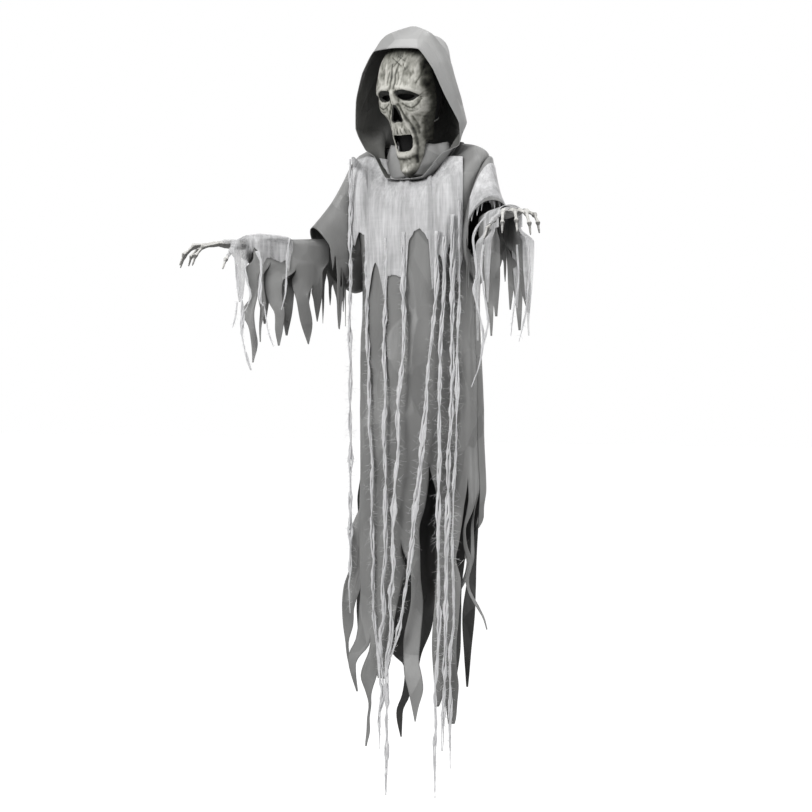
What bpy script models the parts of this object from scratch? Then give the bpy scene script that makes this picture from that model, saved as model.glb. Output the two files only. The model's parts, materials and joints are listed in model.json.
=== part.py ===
"""Hanging animated ghost figure.

A steel rod with an eye at its top carries a chest unit, whose motor turns a long hollow-eyed mask on the rod.
A hooded robe of thin cloth, cut into rags at its hems, hangs over the chest unit and over two posable arms.
Torn gauze hangs over the chest, one shoulder and both forearms. The figure faces -Y and its left is +X.
All sizes are in metres.
"""

import math

import bmesh
import bpy
from mathutils import Matrix, Vector
from mathutils.noise import noise

# Driving sizes of the figure
EYE_Z = 0.0
CROWN_RISE = 0.014
NECK_DROP = 0.262
THROAT_DROP = 0.356
SLIT_DROP = 1.02
HEM_DROP = 1.70
ROBE_HALF_WIDTH = 0.160
ROBE_HALF_DEPTH = 0.095
CLOTH = 0.0018
GAUZE = 0.0016
GAP = 0.0003
SEAM = 0.0005
OVERRUN = 0.004

# Rod, crown cup and head
ROD_RADIUS = 0.004
ROD_FOOT_DROP = 0.325
EYE_RADIUS = 0.0075
EYE_WIRE_RADIUS = 0.002
CUP_RADIUS = 0.018
CUP_RIM_RISE = 0.0079
CUP_WALL = 0.0024
HEAD_FORWARD = 0.048
HEAD_DROP = 0.166
HEAD_PITCH = math.radians(18)
MASK_WALL = 0.003
NECK_TUBE_RADIUS = 0.0175
BEARING_GAP = 0.0005

# Chest unit
UNIT_HALF_WIDTH = 0.070
UNIT_FRONT = 0.030
UNIT_BACK = 0.050
UNIT_TOP_DROP = 0.287
UNIT_HEIGHT = 0.132
UNIT_WALL = 0.0024
PLATE_DROP = 0.3045
PLATE = 0.002
YOKE_HEIGHT = 0.0211
YOKE_DEPTH = 0.046

# Gears
MODULE = 0.00125
GEAR_TEETH = 36
PINION_TEETH = 12
GEAR_FACE = 0.008
BACKLASH = 0.0003

# Arms
SHOULDER_X = 0.150
SHOULDER_BACK = 0.015
SHOULDER_DROP = 0.300
ARM_YAW = math.radians(38)
ELBOW_REACH = 0.111
ELBOW_DROPS = {"right": 0.505, "left": 0.455}
FOREARM_LENGTH = 0.205
ARM_TUBE_RADIUS = 0.0075
FOREARM_RADIUS = 0.0150
FORK_CHEEK = 0.004
TONGUE = 0.006
BOLT_RADIUS = 0.0025

SIDES = {"right": -1, "left": 1}
DOWN = Vector((0, 0, -1))
UP = Vector((0, 0, 1))


# Scene, materials and small helpers

def clear_scene():
    for obj in list(bpy.data.objects):
        bpy.data.objects.remove(obj)


def make_collection(name):
    collection = bpy.data.collections.new(name)
    bpy.context.scene.collection.children.link(collection)
    return collection


def make_material(name, colour, roughness, metallic=0.0):
    material = bpy.data.materials.new(name)
    material.use_nodes = True
    shader = material.node_tree.nodes["Principled BSDF"]
    shader.inputs["Base Color"].default_value = (*colour, 1)
    shader.inputs["Roughness"].default_value = roughness
    shader.inputs["Metallic"].default_value = metallic
    return material


clear_scene()
FIGURE = make_collection("hanging_ghost_figure")
CUTTERS = make_collection("cutters")

GREY_CLOTH = make_material("grey_cloth", (0.24, 0.24, 0.235), 0.75)
WHITE_GAUZE = make_material("white_gauze", (0.78, 0.78, 0.79), 0.9)
AGED_BONE = make_material("aged_bone", (0.50, 0.50, 0.46), 0.6)
BLACK_PLASTIC = make_material("black_plastic", (0.02, 0.02, 0.02), 0.5)
BLACK_SCREEN = make_material("black_screen", (0.005, 0.005, 0.005), 0.9)
STEEL = make_material("zinc_steel", (0.55, 0.55, 0.56), 0.35, 1.0)
WHITE_ACETAL = make_material("white_acetal", (0.80, 0.80, 0.78), 0.45)
GREEN_BOARD = make_material("green_board", (0.03, 0.20, 0.08), 0.5)
CELL_SLEEVE = make_material("cell_sleeve", (0.10, 0.11, 0.13), 0.4)
LED_LENS = make_material("led_lens", (0.75, 0.78, 0.80), 0.15)


def put(obj, collection, material=None):
    """Moves obj to a collection of ours and gives it its material."""
    for old in list(obj.users_collection):
        old.objects.unlink(obj)
    collection.objects.link(obj)
    if collection is CUTTERS:
        obj.hide_render = True
        obj.display_type = "WIRE"
    if material:
        obj.data.materials.clear()
        obj.data.materials.append(material)
    return obj


def mesh_object(name, points, faces, material=None, collection=None):
    mesh = bpy.data.meshes.new(name)
    mesh.from_pydata([tuple(p) for p in points], [], faces)
    obj = bpy.data.objects.new(name, mesh)
    bpy.context.scene.collection.objects.link(obj)
    return put(obj, collection or FIGURE, material)


def box(name, low, high, material=None, collection=None, bevel=0.0):
    """A box between two corners, from a primitive, with its scale applied."""
    low = Vector(low)
    high = Vector(high)
    bpy.ops.mesh.primitive_cube_add(size=1)
    obj = bpy.context.object
    obj.name = name
    obj.data.transform(Matrix.Diagonal((*(high - low), 1)))
    obj.location = (low + high) / 2
    put(obj, collection or FIGURE, material)
    if bevel:
        edge = obj.modifiers.new("rounded_edges", "BEVEL")
        edge.width = bevel
        edge.segments = 2
    return obj


def rod(name, start, end, radius, material=None, collection=None, sides=16):
    """A cylinder from start to end, from a primitive."""
    start = Vector(start)
    end = Vector(end)
    bpy.ops.mesh.primitive_cylinder_add(radius=radius, depth=(end - start).length, vertices=sides)
    obj = bpy.context.object
    obj.name = name
    obj.rotation_mode = "QUATERNION"
    obj.rotation_quaternion = (end - start).to_track_quat("Z", "Y")
    obj.location = (start + end) / 2
    put(obj, collection or FIGURE, material)
    obj.data.shade_smooth()
    obj.data.set_sharp_from_angle(angle=math.radians(40))
    return obj


def turned(name, profile, material=None, collection=None, steps=24, place=(0, 0, 0)):
    """A closed profile of (radius, height) points, down its outer side, turned about Z."""
    points = [(radius, 0, height) for radius, height in profile]
    edges = [(i, (i + 1) % len(points)) for i in range(len(points))]
    edges = [(i, j) for i, j in edges if profile[i][0] > 0 or profile[j][0] > 0]
    mesh = bpy.data.meshes.new(name)
    mesh.from_pydata(points, edges, [])
    obj = bpy.data.objects.new(name, mesh)
    bpy.context.scene.collection.objects.link(obj)
    put(obj, collection or FIGURE, material)
    obj.location = place
    screw = obj.modifiers.new("turn", "SCREW")
    screw.steps = steps
    screw.render_steps = steps
    screw.use_merge_vertices = True
    screw.merge_threshold = 0.00005
    screw.use_smooth_shade = True
    return obj


def apply_all(obj):
    """Replaces the object's mesh with its evaluated mesh, in place."""
    bpy.context.view_layer.update()
    graph = bpy.context.evaluated_depsgraph_get()
    mesh = bpy.data.meshes.new_from_object(obj.evaluated_get(graph))
    if obj.type == "MESH":
        obj.modifiers.clear()
        obj.data = mesh
        return obj
    bm = bmesh.new()
    bm.from_mesh(mesh)
    bmesh.ops.remove_doubles(bm, verts=bm.verts, dist=0.00001)
    bm.to_mesh(mesh)
    bm.free()
    made = bpy.data.objects.new(obj.name + "_mesh", mesh)
    bpy.context.scene.collection.objects.link(made)
    made.matrix_world = obj.matrix_world
    collection = obj.users_collection[0]
    name = obj.name
    bpy.data.objects.remove(obj)
    made.name = name
    return put(made, collection)


def boolean(obj, other, operation="DIFFERENCE"):
    """Cuts other from obj, or joins it, and applies the result. A joined piece is removed."""
    step = obj.modifiers.new("cut", "BOOLEAN")
    step.operation = operation
    step.object = other
    apply_all(obj)
    if operation == "UNION":
        bpy.data.objects.remove(other)
    return obj


def shell(obj, thickness, offset):
    """Gives an open surface its wall. Offset -1 puts all of it inside, 1 outside."""
    wall = obj.modifiers.new("wall", "SOLIDIFY")
    wall.thickness = thickness
    wall.offset = offset
    wall.use_even_offset = False
    return obj


def smooth(obj, angle=50):
    obj.data.shade_smooth()
    obj.data.set_sharp_from_angle(angle=math.radians(angle))
    return obj


def tube(name, points, radius, material=None, sides_level=2, radii=None, cyclic=False, collection=None):
    """A POLY curve with a round bevel, as one mesh."""
    curve = bpy.data.curves.new(name, "CURVE")
    curve.dimensions = "3D"
    curve.bevel_depth = radius
    curve.bevel_resolution = sides_level
    curve.use_fill_caps = not cyclic
    spline = curve.splines.new("POLY")
    spline.points.add(len(points) - 1)
    for i, place in enumerate(points):
        spline.points[i].co = (*place, 1)
        spline.points[i].radius = radii[i] if radii else 1
    spline.use_cyclic_u = cyclic
    obj = bpy.data.objects.new(name, curve)
    bpy.context.scene.collection.objects.link(obj)
    obj = apply_all(obj)
    put(obj, collection or FIGURE, material)
    return smooth(obj)


def flat_outline(name, outline, thickness, material=None, collection=None):
    """A flat closed outline of (x, y) points, thickened along Z about its plane."""
    curve = bpy.data.curves.new(name, "CURVE")
    curve.dimensions = "2D"
    curve.fill_mode = "BOTH"
    curve.extrude = thickness / 2
    curve.bevel_resolution = 0
    spline = curve.splines.new("POLY")
    spline.points.add(len(outline) - 1)
    for point, place in zip(spline.points, outline):
        point.co = (*place, 0, 1)
    spline.use_cyclic_u = True
    obj = bpy.data.objects.new(name, curve)
    bpy.context.scene.collection.objects.link(obj)
    obj = apply_all(obj)
    flat = obj.modifiers.new("flat_faces", "DECIMATE")
    flat.decimate_type = "DISSOLVE"
    flat.angle_limit = math.radians(1)
    apply_all(obj)
    return put(obj, collection or FIGURE, material)


def mix(a, b, share):
    return a + (b - a) * share


def smoothstep(t):
    t = min(max(t, 0.0), 1.0)
    return t * t * (3 - 2 * t)


def catmull(a, b, c, d, t):
    """Catmull-Rom interpolation between b and c."""
    return (
        b * 2
        + (c - a) * t
        + (a * 2 - b * 5 + c * 4 - d) * t * t
        + (b * 3 - a - c * 3 + d) * t * t * t
    ) / 2


def along(keys, t):
    """The value at t, counted in keys, of a smooth curve through a list of keys."""
    last = len(keys) - 1
    i = min(int(max(t, 0)), last - 1)
    return catmull(keys[max(i - 1, 0)], keys[i], keys[i + 1], keys[min(i + 2, last)], t - i)


def looked_up(table, x):
    """Linear interpolation in a table of (x, value) pairs with rising x."""
    for (x0, v0), (x1, v1) in zip(table, table[1:]):
        if x <= x1:
            return mix(v0, v1, max(0.0, (x - x0) / (x1 - x0)))
    return table[-1][1]


def grid_faces(rows, columns, closed):
    """Quads between rows of points, going right and down, facing out for rows seen from outside."""
    faces = []
    for i in range(rows - 1):
        for j in range(columns if closed else columns - 1):
            right = (j + 1) % columns
            faces.append((i * columns + j, (i + 1) * columns + j, (i + 1) * columns + right, i * columns + right))
    return faces


# Hanging rod and crown cup

def make_hanger():
    foot = Vector((0, 0, -ROD_FOOT_DROP))
    shank_top = Vector((0, 0, EYE_Z - EYE_RADIUS))
    hanger = rod("hanger_rod", foot, shank_top, ROD_RADIUS, STEEL)
    bpy.ops.mesh.primitive_torus_add(
        major_radius=EYE_RADIUS, minor_radius=EYE_WIRE_RADIUS, major_segments=20, minor_segments=6,
        location=(0, 0, EYE_Z), rotation=(0, math.pi / 2, 0))
    ring = put(bpy.context.object, FIGURE, STEEL)
    smooth(ring)
    boolean(hanger, ring, "UNION")
    # The cup is dished, so that the eye stands in its middle under the slit in the hood.
    dish = EYE_RADIUS + EYE_WIRE_RADIUS
    hub = ROD_RADIUS + CUP_WALL
    bore = ROD_RADIUS + GAP
    turned("crown_cup", [
        (CUP_RADIUS - CUP_WALL, CUP_RIM_RISE),
        (CUP_RADIUS, CUP_RIM_RISE - CUP_WALL / 2),
        (CUP_RADIUS - CUP_WALL, CUP_RIM_RISE - CUP_WALL),
        (dish + CUP_WALL / 2, -dish),
        (hub, -dish - 2 * CUP_WALL),
        (bore, -dish - 2 * CUP_WALL),
        (bore, -dish - CUP_WALL),
        (dish, -dish + CUP_WALL / 2),
    ], BLACK_PLASTIC, steps=16)


# The head: mask, back shell, neck and lights

# Face outline down the head's own axis: height, half width, front depth, back depth, and squareness of the section
FACE_ROWS = [
    (0.146, 0.007, 0.003, 0.020, 2.0),
    (0.140, 0.020, 0.010, 0.062, 2.0),
    (0.128, 0.040, 0.026, 0.088, 2.1),
    (0.110, 0.055, 0.043, 0.104, 2.2),
    (0.088, 0.065, 0.062, 0.116, 2.3),
    (0.060, 0.070, 0.080, 0.122, 2.35),
    (0.041, 0.071, 0.088, 0.121, 2.3),
    (0.030, 0.070, 0.086, 0.118, 2.2),
    (0.010, 0.070, 0.084, 0.108, 2.05),
    (-0.010, 0.067, 0.083, 0.097, 1.95),
    (-0.030, 0.060, 0.080, 0.085, 1.9),
    (-0.045, 0.055, 0.079, 0.074, 1.9),
    (-0.060, 0.051, 0.079, 0.066, 1.95),
    (-0.080, 0.047, 0.077, 0.060, 2.0),
    (-0.100, 0.043, 0.076, 0.050, 2.05),
    (-0.115, 0.041, 0.079, 0.045, 2.1),
    (-0.130, 0.038, 0.075, 0.040, 2.1),
    (-0.148, 0.033, 0.077, 0.035, 2.1),
    (-0.164, 0.025, 0.066, 0.030, 2.0),
    (-0.176, 0.013, 0.046, 0.020, 2.0),
]
# Bumps and hollows: across, height, half sizes across and down, and how far they stand forward
FACE_RELIEF = [
    (0.027, 0.047, 0.018, 0.010, 0.0065),
    (0.028, 0.026, 0.017, 0.013, -0.0120),
    (0.000, 0.022, 0.008, 0.022, 0.0060),
    (0.050, 0.002, 0.014, 0.013, 0.0075),
    (0.044, -0.045, 0.013, 0.030, -0.0085),
    (0.018, -0.020, 0.007, 0.018, 0.0030),
    (0.000, -0.050, 0.020, 0.009, 0.0040),
    (0.000, -0.112, 0.022, 0.008, 0.0045),
    (0.000, -0.130, 0.022, 0.009, -0.0025),
    (0.000, -0.152, 0.020, 0.014, 0.0050),
    (0.050, 0.075, 0.012, 0.022, -0.0045),
]
EYE_HOLE = {"across": 0.0275, "height": 0.028, "half_width": 0.0185, "half_height": 0.0085}
EYE_SHARES = [(-1.0, 0.60), (-0.72, 1.0), (-0.30, 0.86), (0.15, 0.62), (0.60, 0.28), (1.0, -0.12),
              (0.72, -0.50), (0.35, -0.85), (-0.05, -1.0), (-0.45, -0.80), (-0.80, -0.25)]
NOSE_HOLE = {"across": 0.0, "height": -0.010, "half_width": 0.0125, "half_height": 0.019}
NOSE_SHARES = [(0.0, 1.0), (0.30, 0.80), (0.52, 0.25), (0.80, -0.35), (1.0, -0.80), (0.72, -1.0), (0.32, -0.92),
               (0.0, -0.72), (-0.32, -0.92), (-0.72, -1.0), (-1.0, -0.80), (-0.80, -0.35), (-0.52, 0.25), (-0.30, 0.80)]
MOUTH_HOLE = {"across": 0.0, "height": -0.081, "half_width": 0.0265, "half_height": 0.0205}
MOUTH_SHARES = [(-0.93, 0.90), (-0.45, 1.0), (0.0, 0.94), (0.45, 1.0), (0.93, 0.90), (1.0, 0.55), (0.95, 0.0),
                (0.84, -0.62), (0.62, -0.95), (0.2, -1.0), (-0.2, -1.0), (-0.62, -0.95), (-0.84, -0.62),
                (-0.95, 0.0), (-1.0, 0.55)]
BACK_FOOT = -0.045
JAW_FRONT = 0.050
JAW_TOP_DROP = 0.255
MASK_ROWS = 23
MASK_COLUMNS = 17
SCREEN_ROWS = 8
SCREEN_COLUMNS = 10
SCREEN_TURN = math.radians(84)
SCREEN_DEPTH_SHARE = 0.70
SCREEN_INSET = MASK_WALL + 2 * SEAM


HEAD_CENTRE = Vector((0, -HEAD_FORWARD, EYE_Z - HEAD_DROP))
HEAD_MATRIX = Matrix.Translation(HEAD_CENTRE) @ Matrix.Rotation(HEAD_PITCH, 4, "X")


def face_row(height):
    """Half width, front depth, back depth and squareness of the head at a height on its own axis."""
    rising = sorted(FACE_ROWS)
    return [looked_up([(row[0], row[column]) for row in rising], height) for column in (1, 2, 3, 4)]


def face_relief(across, height):
    total = 0.0
    for at, up, wide, tall, forward in FACE_RELIEF:
        for side in (-1, 1) if at else (1,):
            dx = (across - side * at) / wide
            dz = (height - up) / tall
            total += forward * math.exp(-(dx * dx + dz * dz))
    return total


def face_point(turn, height):
    """A point of the face, at turn radians from its centre line and at a height on the head's axis."""
    half_width, depth, _, squareness = face_row(height)
    power = 2 / squareness
    x = half_width * math.copysign(abs(math.sin(turn)) ** power, turn)
    forward = max(math.cos(turn), 0.0) ** power
    y = -depth * forward - face_relief(x, height) * smoothstep(forward * 2)
    return Vector((x, y - GAP, height))


def skull_point(turn, height):
    """A point of the back of the head, at turn radians from its back centre line."""
    half_width, _, depth, _ = face_row(height)
    return Vector((-half_width * math.sin(turn), depth * math.cos(turn) + 2 * GAP, height))


def rows_between(high, low, count):
    return [mix(high, low, i / (count - 1)) for i in range(count)]


def hole_cutter(name, hole, shares, side, depth):
    """A straight plug of the hole's outline, through the front of the face."""
    outline = [(side * (hole["across"] + hole["half_width"] * a), hole["height"] + hole["half_height"] * b)
               for a, b in shares]
    if side < 0:
        outline.reverse()
    plug = flat_outline(name, outline, depth, None, CUTTERS)
    plug.matrix_world = HEAD_MATRIX @ Matrix.Translation((0, -depth / 2 - MASK_WALL, 0)) @ Matrix.Rotation(
        math.pi / 2, 4, "X")
    return plug


def clear_jaw(piece):
    """Cuts away what is behind the jaw, where the neck and the chest unit need room when the head turns."""
    boolean(piece, box("jaw_cutter", (-UNIT_HALF_WIDTH, -JAW_FRONT, -THROAT_DROP - OVERRUN),
                       (UNIT_HALF_WIDTH, UNIT_BACK, -JAW_TOP_DROP), None, CUTTERS))


def make_face_mask():
    heights = rows_between(FACE_ROWS[0][0], FACE_ROWS[-1][0], MASK_ROWS)
    turns = rows_between(-math.pi / 2, math.pi / 2, MASK_COLUMNS)
    points = [face_point(turn, height) for height in heights for turn in turns]
    mask = mesh_object("face_mask", points, grid_faces(MASK_ROWS, MASK_COLUMNS, False), AGED_BONE)
    mask.matrix_world = HEAD_MATRIX
    shell(mask, MASK_WALL, -1)
    apply_all(mask)
    plug_depth = 2 * FACE_ROWS[5][2]
    for side in SIDES.values():
        boolean(mask, hole_cutter("eye_cutter", EYE_HOLE, EYE_SHARES, side, plug_depth))
    boolean(mask, hole_cutter("nose_cutter", NOSE_HOLE, NOSE_SHARES, 1, plug_depth))
    boolean(mask, hole_cutter("mouth_cutter", MOUTH_HOLE, MOUTH_SHARES, 1, plug_depth))
    clear_jaw(mask)
    smooth(mask, 60)


def make_face_screen():
    """Black cloth stretched across the inside of the mask, well behind the eyes, nose and mouth."""
    high = EYE_HOLE["height"] + 3 * EYE_HOLE["half_height"]
    low = MOUTH_HOLE["height"] - MOUTH_HOLE["half_height"] - EYE_HOLE["half_height"]
    points = []
    for height in rows_between(high, low, SCREEN_ROWS):
        half_width, depth, _, _ = face_row(height)
        for turn in rows_between(-SCREEN_TURN, SCREEN_TURN, SCREEN_COLUMNS):
            points.append(Vector(((half_width - SCREEN_INSET) * math.sin(turn),
                                  -depth * SCREEN_DEPTH_SHARE * math.cos(turn), height)))
    screen = mesh_object("face_screen", points, grid_faces(SCREEN_ROWS, SCREEN_COLUMNS, False), BLACK_SCREEN)
    screen.matrix_world = HEAD_MATRIX
    shell(screen, SEAM, -1)
    apply_all(screen)
    clear_jaw(screen)
    smooth(screen)


def make_head_back():
    top = FACE_ROWS[0][0]
    heights = rows_between(top, BACK_FOOT, 9)
    columns = 11
    turns = [mix(-math.pi / 2, math.pi / 2, j / (columns - 1)) for j in range(columns)]
    points = [skull_point(turn, height) for height in heights for turn in turns]
    back = mesh_object("head_back", points, grid_faces(len(heights), columns, False), BLACK_PLASTIC)
    back.matrix_world = HEAD_MATRIX
    shell(back, MASK_WALL, -1)
    apply_all(back)
    bore = ROD_RADIUS + BEARING_GAP
    hole = rod("rod_hole_cutter", (0, 0, -NECK_DROP), (0, 0, CROWN_RISE), bore, None, CUTTERS, 16)
    boolean(back, hole)
    smooth(back)


NECK_SEAT_DROP = 0.205
NECK_FOOT_DROP = PLATE_DROP - PLATE - GAP


def make_neck():
    """The head's floor and the tube on which it turns, as one moulding."""
    half_width, _, depth, _ = face_row(BACK_FOOT)
    inner_width = face_row(BACK_FOOT - 2 * MASK_WALL)[0] - SCREEN_INSET - SEAM - 2 * GAP
    floor_height = BACK_FOOT - GAP
    quarter_turns = rows_between(math.pi / 2, -math.pi / 2, 11)
    outline = [(half_width * math.sin(turn), depth * math.cos(turn) + 2 * GAP) for turn in quarter_turns]
    outline += [(-inner_width * math.sin(turn), -inner_width / 2 * math.cos(turn) + GAP)
                for turn in quarter_turns]
    floor = flat_outline("neck_tube", outline, MASK_WALL, WHITE_ACETAL)
    floor.matrix_world = HEAD_MATRIX @ Matrix.Translation((0, 0, floor_height - MASK_WALL / 2))
    bore = ROD_RADIUS + BEARING_GAP
    neck = rod("neck_stem", (0, 0, -NECK_FOOT_DROP), (0, 0, -NECK_SEAT_DROP), NECK_TUBE_RADIUS, None, FIGURE, 24)
    boolean(floor, neck, "UNION")
    hole = rod("neck_bore_cutter", (0, 0, -NECK_FOOT_DROP - OVERRUN), (0, 0, -NECK_SEAT_DROP + NECK_TUBE_RADIUS),
               bore, None, CUTTERS, 16)
    boolean(floor, hole)
    smooth(floor)


LED_RADIUS = 0.0025
LED_LENGTH = 0.0075
LED_FLANGE = 0.0032
LED_FLANGE_THICK = 0.0012


def make_eye_led(side_name, side):
    """A bullet lamp whose round nose shines on the back of the screen behind one eye."""
    half_width, depth, _, _ = face_row(EYE_HOLE["height"])
    turn = math.asin(EYE_HOLE["across"] / half_width)
    spot = Vector((side * EYE_HOLE["across"], -depth * SCREEN_DEPTH_SHARE * math.cos(turn) + 5 * SEAM,
                   EYE_HOLE["height"]))
    profile = [
        (0, 0),
        (LED_RADIUS * 0.7, -LED_RADIUS * 0.3),
        (LED_RADIUS, -LED_RADIUS),
        (LED_RADIUS, -LED_LENGTH),
        (LED_FLANGE, -LED_LENGTH),
        (LED_FLANGE, -LED_LENGTH - LED_FLANGE_THICK),
        (0, -LED_LENGTH - LED_FLANGE_THICK),
    ]
    led = turned("eye_led_" + side_name, profile, LED_LENS, steps=12)
    nose_out = (HEAD_MATRIX.to_3x3() @ Vector((side * math.sin(turn), -math.cos(turn), 0))).normalized()
    led.rotation_mode = "QUATERNION"
    led.rotation_quaternion = nose_out.to_track_quat("Z", "Y")
    led.location = HEAD_MATRIX @ spot


# Gears

# A tooth's corners, each at its radius and at a share of the tooth's step from its middle
TOOTH_SHARES = [("root", -0.35), ("tip", -0.13), ("tip", 0.13), ("root", 0.35)]


def gear_outline(teeth):
    """Tooth outline about the origin, with flanks that narrow as an involute's do."""
    pitch = MODULE * teeth / 2
    root = pitch - 1.25 * MODULE
    tip = pitch + MODULE - BACKLASH
    step = math.tau / teeth
    slack = BACKLASH / pitch
    outline = []
    for i in range(teeth):
        middle = i * step
        for radius, half_share in TOOTH_SHARES:
            reach = {"root": root, "tip": tip}[radius]
            turn = middle + step * half_share - math.copysign(slack / 2, half_share)
            outline.append((reach * math.cos(turn), reach * math.sin(turn)))
    return outline


GEAR_TOP_DROP = UNIT_TOP_DROP + UNIT_WALL + 0.0012
GEAR_MIDDLE_DROP = GEAR_TOP_DROP + GEAR_FACE / 2
GEAR_CENTRES = MODULE * (GEAR_TEETH + PINION_TEETH) / 2
MOTOR_SHAFT_RADIUS = 0.0015
MOTOR_RADIUS = 0.0120
MOTOR_LENGTH = 0.026
GEARBOX_HEIGHT = 0.016
GEARBOX_HALF = 0.0145


def make_gears():
    gear = flat_outline("neck_gear", gear_outline(GEAR_TEETH), GEAR_FACE, WHITE_ACETAL)
    gear.location = (0, 0, -GEAR_MIDDLE_DROP)
    seat = rod("gear_seat_cutter", (0, 0, -GEAR_MIDDLE_DROP - GEAR_FACE), (0, 0, -GEAR_MIDDLE_DROP + GEAR_FACE),
               NECK_TUBE_RADIUS + GAP, None, CUTTERS, 24)
    boolean(gear, seat)
    pinion = flat_outline("motor_pinion", gear_outline(PINION_TEETH), GEAR_FACE, WHITE_ACETAL)
    pinion.rotation_euler.z = math.pi + math.pi / PINION_TEETH
    pinion.location = (GEAR_CENTRES, 0, -GEAR_MIDDLE_DROP)
    bore = rod("pinion_bore_cutter", (GEAR_CENTRES, 0, -GEAR_MIDDLE_DROP - GEAR_FACE),
               (GEAR_CENTRES, 0, -GEAR_MIDDLE_DROP + GEAR_FACE), MOTOR_SHAFT_RADIUS + GAP, None, CUTTERS, 12)
    boolean(pinion, bore)


# Chest unit: mechanism plate, motor, housing and electronics

PLATE_HALF_WIDTH = 0.0625
PLATE_HALF_DEPTH = 0.026
NUT_RADIUS = 0.008
NUT_HEIGHT = 0.0055
SPEAKER_RADIUS = 0.024
SPEAKER_DEPTH = 0.015
SPEAKER_X = -0.030
SPEAKER_DROP = 0.372
GRILLE_SLOT = 0.0028
GRILLE_PITCH = 0.0060
GRILLE_SLOTS = 7
CELL_RADIUS = 0.0070
CELL_LENGTH = 0.049
CELL_PITCH = 0.0148
CELL_COUNT = 3
CELL_DROP = 0.3995
BAY_WALL = 0.0020
BAY_SIDE = 0.0010
DOOR = 0.0022
DOOR_MARGIN = 0.0035
BOARD = 0.0016
SWITCH_HALF = 0.0045
SWITCH_TRAVEL = 0.0035
SWITCH_DROP = 0.3320
BUTTON_RADIUS = 0.0065
BUTTON_PROUD = 0.0040
BUTTON_TRAVEL = 0.0025
BUTTON_DROP = 0.345
SCREW_RADIUS = 0.0032
SCREW_HEAD = 0.0020
SCREW_INSET = 0.0065


def make_mechanism_plate():
    low = (-PLATE_HALF_WIDTH, -PLATE_HALF_DEPTH, -PLATE_DROP)
    high = (PLATE_HALF_WIDTH, PLATE_HALF_DEPTH, -PLATE_DROP + PLATE)
    plate = box("mechanism_plate", low, high, STEEL)
    rod_hole = rod("plate_rod_cutter", (0, 0, -PLATE_DROP - OVERRUN), (0, 0, -PLATE_DROP + PLATE + OVERRUN),
                   ROD_RADIUS + GAP, None, CUTTERS, 16)
    shaft_hole = rod("plate_shaft_cutter", (GEAR_CENTRES, 0, -PLATE_DROP - OVERRUN),
                     (GEAR_CENTRES, 0, -PLATE_DROP + PLATE + OVERRUN), 2 * MOTOR_SHAFT_RADIUS, None, CUTTERS, 12)
    boolean(plate, rod_hole)
    boolean(plate, shaft_hole)
    top = -PLATE_DROP - GAP
    nut = rod("rod_nut", (0, 0, top - NUT_HEIGHT), (0, 0, top), NUT_RADIUS, STEEL, FIGURE, 6)
    boolean(nut, rod("nut_bore_cutter", (0, 0, top - 2 * NUT_HEIGHT), (0, 0, top + NUT_HEIGHT),
                     ROD_RADIUS + GAP, None, CUTTERS, 16))


def make_motor():
    """The geared motor under the plate, with its shaft up through the pinion."""
    top = -PLATE_DROP - GAP
    gearbox = box("gear_motor", (GEAR_CENTRES - GEARBOX_HALF, -GEARBOX_HALF, top - GEARBOX_HEIGHT),
                  (GEAR_CENTRES + GEARBOX_HALF, GEARBOX_HALF, top), STEEL, None, GAP * 3)
    can_top = top - GEARBOX_HEIGHT + GAP
    can = rod("motor_can", (GEAR_CENTRES, 0, can_top - MOTOR_LENGTH), (GEAR_CENTRES, 0, can_top), MOTOR_RADIUS,
              STEEL, FIGURE, 16)
    boolean(gearbox, can, "UNION")
    shaft = rod("motor_shaft", (GEAR_CENTRES, 0, top - GEARBOX_HEIGHT / 2),
                (GEAR_CENTRES, 0, -GEAR_MIDDLE_DROP + GEAR_FACE / 2 + GAP), MOTOR_SHAFT_RADIUS, STEEL, FIGURE, 12)
    boolean(gearbox, shaft, "UNION")


def housing_half(name, front):
    """One half of the rounded hollow box, which parts at the plane Y = 0."""
    low_z = -UNIT_TOP_DROP - UNIT_HEIGHT
    half = box(name, (-UNIT_HALF_WIDTH, -UNIT_FRONT, low_z), (UNIT_HALF_WIDTH, UNIT_BACK, -UNIT_TOP_DROP),
               BLACK_PLASTIC, None, 3 * UNIT_WALL)
    apply_all(half)
    inside = Vector((UNIT_WALL, UNIT_WALL, UNIT_WALL))
    boolean(half, box("cavity_cutter", Vector((-UNIT_HALF_WIDTH, -UNIT_FRONT, low_z)) + inside,
                      Vector((UNIT_HALF_WIDTH, UNIT_BACK, -UNIT_TOP_DROP)) - inside, None, CUTTERS))
    parting = GAP / 2 if front else -GAP / 2
    y0, y1 = (-parting, 2 * UNIT_BACK) if front else (-2 * UNIT_FRONT, -parting)
    boolean(half, box("parting_cutter", (-2 * UNIT_HALF_WIDTH, y0, 2 * low_z),
                      (2 * UNIT_HALF_WIDTH, y1, OVERRUN), None, CUTTERS))
    boolean(half, rod("neck_hole_cutter", (0, 0, -UNIT_TOP_DROP - 2 * UNIT_WALL), (0, 0, -UNIT_TOP_DROP + OVERRUN),
                      NECK_TUBE_RADIUS + BEARING_GAP, None, CUTTERS, 24))
    return half


def add_hanging_ribs(half, front):
    """The ribs under the housing's roof, by which it hangs on the mechanism plate."""
    sign = -1 if front else 1
    low = -PLATE_DROP + PLATE + GAP
    high = -UNIT_TOP_DROP - UNIT_WALL / 2
    inner = UNIT_HALF_WIDTH - UNIT_WALL
    for side in SIDES.values():
        x0, x1 = sorted((side * (inner - 2 * UNIT_WALL), side * (inner + UNIT_WALL / 2)))
        y0, y1 = sorted((sign * 2 * UNIT_WALL, sign * (PLATE_HALF_DEPTH - UNIT_WALL)))
        boolean(half, box("hanging_rib", (x0, y0, low), (x1, y1, high), BLACK_PLASTIC), "UNION")


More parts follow.
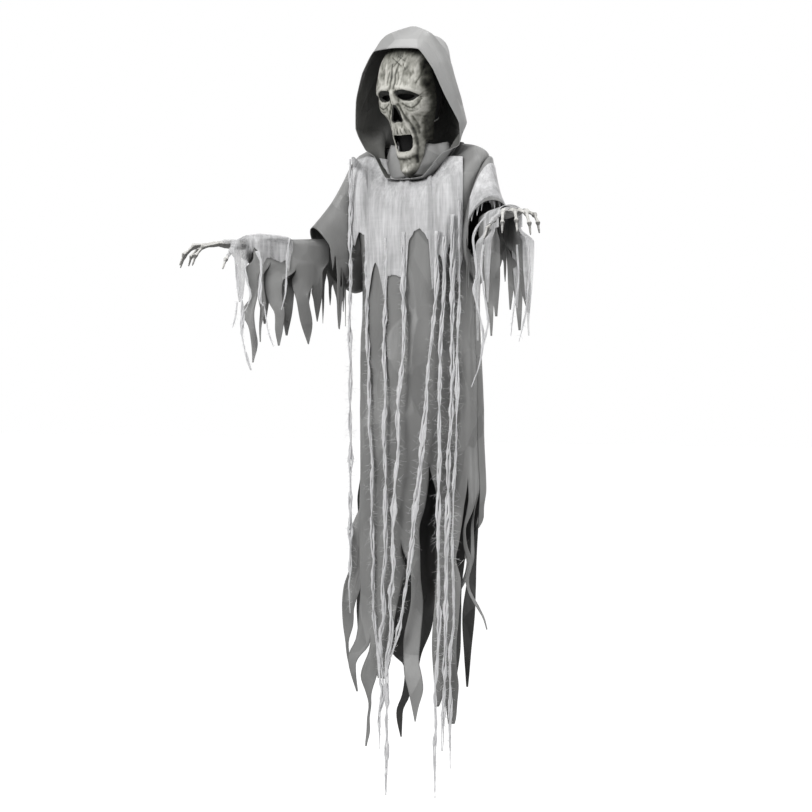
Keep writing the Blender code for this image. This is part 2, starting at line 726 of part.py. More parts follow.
def make_front_shell():
    half = housing_half("chest_front_shell", True)
    add_hanging_ribs(half, True)
    for i in range(GRILLE_SLOTS):
        offset = (i - (GRILLE_SLOTS - 1) / 2) * GRILLE_PITCH
        reach = math.sqrt(max(SPEAKER_RADIUS ** 2 - offset ** 2, GRILLE_PITCH ** 2)) * 0.86
        slot = box("grille_cutter",
                   (SPEAKER_X - reach, -UNIT_FRONT - OVERRUN, -SPEAKER_DROP + offset - GRILLE_SLOT / 2),
                   (SPEAKER_X + reach, -UNIT_FRONT + UNIT_WALL + OVERRUN / 2, -SPEAKER_DROP + offset + GRILLE_SLOT / 2),
                   None, CUTTERS)
        boolean(half, slot)
    button_hole = rod("button_hole_cutter", (UNIT_HALF_WIDTH - 2 * UNIT_WALL, -UNIT_FRONT / 2, -BUTTON_DROP),
                      (UNIT_HALF_WIDTH + OVERRUN, -UNIT_FRONT / 2, -BUTTON_DROP), BUTTON_RADIUS + GAP, None,
                      CUTTERS, 20)
    boolean(half, button_hole)
    smooth(half, 30)


def bay_box():
    """Low and high corners of the battery bay's inside, open to the back."""
    half = CELL_PITCH * CELL_COUNT / 2 + BAY_SIDE
    depth = 2 * CELL_RADIUS + GAP
    floor = UNIT_BACK - DOOR - depth
    low = Vector((-half, floor, -CELL_DROP - BAY_SIDE))
    high = Vector((half, UNIT_BACK, -CELL_DROP + CELL_LENGTH + BAY_SIDE))
    return low, high


def make_back_shell():
    half = housing_half("chest_back_shell", False)
    add_hanging_ribs(half, False)
    low, high = bay_box()
    wall = Vector((BAY_WALL, BAY_WALL, BAY_WALL))
    tray = box("bay_tray", low - wall, (high.x + BAY_WALL, UNIT_BACK - UNIT_WALL / 2, high.z + BAY_WALL),
               BLACK_PLASTIC)
    boolean(half, tray, "UNION")
    boolean(half, box("bay_cutter", low, high + Vector((0, OVERRUN, 0)), None, CUTTERS))
    # A shallow recess holds the sliding door flush, and runs out through the bottom.
    boolean(half, box("door_recess_cutter",
                      (low.x - DOOR_MARGIN - GAP, UNIT_BACK - DOOR, -UNIT_TOP_DROP - UNIT_HEIGHT - OVERRUN),
                      (high.x + DOOR_MARGIN + GAP, UNIT_BACK + OVERRUN, high.z + DOOR_MARGIN + GAP),
                      None, CUTTERS))
    slot_reach = SWITCH_HALF + SWITCH_TRAVEL + GAP
    boolean(half, box("switch_slot_cutter",
                      (-slot_reach, UNIT_BACK - 2 * UNIT_WALL, -SWITCH_DROP - SWITCH_HALF / 2 - GAP),
                      (slot_reach, UNIT_BACK + OVERRUN, -SWITCH_DROP + SWITCH_HALF / 2 + GAP), None, CUTTERS))
    smooth(half, 30)


def make_battery_door():
    low, high = bay_box()
    outer = UNIT_BACK
    inner = UNIT_BACK - DOOR + GAP
    door = box("battery_door", (low.x - DOOR_MARGIN, inner, low.z - DOOR_MARGIN),
               (high.x + DOOR_MARGIN, outer, high.z + DOOR_MARGIN), BLACK_PLASTIC)
    ridge_pitch = 2 * GRILLE_SLOT
    for i in range(3):
        height = high.z - DOOR_MARGIN - i * ridge_pitch
        ridge = box("door_ridge", (low.x / 2, outer - DOOR / 2, height - GRILLE_SLOT / 2),
                    (high.x / 2, outer + DOOR / 2, height), BLACK_PLASTIC)
        boolean(door, ridge, "UNION")


def make_cells():
    low, high = bay_box()
    y = low.y + GAP + CELL_RADIUS
    cap = CELL_RADIUS / 2.6
    cap_height = 0.0010
    for i in range(CELL_COUNT):
        x = (i - (CELL_COUNT - 1) / 2) * CELL_PITCH
        turn_over = i % 2
        cell = turned(f"battery_cell_{i + 1}", [
            (0, CELL_LENGTH / 2),
            (cap, CELL_LENGTH / 2),
            (cap, CELL_LENGTH / 2 - cap_height),
            (CELL_RADIUS, CELL_LENGTH / 2 - cap_height),
            (CELL_RADIUS, -CELL_LENGTH / 2),
            (0, -CELL_LENGTH / 2),
        ], CELL_SLEEVE, steps=12)
        cell.location = (x, y, -CELL_DROP + CELL_LENGTH / 2)
        cell.rotation_euler.x = math.pi * turn_over


def make_switch_and_button():
    grip = 2 * UNIT_WALL
    switch = box("mode_switch", (-SWITCH_HALF, UNIT_BACK - UNIT_WALL - GAP, -SWITCH_DROP - SWITCH_HALF / 2),
                 (SWITCH_HALF, UNIT_BACK + UNIT_WALL, -SWITCH_DROP + SWITCH_HALF / 2), WHITE_ACETAL)
    body = box("switch_body",
               (-SWITCH_HALF - SWITCH_TRAVEL - grip, UNIT_BACK - UNIT_WALL - GAP * 2 - grip, -SWITCH_DROP - SWITCH_HALF),
               (SWITCH_HALF + SWITCH_TRAVEL + grip, UNIT_BACK - UNIT_WALL - GAP * 2, -SWITCH_DROP + SWITCH_HALF),
               STEEL)
    start = (UNIT_HALF_WIDTH - UNIT_WALL - BUTTON_TRAVEL, -UNIT_FRONT / 2, -BUTTON_DROP)
    end = (UNIT_HALF_WIDTH + BUTTON_PROUD, -UNIT_FRONT / 2, -BUTTON_DROP)
    button = rod("try_button", start, end, BUTTON_RADIUS, WHITE_ACETAL, FIGURE, 20)
    return switch, body, button


def make_speaker_and_board():
    front = -UNIT_FRONT + UNIT_WALL + GAP
    speaker = turned("speaker", [
        (SPEAKER_RADIUS, 0),
        (SPEAKER_RADIUS, -UNIT_WALL),
        (SPEAKER_RADIUS / 2, -SPEAKER_DEPTH / 2),
        (SPEAKER_RADIUS / 2, -SPEAKER_DEPTH),
        (0, -SPEAKER_DEPTH),
        (0, -SPEAKER_DEPTH / 2),
        (SPEAKER_RADIUS / 4, -SPEAKER_DEPTH / 2),
        (SPEAKER_RADIUS - UNIT_WALL, 0),
    ], BLACK_PLASTIC, steps=16)
    speaker.location = (SPEAKER_X, front, -SPEAKER_DROP)
    speaker.rotation_euler.x = math.pi / 2
    low, _ = bay_box()
    back = low.y - BAY_WALL - GAP
    board_half = 0.034
    board = box("circuit_board", (-board_half, back - BOARD, -CELL_DROP),
                (board_half, back, -CELL_DROP + CELL_LENGTH), GREEN_BOARD)
    chip = 0.007
    boolean(board, box("chip", (-chip, back - 2 * BOARD, -CELL_DROP + chip),
                       (chip, back - BOARD / 2, -CELL_DROP + 3 * chip), BLACK_PLASTIC), "UNION")


def make_screws():
    """The four screws that hold the back shell, seated on its face."""
    names = iter(range(1, 5))
    for side in SIDES.values():
        for drop in (UNIT_TOP_DROP + 2 * SCREW_INSET, UNIT_TOP_DROP + UNIT_HEIGHT - 2 * SCREW_INSET):
            x = side * (UNIT_HALF_WIDTH - 2 * SCREW_INSET)
            base = UNIT_BACK + GAP
            rod(f"housing_screw_{next(names)}", (x, base, -drop), (x, base + SCREW_HEAD, -drop), SCREW_RADIUS,
                STEEL, FIGURE, 12)


# Shoulder yoke, arms and elbows

def arm_way(side):
    """Level direction in which an arm reaches, and the level direction of its elbow bolt."""
    reach = Vector((side * math.sin(ARM_YAW), -math.cos(ARM_YAW), 0))
    return reach, Vector((side * reach.y, -side * reach.x, 0)).normalized()


def shoulder(side):
    return Vector((side * SHOULDER_X, SHOULDER_BACK, -SHOULDER_DROP))


def elbow(side_name):
    side = SIDES[side_name]
    reach, _ = arm_way(side)
    level = shoulder(side) + reach * ELBOW_REACH
    return Vector((level.x, level.y, -ELBOW_DROPS[side_name]))


SOCKET_WALL = 0.0035
SOCKET_LENGTH = 0.030
FORK_LENGTH = 0.030
FORK_RADIUS = 0.0095
TONGUE_RADIUS = 0.0080


def make_yoke():
    """The plastic beam across the shoulders, drooping to a socket at each end."""
    top = -UNIT_TOP_DROP + GAP + YOKE_HEIGHT
    middle = top - YOKE_HEIGHT / 2
    half_depth = YOKE_DEPTH / 2
    yoke = box("shoulder_yoke", (-UNIT_HALF_WIDTH, -half_depth, -UNIT_TOP_DROP + GAP),
               (UNIT_HALF_WIDTH, half_depth, top), BLACK_PLASTIC, None, UNIT_WALL)
    apply_all(yoke)
    socket_radius = ARM_TUBE_RADIUS + GAP + SOCKET_WALL
    for side_name, side in SIDES.items():
        down_arm = (elbow(side_name) - shoulder(side)).normalized()
        spread = tube("yoke_wing", [
            Vector((side * (UNIT_HALF_WIDTH - 2 * SCREW_INSET), 0, middle)),
            Vector((side * (UNIT_HALF_WIDTH + SHOULDER_X) / 2, SHOULDER_BACK * 0.6, middle)),
            shoulder(side) - down_arm * SOCKET_LENGTH / 6 + Vector((side * -SOCKET_WALL, 0, 0)),
        ], YOKE_HEIGHT / 2, BLACK_PLASTIC, 1)
        boolean(yoke, spread, "UNION")
        socket = rod("yoke_socket", shoulder(side) - down_arm * SOCKET_LENGTH / 2,
                     shoulder(side) + down_arm * SOCKET_LENGTH / 2, socket_radius, BLACK_PLASTIC, FIGURE, 16)
        boolean(yoke, socket, "UNION")
    for side_name, side in SIDES.items():
        down_arm = (elbow(side_name) - shoulder(side)).normalized()
        boolean(yoke, rod("socket_cutter", shoulder(side) - down_arm * SOCKET_LENGTH / 4,
                          shoulder(side) + down_arm * SOCKET_LENGTH, ARM_TUBE_RADIUS + GAP, None, CUTTERS, 16))
    neck_hole = rod("yoke_neck_cutter", (0, 0, top - YOKE_HEIGHT - OVERRUN), (0, 0, top + OVERRUN),
                    NECK_TUBE_RADIUS + BEARING_GAP, None, CUTTERS, 24)
    boolean(yoke, neck_hole)
    # Two pockets lighten the beam from below, as on a moulding.
    for side in SIDES.values():
        x0, x1 = sorted((side * (NECK_TUBE_RADIUS + 2 * SOCKET_WALL), side * (UNIT_HALF_WIDTH - 2 * SOCKET_WALL)))
        boolean(yoke, box("yoke_pocket_cutter", (x0, -half_depth + SOCKET_WALL, -UNIT_TOP_DROP - OVERRUN),
                          (x1, half_depth - SOCKET_WALL, top - SOCKET_WALL), None, CUTTERS))
    smooth(yoke, 30)


def fork_pieces(side_name):
    """Upper arm tube and the fork plugged on its lower end, which holds the elbow bolt."""
    side = SIDES[side_name]
    reach, bolt_way = arm_way(side)
    pivot = elbow(side_name)
    down_arm = (pivot - shoulder(side)).normalized()
    tube_end = pivot - down_arm * FORK_LENGTH
    rod("upper_arm_tube_" + side_name, shoulder(side) - down_arm * SOCKET_LENGTH / 5, tube_end, ARM_TUBE_RADIUS,
        STEEL, FIGURE, 14)
    half_out = TONGUE / 2 + GAP + FORK_CHEEK
    collar = ARM_TUBE_RADIUS + GAP + SOCKET_WALL
    fork = rod("elbow_fork_" + side_name, tube_end - down_arm * SOCKET_LENGTH / 2,
               pivot - down_arm * (FORK_RADIUS + TONGUE_RADIUS) / 2, collar, BLACK_PLASTIC, FIGURE, 16)
    eye = rod("fork_eye", pivot - bolt_way * half_out, pivot + bolt_way * half_out, FORK_RADIUS, BLACK_PLASTIC,
              FIGURE, 16)
    boolean(fork, eye, "UNION")
    web = tube("fork_web", [pivot - down_arm * FORK_LENGTH * 0.7, pivot], FORK_RADIUS, BLACK_PLASTIC, 1)
    boolean(fork, web, "UNION")
    boolean(fork, rod("fork_tube_cutter", tube_end - down_arm * SOCKET_LENGTH, tube_end + down_arm * GAP,
                      ARM_TUBE_RADIUS + GAP, None, CUTTERS, 16))
    clear = TONGUE_RADIUS + 2 * GAP + SOCKET_WALL
    boolean(fork, rod("fork_slot_cutter", pivot - bolt_way * (TONGUE / 2 + GAP), pivot + bolt_way * (TONGUE / 2 + GAP),
                      FORK_RADIUS + clear, None, CUTTERS, 16))
    half_cut = half_out + OVERRUN
    boolean(fork, rod("fork_bolt_cutter", pivot - bolt_way * half_cut, pivot + bolt_way * half_cut,
                      BOLT_RADIUS + GAP, None, CUTTERS, 14))
    # Material that the slab union left outside the cheeks is trimmed off flat on both sides.
    for way in (-1, 1):
        trim = rod("fork_trim_cutter", pivot + bolt_way * way * (half_out), pivot + bolt_way * way * (half_out * 3),
                   FORK_LENGTH * 0.62, None, CUTTERS, 12)
        boolean(fork, trim)
    smooth(fork, 30)


def elbow_bolt(side_name):
    side = SIDES[side_name]
    _, bolt_way = arm_way(side)
    pivot = elbow(side_name)
    half_out = TONGUE / 2 + GAP + FORK_CHEEK
    head = 2 * BOLT_RADIUS
    thread_end = half_out + GAP + 3 * BOLT_RADIUS
    bolt = turned("elbow_bolt_" + side_name, [
        (0, thread_end),
        (BOLT_RADIUS, thread_end),
        (BOLT_RADIUS, -half_out - GAP),
        (head, -half_out - GAP),
        (head * 0.8, -half_out - GAP - head),
        (0, -half_out - GAP - head),
    ], STEEL, steps=14)
    bolt.rotation_mode = "QUATERNION"
    bolt.rotation_quaternion = bolt_way.to_track_quat("Z", "Y")
    bolt.location = pivot
    start = half_out + GAP
    hub_length = 2 * BOLT_RADIUS
    nut = rod("elbow_wing_nut_" + side_name, pivot + bolt_way * start, pivot + bolt_way * (start + hub_length),
              2 * BOLT_RADIUS, STEEL, FIGURE, 14)
    wing = 4.4 * BOLT_RADIUS
    blade = box("nut_wings", (-wing, -BOLT_RADIUS / 3, hub_length * 0.35), (wing, BOLT_RADIUS / 3, hub_length * 1.5),
                STEEL)
    blade.rotation_mode = "QUATERNION"
    turn = bolt_way.to_track_quat("Z", "Y")
    blade.location = pivot + bolt_way * start + turn @ blade.location
    blade.rotation_quaternion = turn
    boolean(nut, blade, "UNION")
    boolean(nut, rod("nut_bore_cutter", pivot, pivot + bolt_way * (start + 4 * hub_length), BOLT_RADIUS + GAP, None,
                     CUTTERS, 14))


def forearm(side_name):
    """Tongue, tube and wrist peg of a forearm, which turns on the elbow bolt."""
    side = SIDES[side_name]
    reach, bolt_way = arm_way(side)
    pivot = elbow(side_name)
    wrist = pivot + reach * FOREARM_LENGTH
    arm = rod("forearm_tube_" + side_name, pivot + reach * (FORK_RADIUS + 2 * TONGUE_RADIUS), wrist, ARM_TUBE_RADIUS,
              BLACK_PLASTIC, FIGURE, 14)
    tongue = rod("tongue_eye", pivot - bolt_way * TONGUE / 2, pivot + bolt_way * TONGUE / 2, TONGUE_RADIUS, BLACK_PLASTIC,
                 FIGURE, 16)
    start = Vector((0, -TONGUE / 2, -TONGUE_RADIUS * 0.7))
    end = Vector((FORK_RADIUS + 2.4 * TONGUE_RADIUS, TONGUE / 2, TONGUE_RADIUS * 0.7))
    strap = box("tongue_strap", start, end, BLACK_PLASTIC)
    frame = Matrix((reach, bolt_way * side, UP)).transposed()
    if frame.determinant() < 0:
        frame = Matrix((reach, -bolt_way * side, UP)).transposed()
    strap.data.transform(Matrix.Translation(strap.location))
    strap.location = (0, 0, 0)
    strap.matrix_world = Matrix.Translation(pivot) @ frame.to_4x4()
    boolean(arm, strap, "UNION")
    boolean(arm, tongue, "UNION")
    barrel = turned("forearm_barrel", [
        (0, FOREARM_LENGTH - SOCKET_LENGTH),
        (FOREARM_RADIUS * 0.8, FOREARM_LENGTH - SOCKET_LENGTH),
        (FOREARM_RADIUS, FOREARM_LENGTH - SOCKET_LENGTH - FOREARM_RADIUS / 3),
        (FOREARM_RADIUS, FORK_RADIUS + 3 * TONGUE_RADIUS),
        (FOREARM_RADIUS * 0.6, FORK_RADIUS + 2 * TONGUE_RADIUS),
        (0, FORK_RADIUS + 2 * TONGUE_RADIUS),
    ], BLACK_PLASTIC, steps=16)
    barrel.rotation_mode = "QUATERNION"
    barrel.rotation_quaternion = reach.to_track_quat("Z", "Y")
    barrel.location = pivot
    boolean(arm, barrel, "UNION")
    boolean(arm, rod("tongue_bore_cutter", pivot - bolt_way * TONGUE, pivot + bolt_way * TONGUE, BOLT_RADIUS + GAP,
                     None, CUTTERS, 14))
    smooth(arm, 30)


# Hands: one moulding each, of a palm block, five bony fingers and a wrist socket.
# Fingers: side offset of the knuckle, reach of the knuckle, side spread in degrees, and bone lengths.
KNUCKLE_REACH = 0.088
FINGERS = [
    {"offset": 0.0265, "reach": 0.083, "spread": 15, "bones": (0.044, 0.030, 0.026), "droop": (12, 45, 70)},
    {"offset": 0.0095, "reach": 0.089, "spread": 5, "bones": (0.050, 0.034, 0.028), "droop": (6, 40, 66)},
    {"offset": -0.0085, "reach": 0.087, "spread": -5, "bones": (0.047, 0.032, 0.028), "droop": (10, 46, 72)},
    {"offset": -0.0255, "reach": 0.080, "spread": -16, "bones": (0.037, 0.024, 0.024), "droop": (16, 50, 74)},
]
THUMB = {"offset": 0.020, "reach": 0.030, "spread": 42, "bones": (0.040, 0.034, 0.028), "droop": (28, 36, 58)}
BONE_RADIUS = 0.0052
KNUCKLE_SHARE = 1.34
SHAFT_SHARE = 0.80
NAIL_SHARE = 0.32


def hand_frame(side_name):
    """Matrix from a hand's own frame (reach, thumb side, up) to the row frame, at the wrist."""
    side = SIDES[side_name]
    reach, _ = arm_way(side)
    inner = Vector((-side * -reach.y, -side * reach.x, 0)).normalized() * 1.0
    if inner.x * side > 0:
        inner = -inner
    matrix = Matrix((reach, inner, UP)).transposed().to_4x4()
    matrix.translation = elbow(side_name) + reach * FOREARM_LENGTH
    return matrix


def finger_path(finger):
    """Points and radius shares of one digit, from inside the palm to its nail, in the hand's frame."""
    start = Vector((finger["reach"], finger["offset"], 0))
    root = Vector((finger["reach"] * 0.25, finger["offset"] * 0.45, 0))
    points = [root, start - (start - root) * 0.30, start]
    shares = [1.0, SHAFT_SHARE, KNUCKLE_SHARE]
    place = start
    turn = math.radians(finger["spread"])
    for index, (length, droop) in enumerate(zip(finger["bones"], finger["droop"])):
        angle = math.radians(droop)
        way = Vector((math.cos(angle) * math.cos(turn), math.cos(angle) * math.sin(turn), -math.sin(angle)))
        last = index == len(finger["bones"]) - 1
        thin = 1 - 0.12 * index
        points.append(place + way * length * 0.28)
        shares.append(SHAFT_SHARE * thin)
        points.append(place + way * length * 0.72)
        shares.append(SHAFT_SHARE * thin * (0.95 if not last else 0.8))
        place = place + way * length
        points.append(place)
        shares.append(NAIL_SHARE if last else KNUCKLE_SHARE * thin)
    return points, shares


def make_hand(side_name):
    frame = hand_frame(side_name)
    bpy.ops.mesh.primitive_uv_sphere_add(segments=12, ring_count=6, radius=1)
    palm = bpy.context.object
    palm.name = "hand_" + side_name
    put(palm, FIGURE, AGED_BONE)
    palm.data.transform(Matrix.Translation((KNUCKLE_REACH * 0.44, 0, 0)) @ Matrix.Diagonal(
        (KNUCKLE_REACH * 0.46, FINGERS[0]["offset"] * 0.98, BONE_RADIUS * 2.0, 1)))
    flip = frame.to_3x3().determinant() < 0
    for finger in [*FINGERS, THUMB]:
        points, shares = finger_path(finger)
        bone = tube("digit", points, BONE_RADIUS, AGED_BONE, 1, shares)
        boolean(palm, bone, "UNION")
    stub = rod("wrist_stub", (-SOCKET_LENGTH / 2, 0, 0), (KNUCKLE_REACH * 0.3, 0, 0),
               ARM_TUBE_RADIUS + GAP + SOCKET_WALL, AGED_BONE, FIGURE, 14)
    boolean(palm, stub, "UNION")
    boolean(palm, rod("wrist_socket_cutter", (-SOCKET_LENGTH, 0, 0), (GAP, 0, 0), ARM_TUBE_RADIUS + GAP, None,
                      CUTTERS, 14))
    palm.data.transform(frame)
    if flip:
        palm.data.flip_normals()
    smooth(palm, 60)


# Cloth: one rule for the robe, sleeves and gauze, which makes a grid and lets rags hang from its lower edge

def ragged_grid(surface, across, rows, rags, rag_rows):
    """Points and faces over surface(u, v), u from 0 to 1 across and v from 0 to 1 down, with rags below v = 1.

    Each rag names its first and last column, how far down its left and right slits start, how far it hangs in v,
    the share of its width that is left at its tip, and how far it drifts sideways in columns.
    """
    columns = across + 1
    points = [surface(j / across, i / rows) for i in range(rows + 1) for j in range(columns)]
    faces = grid_faces(rows + 1, columns, False)
    shared = {}
    for rag in rags:
        first, last = rag["columns"]
        middle = (first + last) / 2
        above = {j: rows * columns + j for j in range(first, last + 1)}
        for k in range(1, rag_rows + 1):
            t = k / rag_rows
            row = {}
            for j in range(first, last + 1):
                start = rag["left"] if j < middle else rag["right"]
                column = mix(j, middle, rag_gap(t, start, rag["tip_share"]))
                column += rag["drift"] * max(0.0, t - min(rag["left"], rag["right"])) ** 1.5
                place = surface(column / across, 1 + rag["tip"] * t)
                joined = (j == first and t <= rag["left"]) or (j == last and t <= rag["right"])
                if joined and (j, k) in shared:
                    row[j] = shared[(j, k)]
                    points[row[j]] = (points[row[j]] + place) / 2
                else:
                    row[j] = len(points)
                    points.append(place)
                if joined:
                    shared[(j, k)] = row[j]
            for j in range(first, last):
                faces.append((above[j], row[j], row[j + 1], above[j + 1]))
            above = row
    return points, faces


def rag_gap(t, start, tip_share):
    """How far a rag's edge has drawn in to its middle, from 0 at the slit's start."""
    if t <= start:
        return 0.0
    s = (t - start) / max(1 - start, SEAM)
    leaf = 0.22 * math.sin(s * math.tau * 0.9) * (1 - s)
    return min(max((1 - tip_share) * s ** 0.85 + leaf + 0.08 * (1 - s), 0.03), 1 - tip_share)


# The rags and strands hang straight down, so their places are given as they show across the picture's view.
VIEW_TURN = math.radians(28.5)
ACROSS_VIEW = Vector((math.cos(VIEW_TURN), math.sin(VIEW_TURN), 0))
TO_VIEW = Vector((math.sin(VIEW_TURN), -math.cos(VIEW_TURN), 0))
RAG_PART = 0.12
RAG_WAVE = 0.007


def along_keys(table, x):
    """Smooth curve through a table of (x, value) pairs, level outside it."""
    if x <= table[0][0]:
        return table[0][1]
    if x >= table[-1][0]:
        return table[-1][1]
    i = max(k for k in range(len(table) - 1) if table[k][0] <= x)
    (x0, y0), (x1, y1) = table[i], table[i + 1]
    slope0 = 0.0 if i == 0 else (y1 - table[i - 1][1]) / (x1 - table[i - 1][0]) * (x1 - x0)
    last = i + 2 >= len(table)
    slope1 = (y1 - y0) if last else (table[i + 2][1] - y0) / (table[i + 2][0] - x0) * (x1 - x0)
    t = (x - x0) / (x1 - x0)
    return (y0 * (1 + 2 * t) * (1 - t) ** 2 + slope0 * t * (1 - t) ** 2 + y1 * t * t * (3 - 2 * t)
            + slope1 * t * t * (t - 1))


def rag_place(surface, rag, share, column_share, w, middle_share):
    """A point of a rag: on the sheet's surface above its slits, and hanging free across the view below them."""
    base = surface(column_share, 1 + w)
    first, last = [smoothstep((w - slit) / RAG_PART) for slit in rag["slits"]]
    free = mix(first, last, share)
    if free <= 0:
        return base
    edges = [along_keys([(key[0], key[side]) for key in rag["keys"]], w) for side in (1, 2)]
    across = mix(*edges, share)
    if rag.get("before"):
        depth = front_depth(sum(edges) / 2, base.z) + rag["before"](w)
    else:
        depth = surface(middle_share, 1 + w).dot(TO_VIEW)
        depth += RAG_WAVE * (math.sin(w * 11 + rag["columns"][0] * 1.7) - 1) * smoothstep(w * 2)
        depth += (share - 0.5) * RAG_WAVE * math.sin(w * 8 + rag["columns"][1] * 2.3)
    depth += rag["near"] * smoothstep(w * 3)
    hung = ACROSS_VIEW * across + TO_VIEW * depth + UP * base.z
    return mix(base, hung, free)


def hanging_grid(surface, across, row_shares, rags, rag_rows):
    """Points and faces over surface(u, v), v from 0 to 1 down the sheet, with rags that hang below it.

    Each rag names its columns at the sheet's foot, how far down each of its slits starts, how far it hangs in
    front of the sheet, and then, down its length, where its two edges show across the view.
    """
    columns = across + 1
    points = [surface(j / across, v) for v in row_shares for j in range(columns)]
    faces = grid_faces(len(row_shares), columns, False)
    step = max(rag["keys"][-1][0] for rag in rags) / rag_rows
    shared = {}
    for rag in rags:
        first, last = rag["columns"]
        tip = rag["keys"][-1][0]
        levels = [k * step for k in range(1, rag_rows + 1) if k * step < tip - step / 3] + [tip]
        above = {j: (len(row_shares) - 1) * columns + j for j in range(first, last + 1)}
        for k, w in enumerate(levels):
            row = {}
            for j in range(first, last + 1):
                joined = j in (first, last) and w <= rag["slits"][0 if j == first else 1] and w < tip
                if joined and (j, k) in shared:
                    row[j] = shared[(j, k)]
                    continue
                row[j] = len(points)
                points.append(rag_place(surface, rag, (j - first) / (last - first), j / across, w,
                                        (first + last) / 2 / across))
                if joined:
                    shared[(j, k)] = row[j]
            for j in range(first, last):
                faces.append((above[j], row[j], row[j + 1], above[j + 1]))
            above = row
    return points, faces


def cloth_piece(name, grids, material, thickness):
    """One sheet of cloth from one or more grids, which are sewn where their points meet."""
    points = []
    faces = []
    for grid_points, grid_quads in grids:
        start = len(points)
        points += grid_points
        faces += [tuple(start + i for i in quad) for quad in grid_quads]
    cloth = mesh_object(name, points, faces, material)
    bm = bmesh.new()
    bm.from_mesh(cloth.data)
    bmesh.ops.remove_doubles(bm, verts=bm.verts, dist=GAP / 10)
    bmesh.ops.recalc_face_normals(bm, faces=bm.faces)
    bm.to_mesh(cloth.data)
    bm.free()
    shell(cloth, thickness, 0)
    cloth.modifiers.new("facets", "TRIANGULATE")
    cloth.data.shade_smooth()
    return cloth


# Robe: drops and half sizes of its rings as shares of the driving sizes, and how they change with the angle
# Columns: front drop, side drop, back drop (of the robe's length to the slits), half width, front and back depth
ROBE_RINGS = [
    (0.124, 0.000, 0.000, 0.59, 0.61, 0.74),
    (0.149, 0.013, 0.030, 0.94, 0.86, 0.88),
    (0.195, 0.050, 0.090, 1.13, 1.00, 0.96),
    (0.248, 0.156, 0.182, 1.11, 1.05, 1.00),
    (0.340, 0.314, 0.327, 0.97, 1.02, 0.98),
    (0.472, 0.472, 0.472, 0.93, 1.00, 0.98),
    (0.720, 0.720, 0.720, 0.97, 1.00, 1.00),
    (1.000, 1.000, 1.000, 1.00, 1.00, 1.00),
]
ROBE_FOLDS = 9
ROBE_FOLD_DEPTH = 0.0055
NECK_SIDE_POWER = 4


def raised(surface, a, b, out):
    """The point of a surface at a and b, moved out along its normal, which is found from its neighbours."""
    step = 0.01
    across = surface(a + step, b) - surface(a - step, b)
    down = surface(a, b + step) - surface(a, b - step)
    return surface(a, b) + down.cross(across).normalized() * out


def robe_point(turn, level):
    """A point of the robe, at turn radians from the front centre and level 0 at the neck, 1 at the slits."""
    rings = len(ROBE_RINGS) - 1
    t = min(level, 1.0) * rings
    ring = [along([row[c] for row in ROBE_RINGS], t) for c in range(6)]
    front, side_drop, back, width, front_depth, back_depth = ring
    sine, cosine = math.sin(turn), math.cos(turn)
    end_drop = front if cosine > 0 else back
    side_share = abs(sine) ** mix(NECK_SIDE_POWER, 2, smoothstep(level * 3))
    length = SLIT_DROP - NECK_DROP
    z = -NECK_DROP - length * mix(end_drop, side_drop, side_share)
    if level > 1:
        z -= (level - 1) * (HEM_DROP - SLIT_DROP)
    depth = ROBE_HALF_DEPTH * (front_depth if cosine > 0 else back_depth)
    half = ROBE_HALF_WIDTH * width
    fold = ROBE_FOLD_DEPTH * smoothstep((level - 0.35) * 1.6) * math.cos(ROBE_FOLDS * turn + 1.1 + level * 0.8)
    flare = 1 + 0.05 * max(0.0, level - 1)
    shape = Vector((half * sine, -depth * cosine, 0)) * flare
    outward = Vector((sine / half, -cosine / depth, 0)).normalized()
    return Vector((shape.x, shape.y, z)) + outward * fold


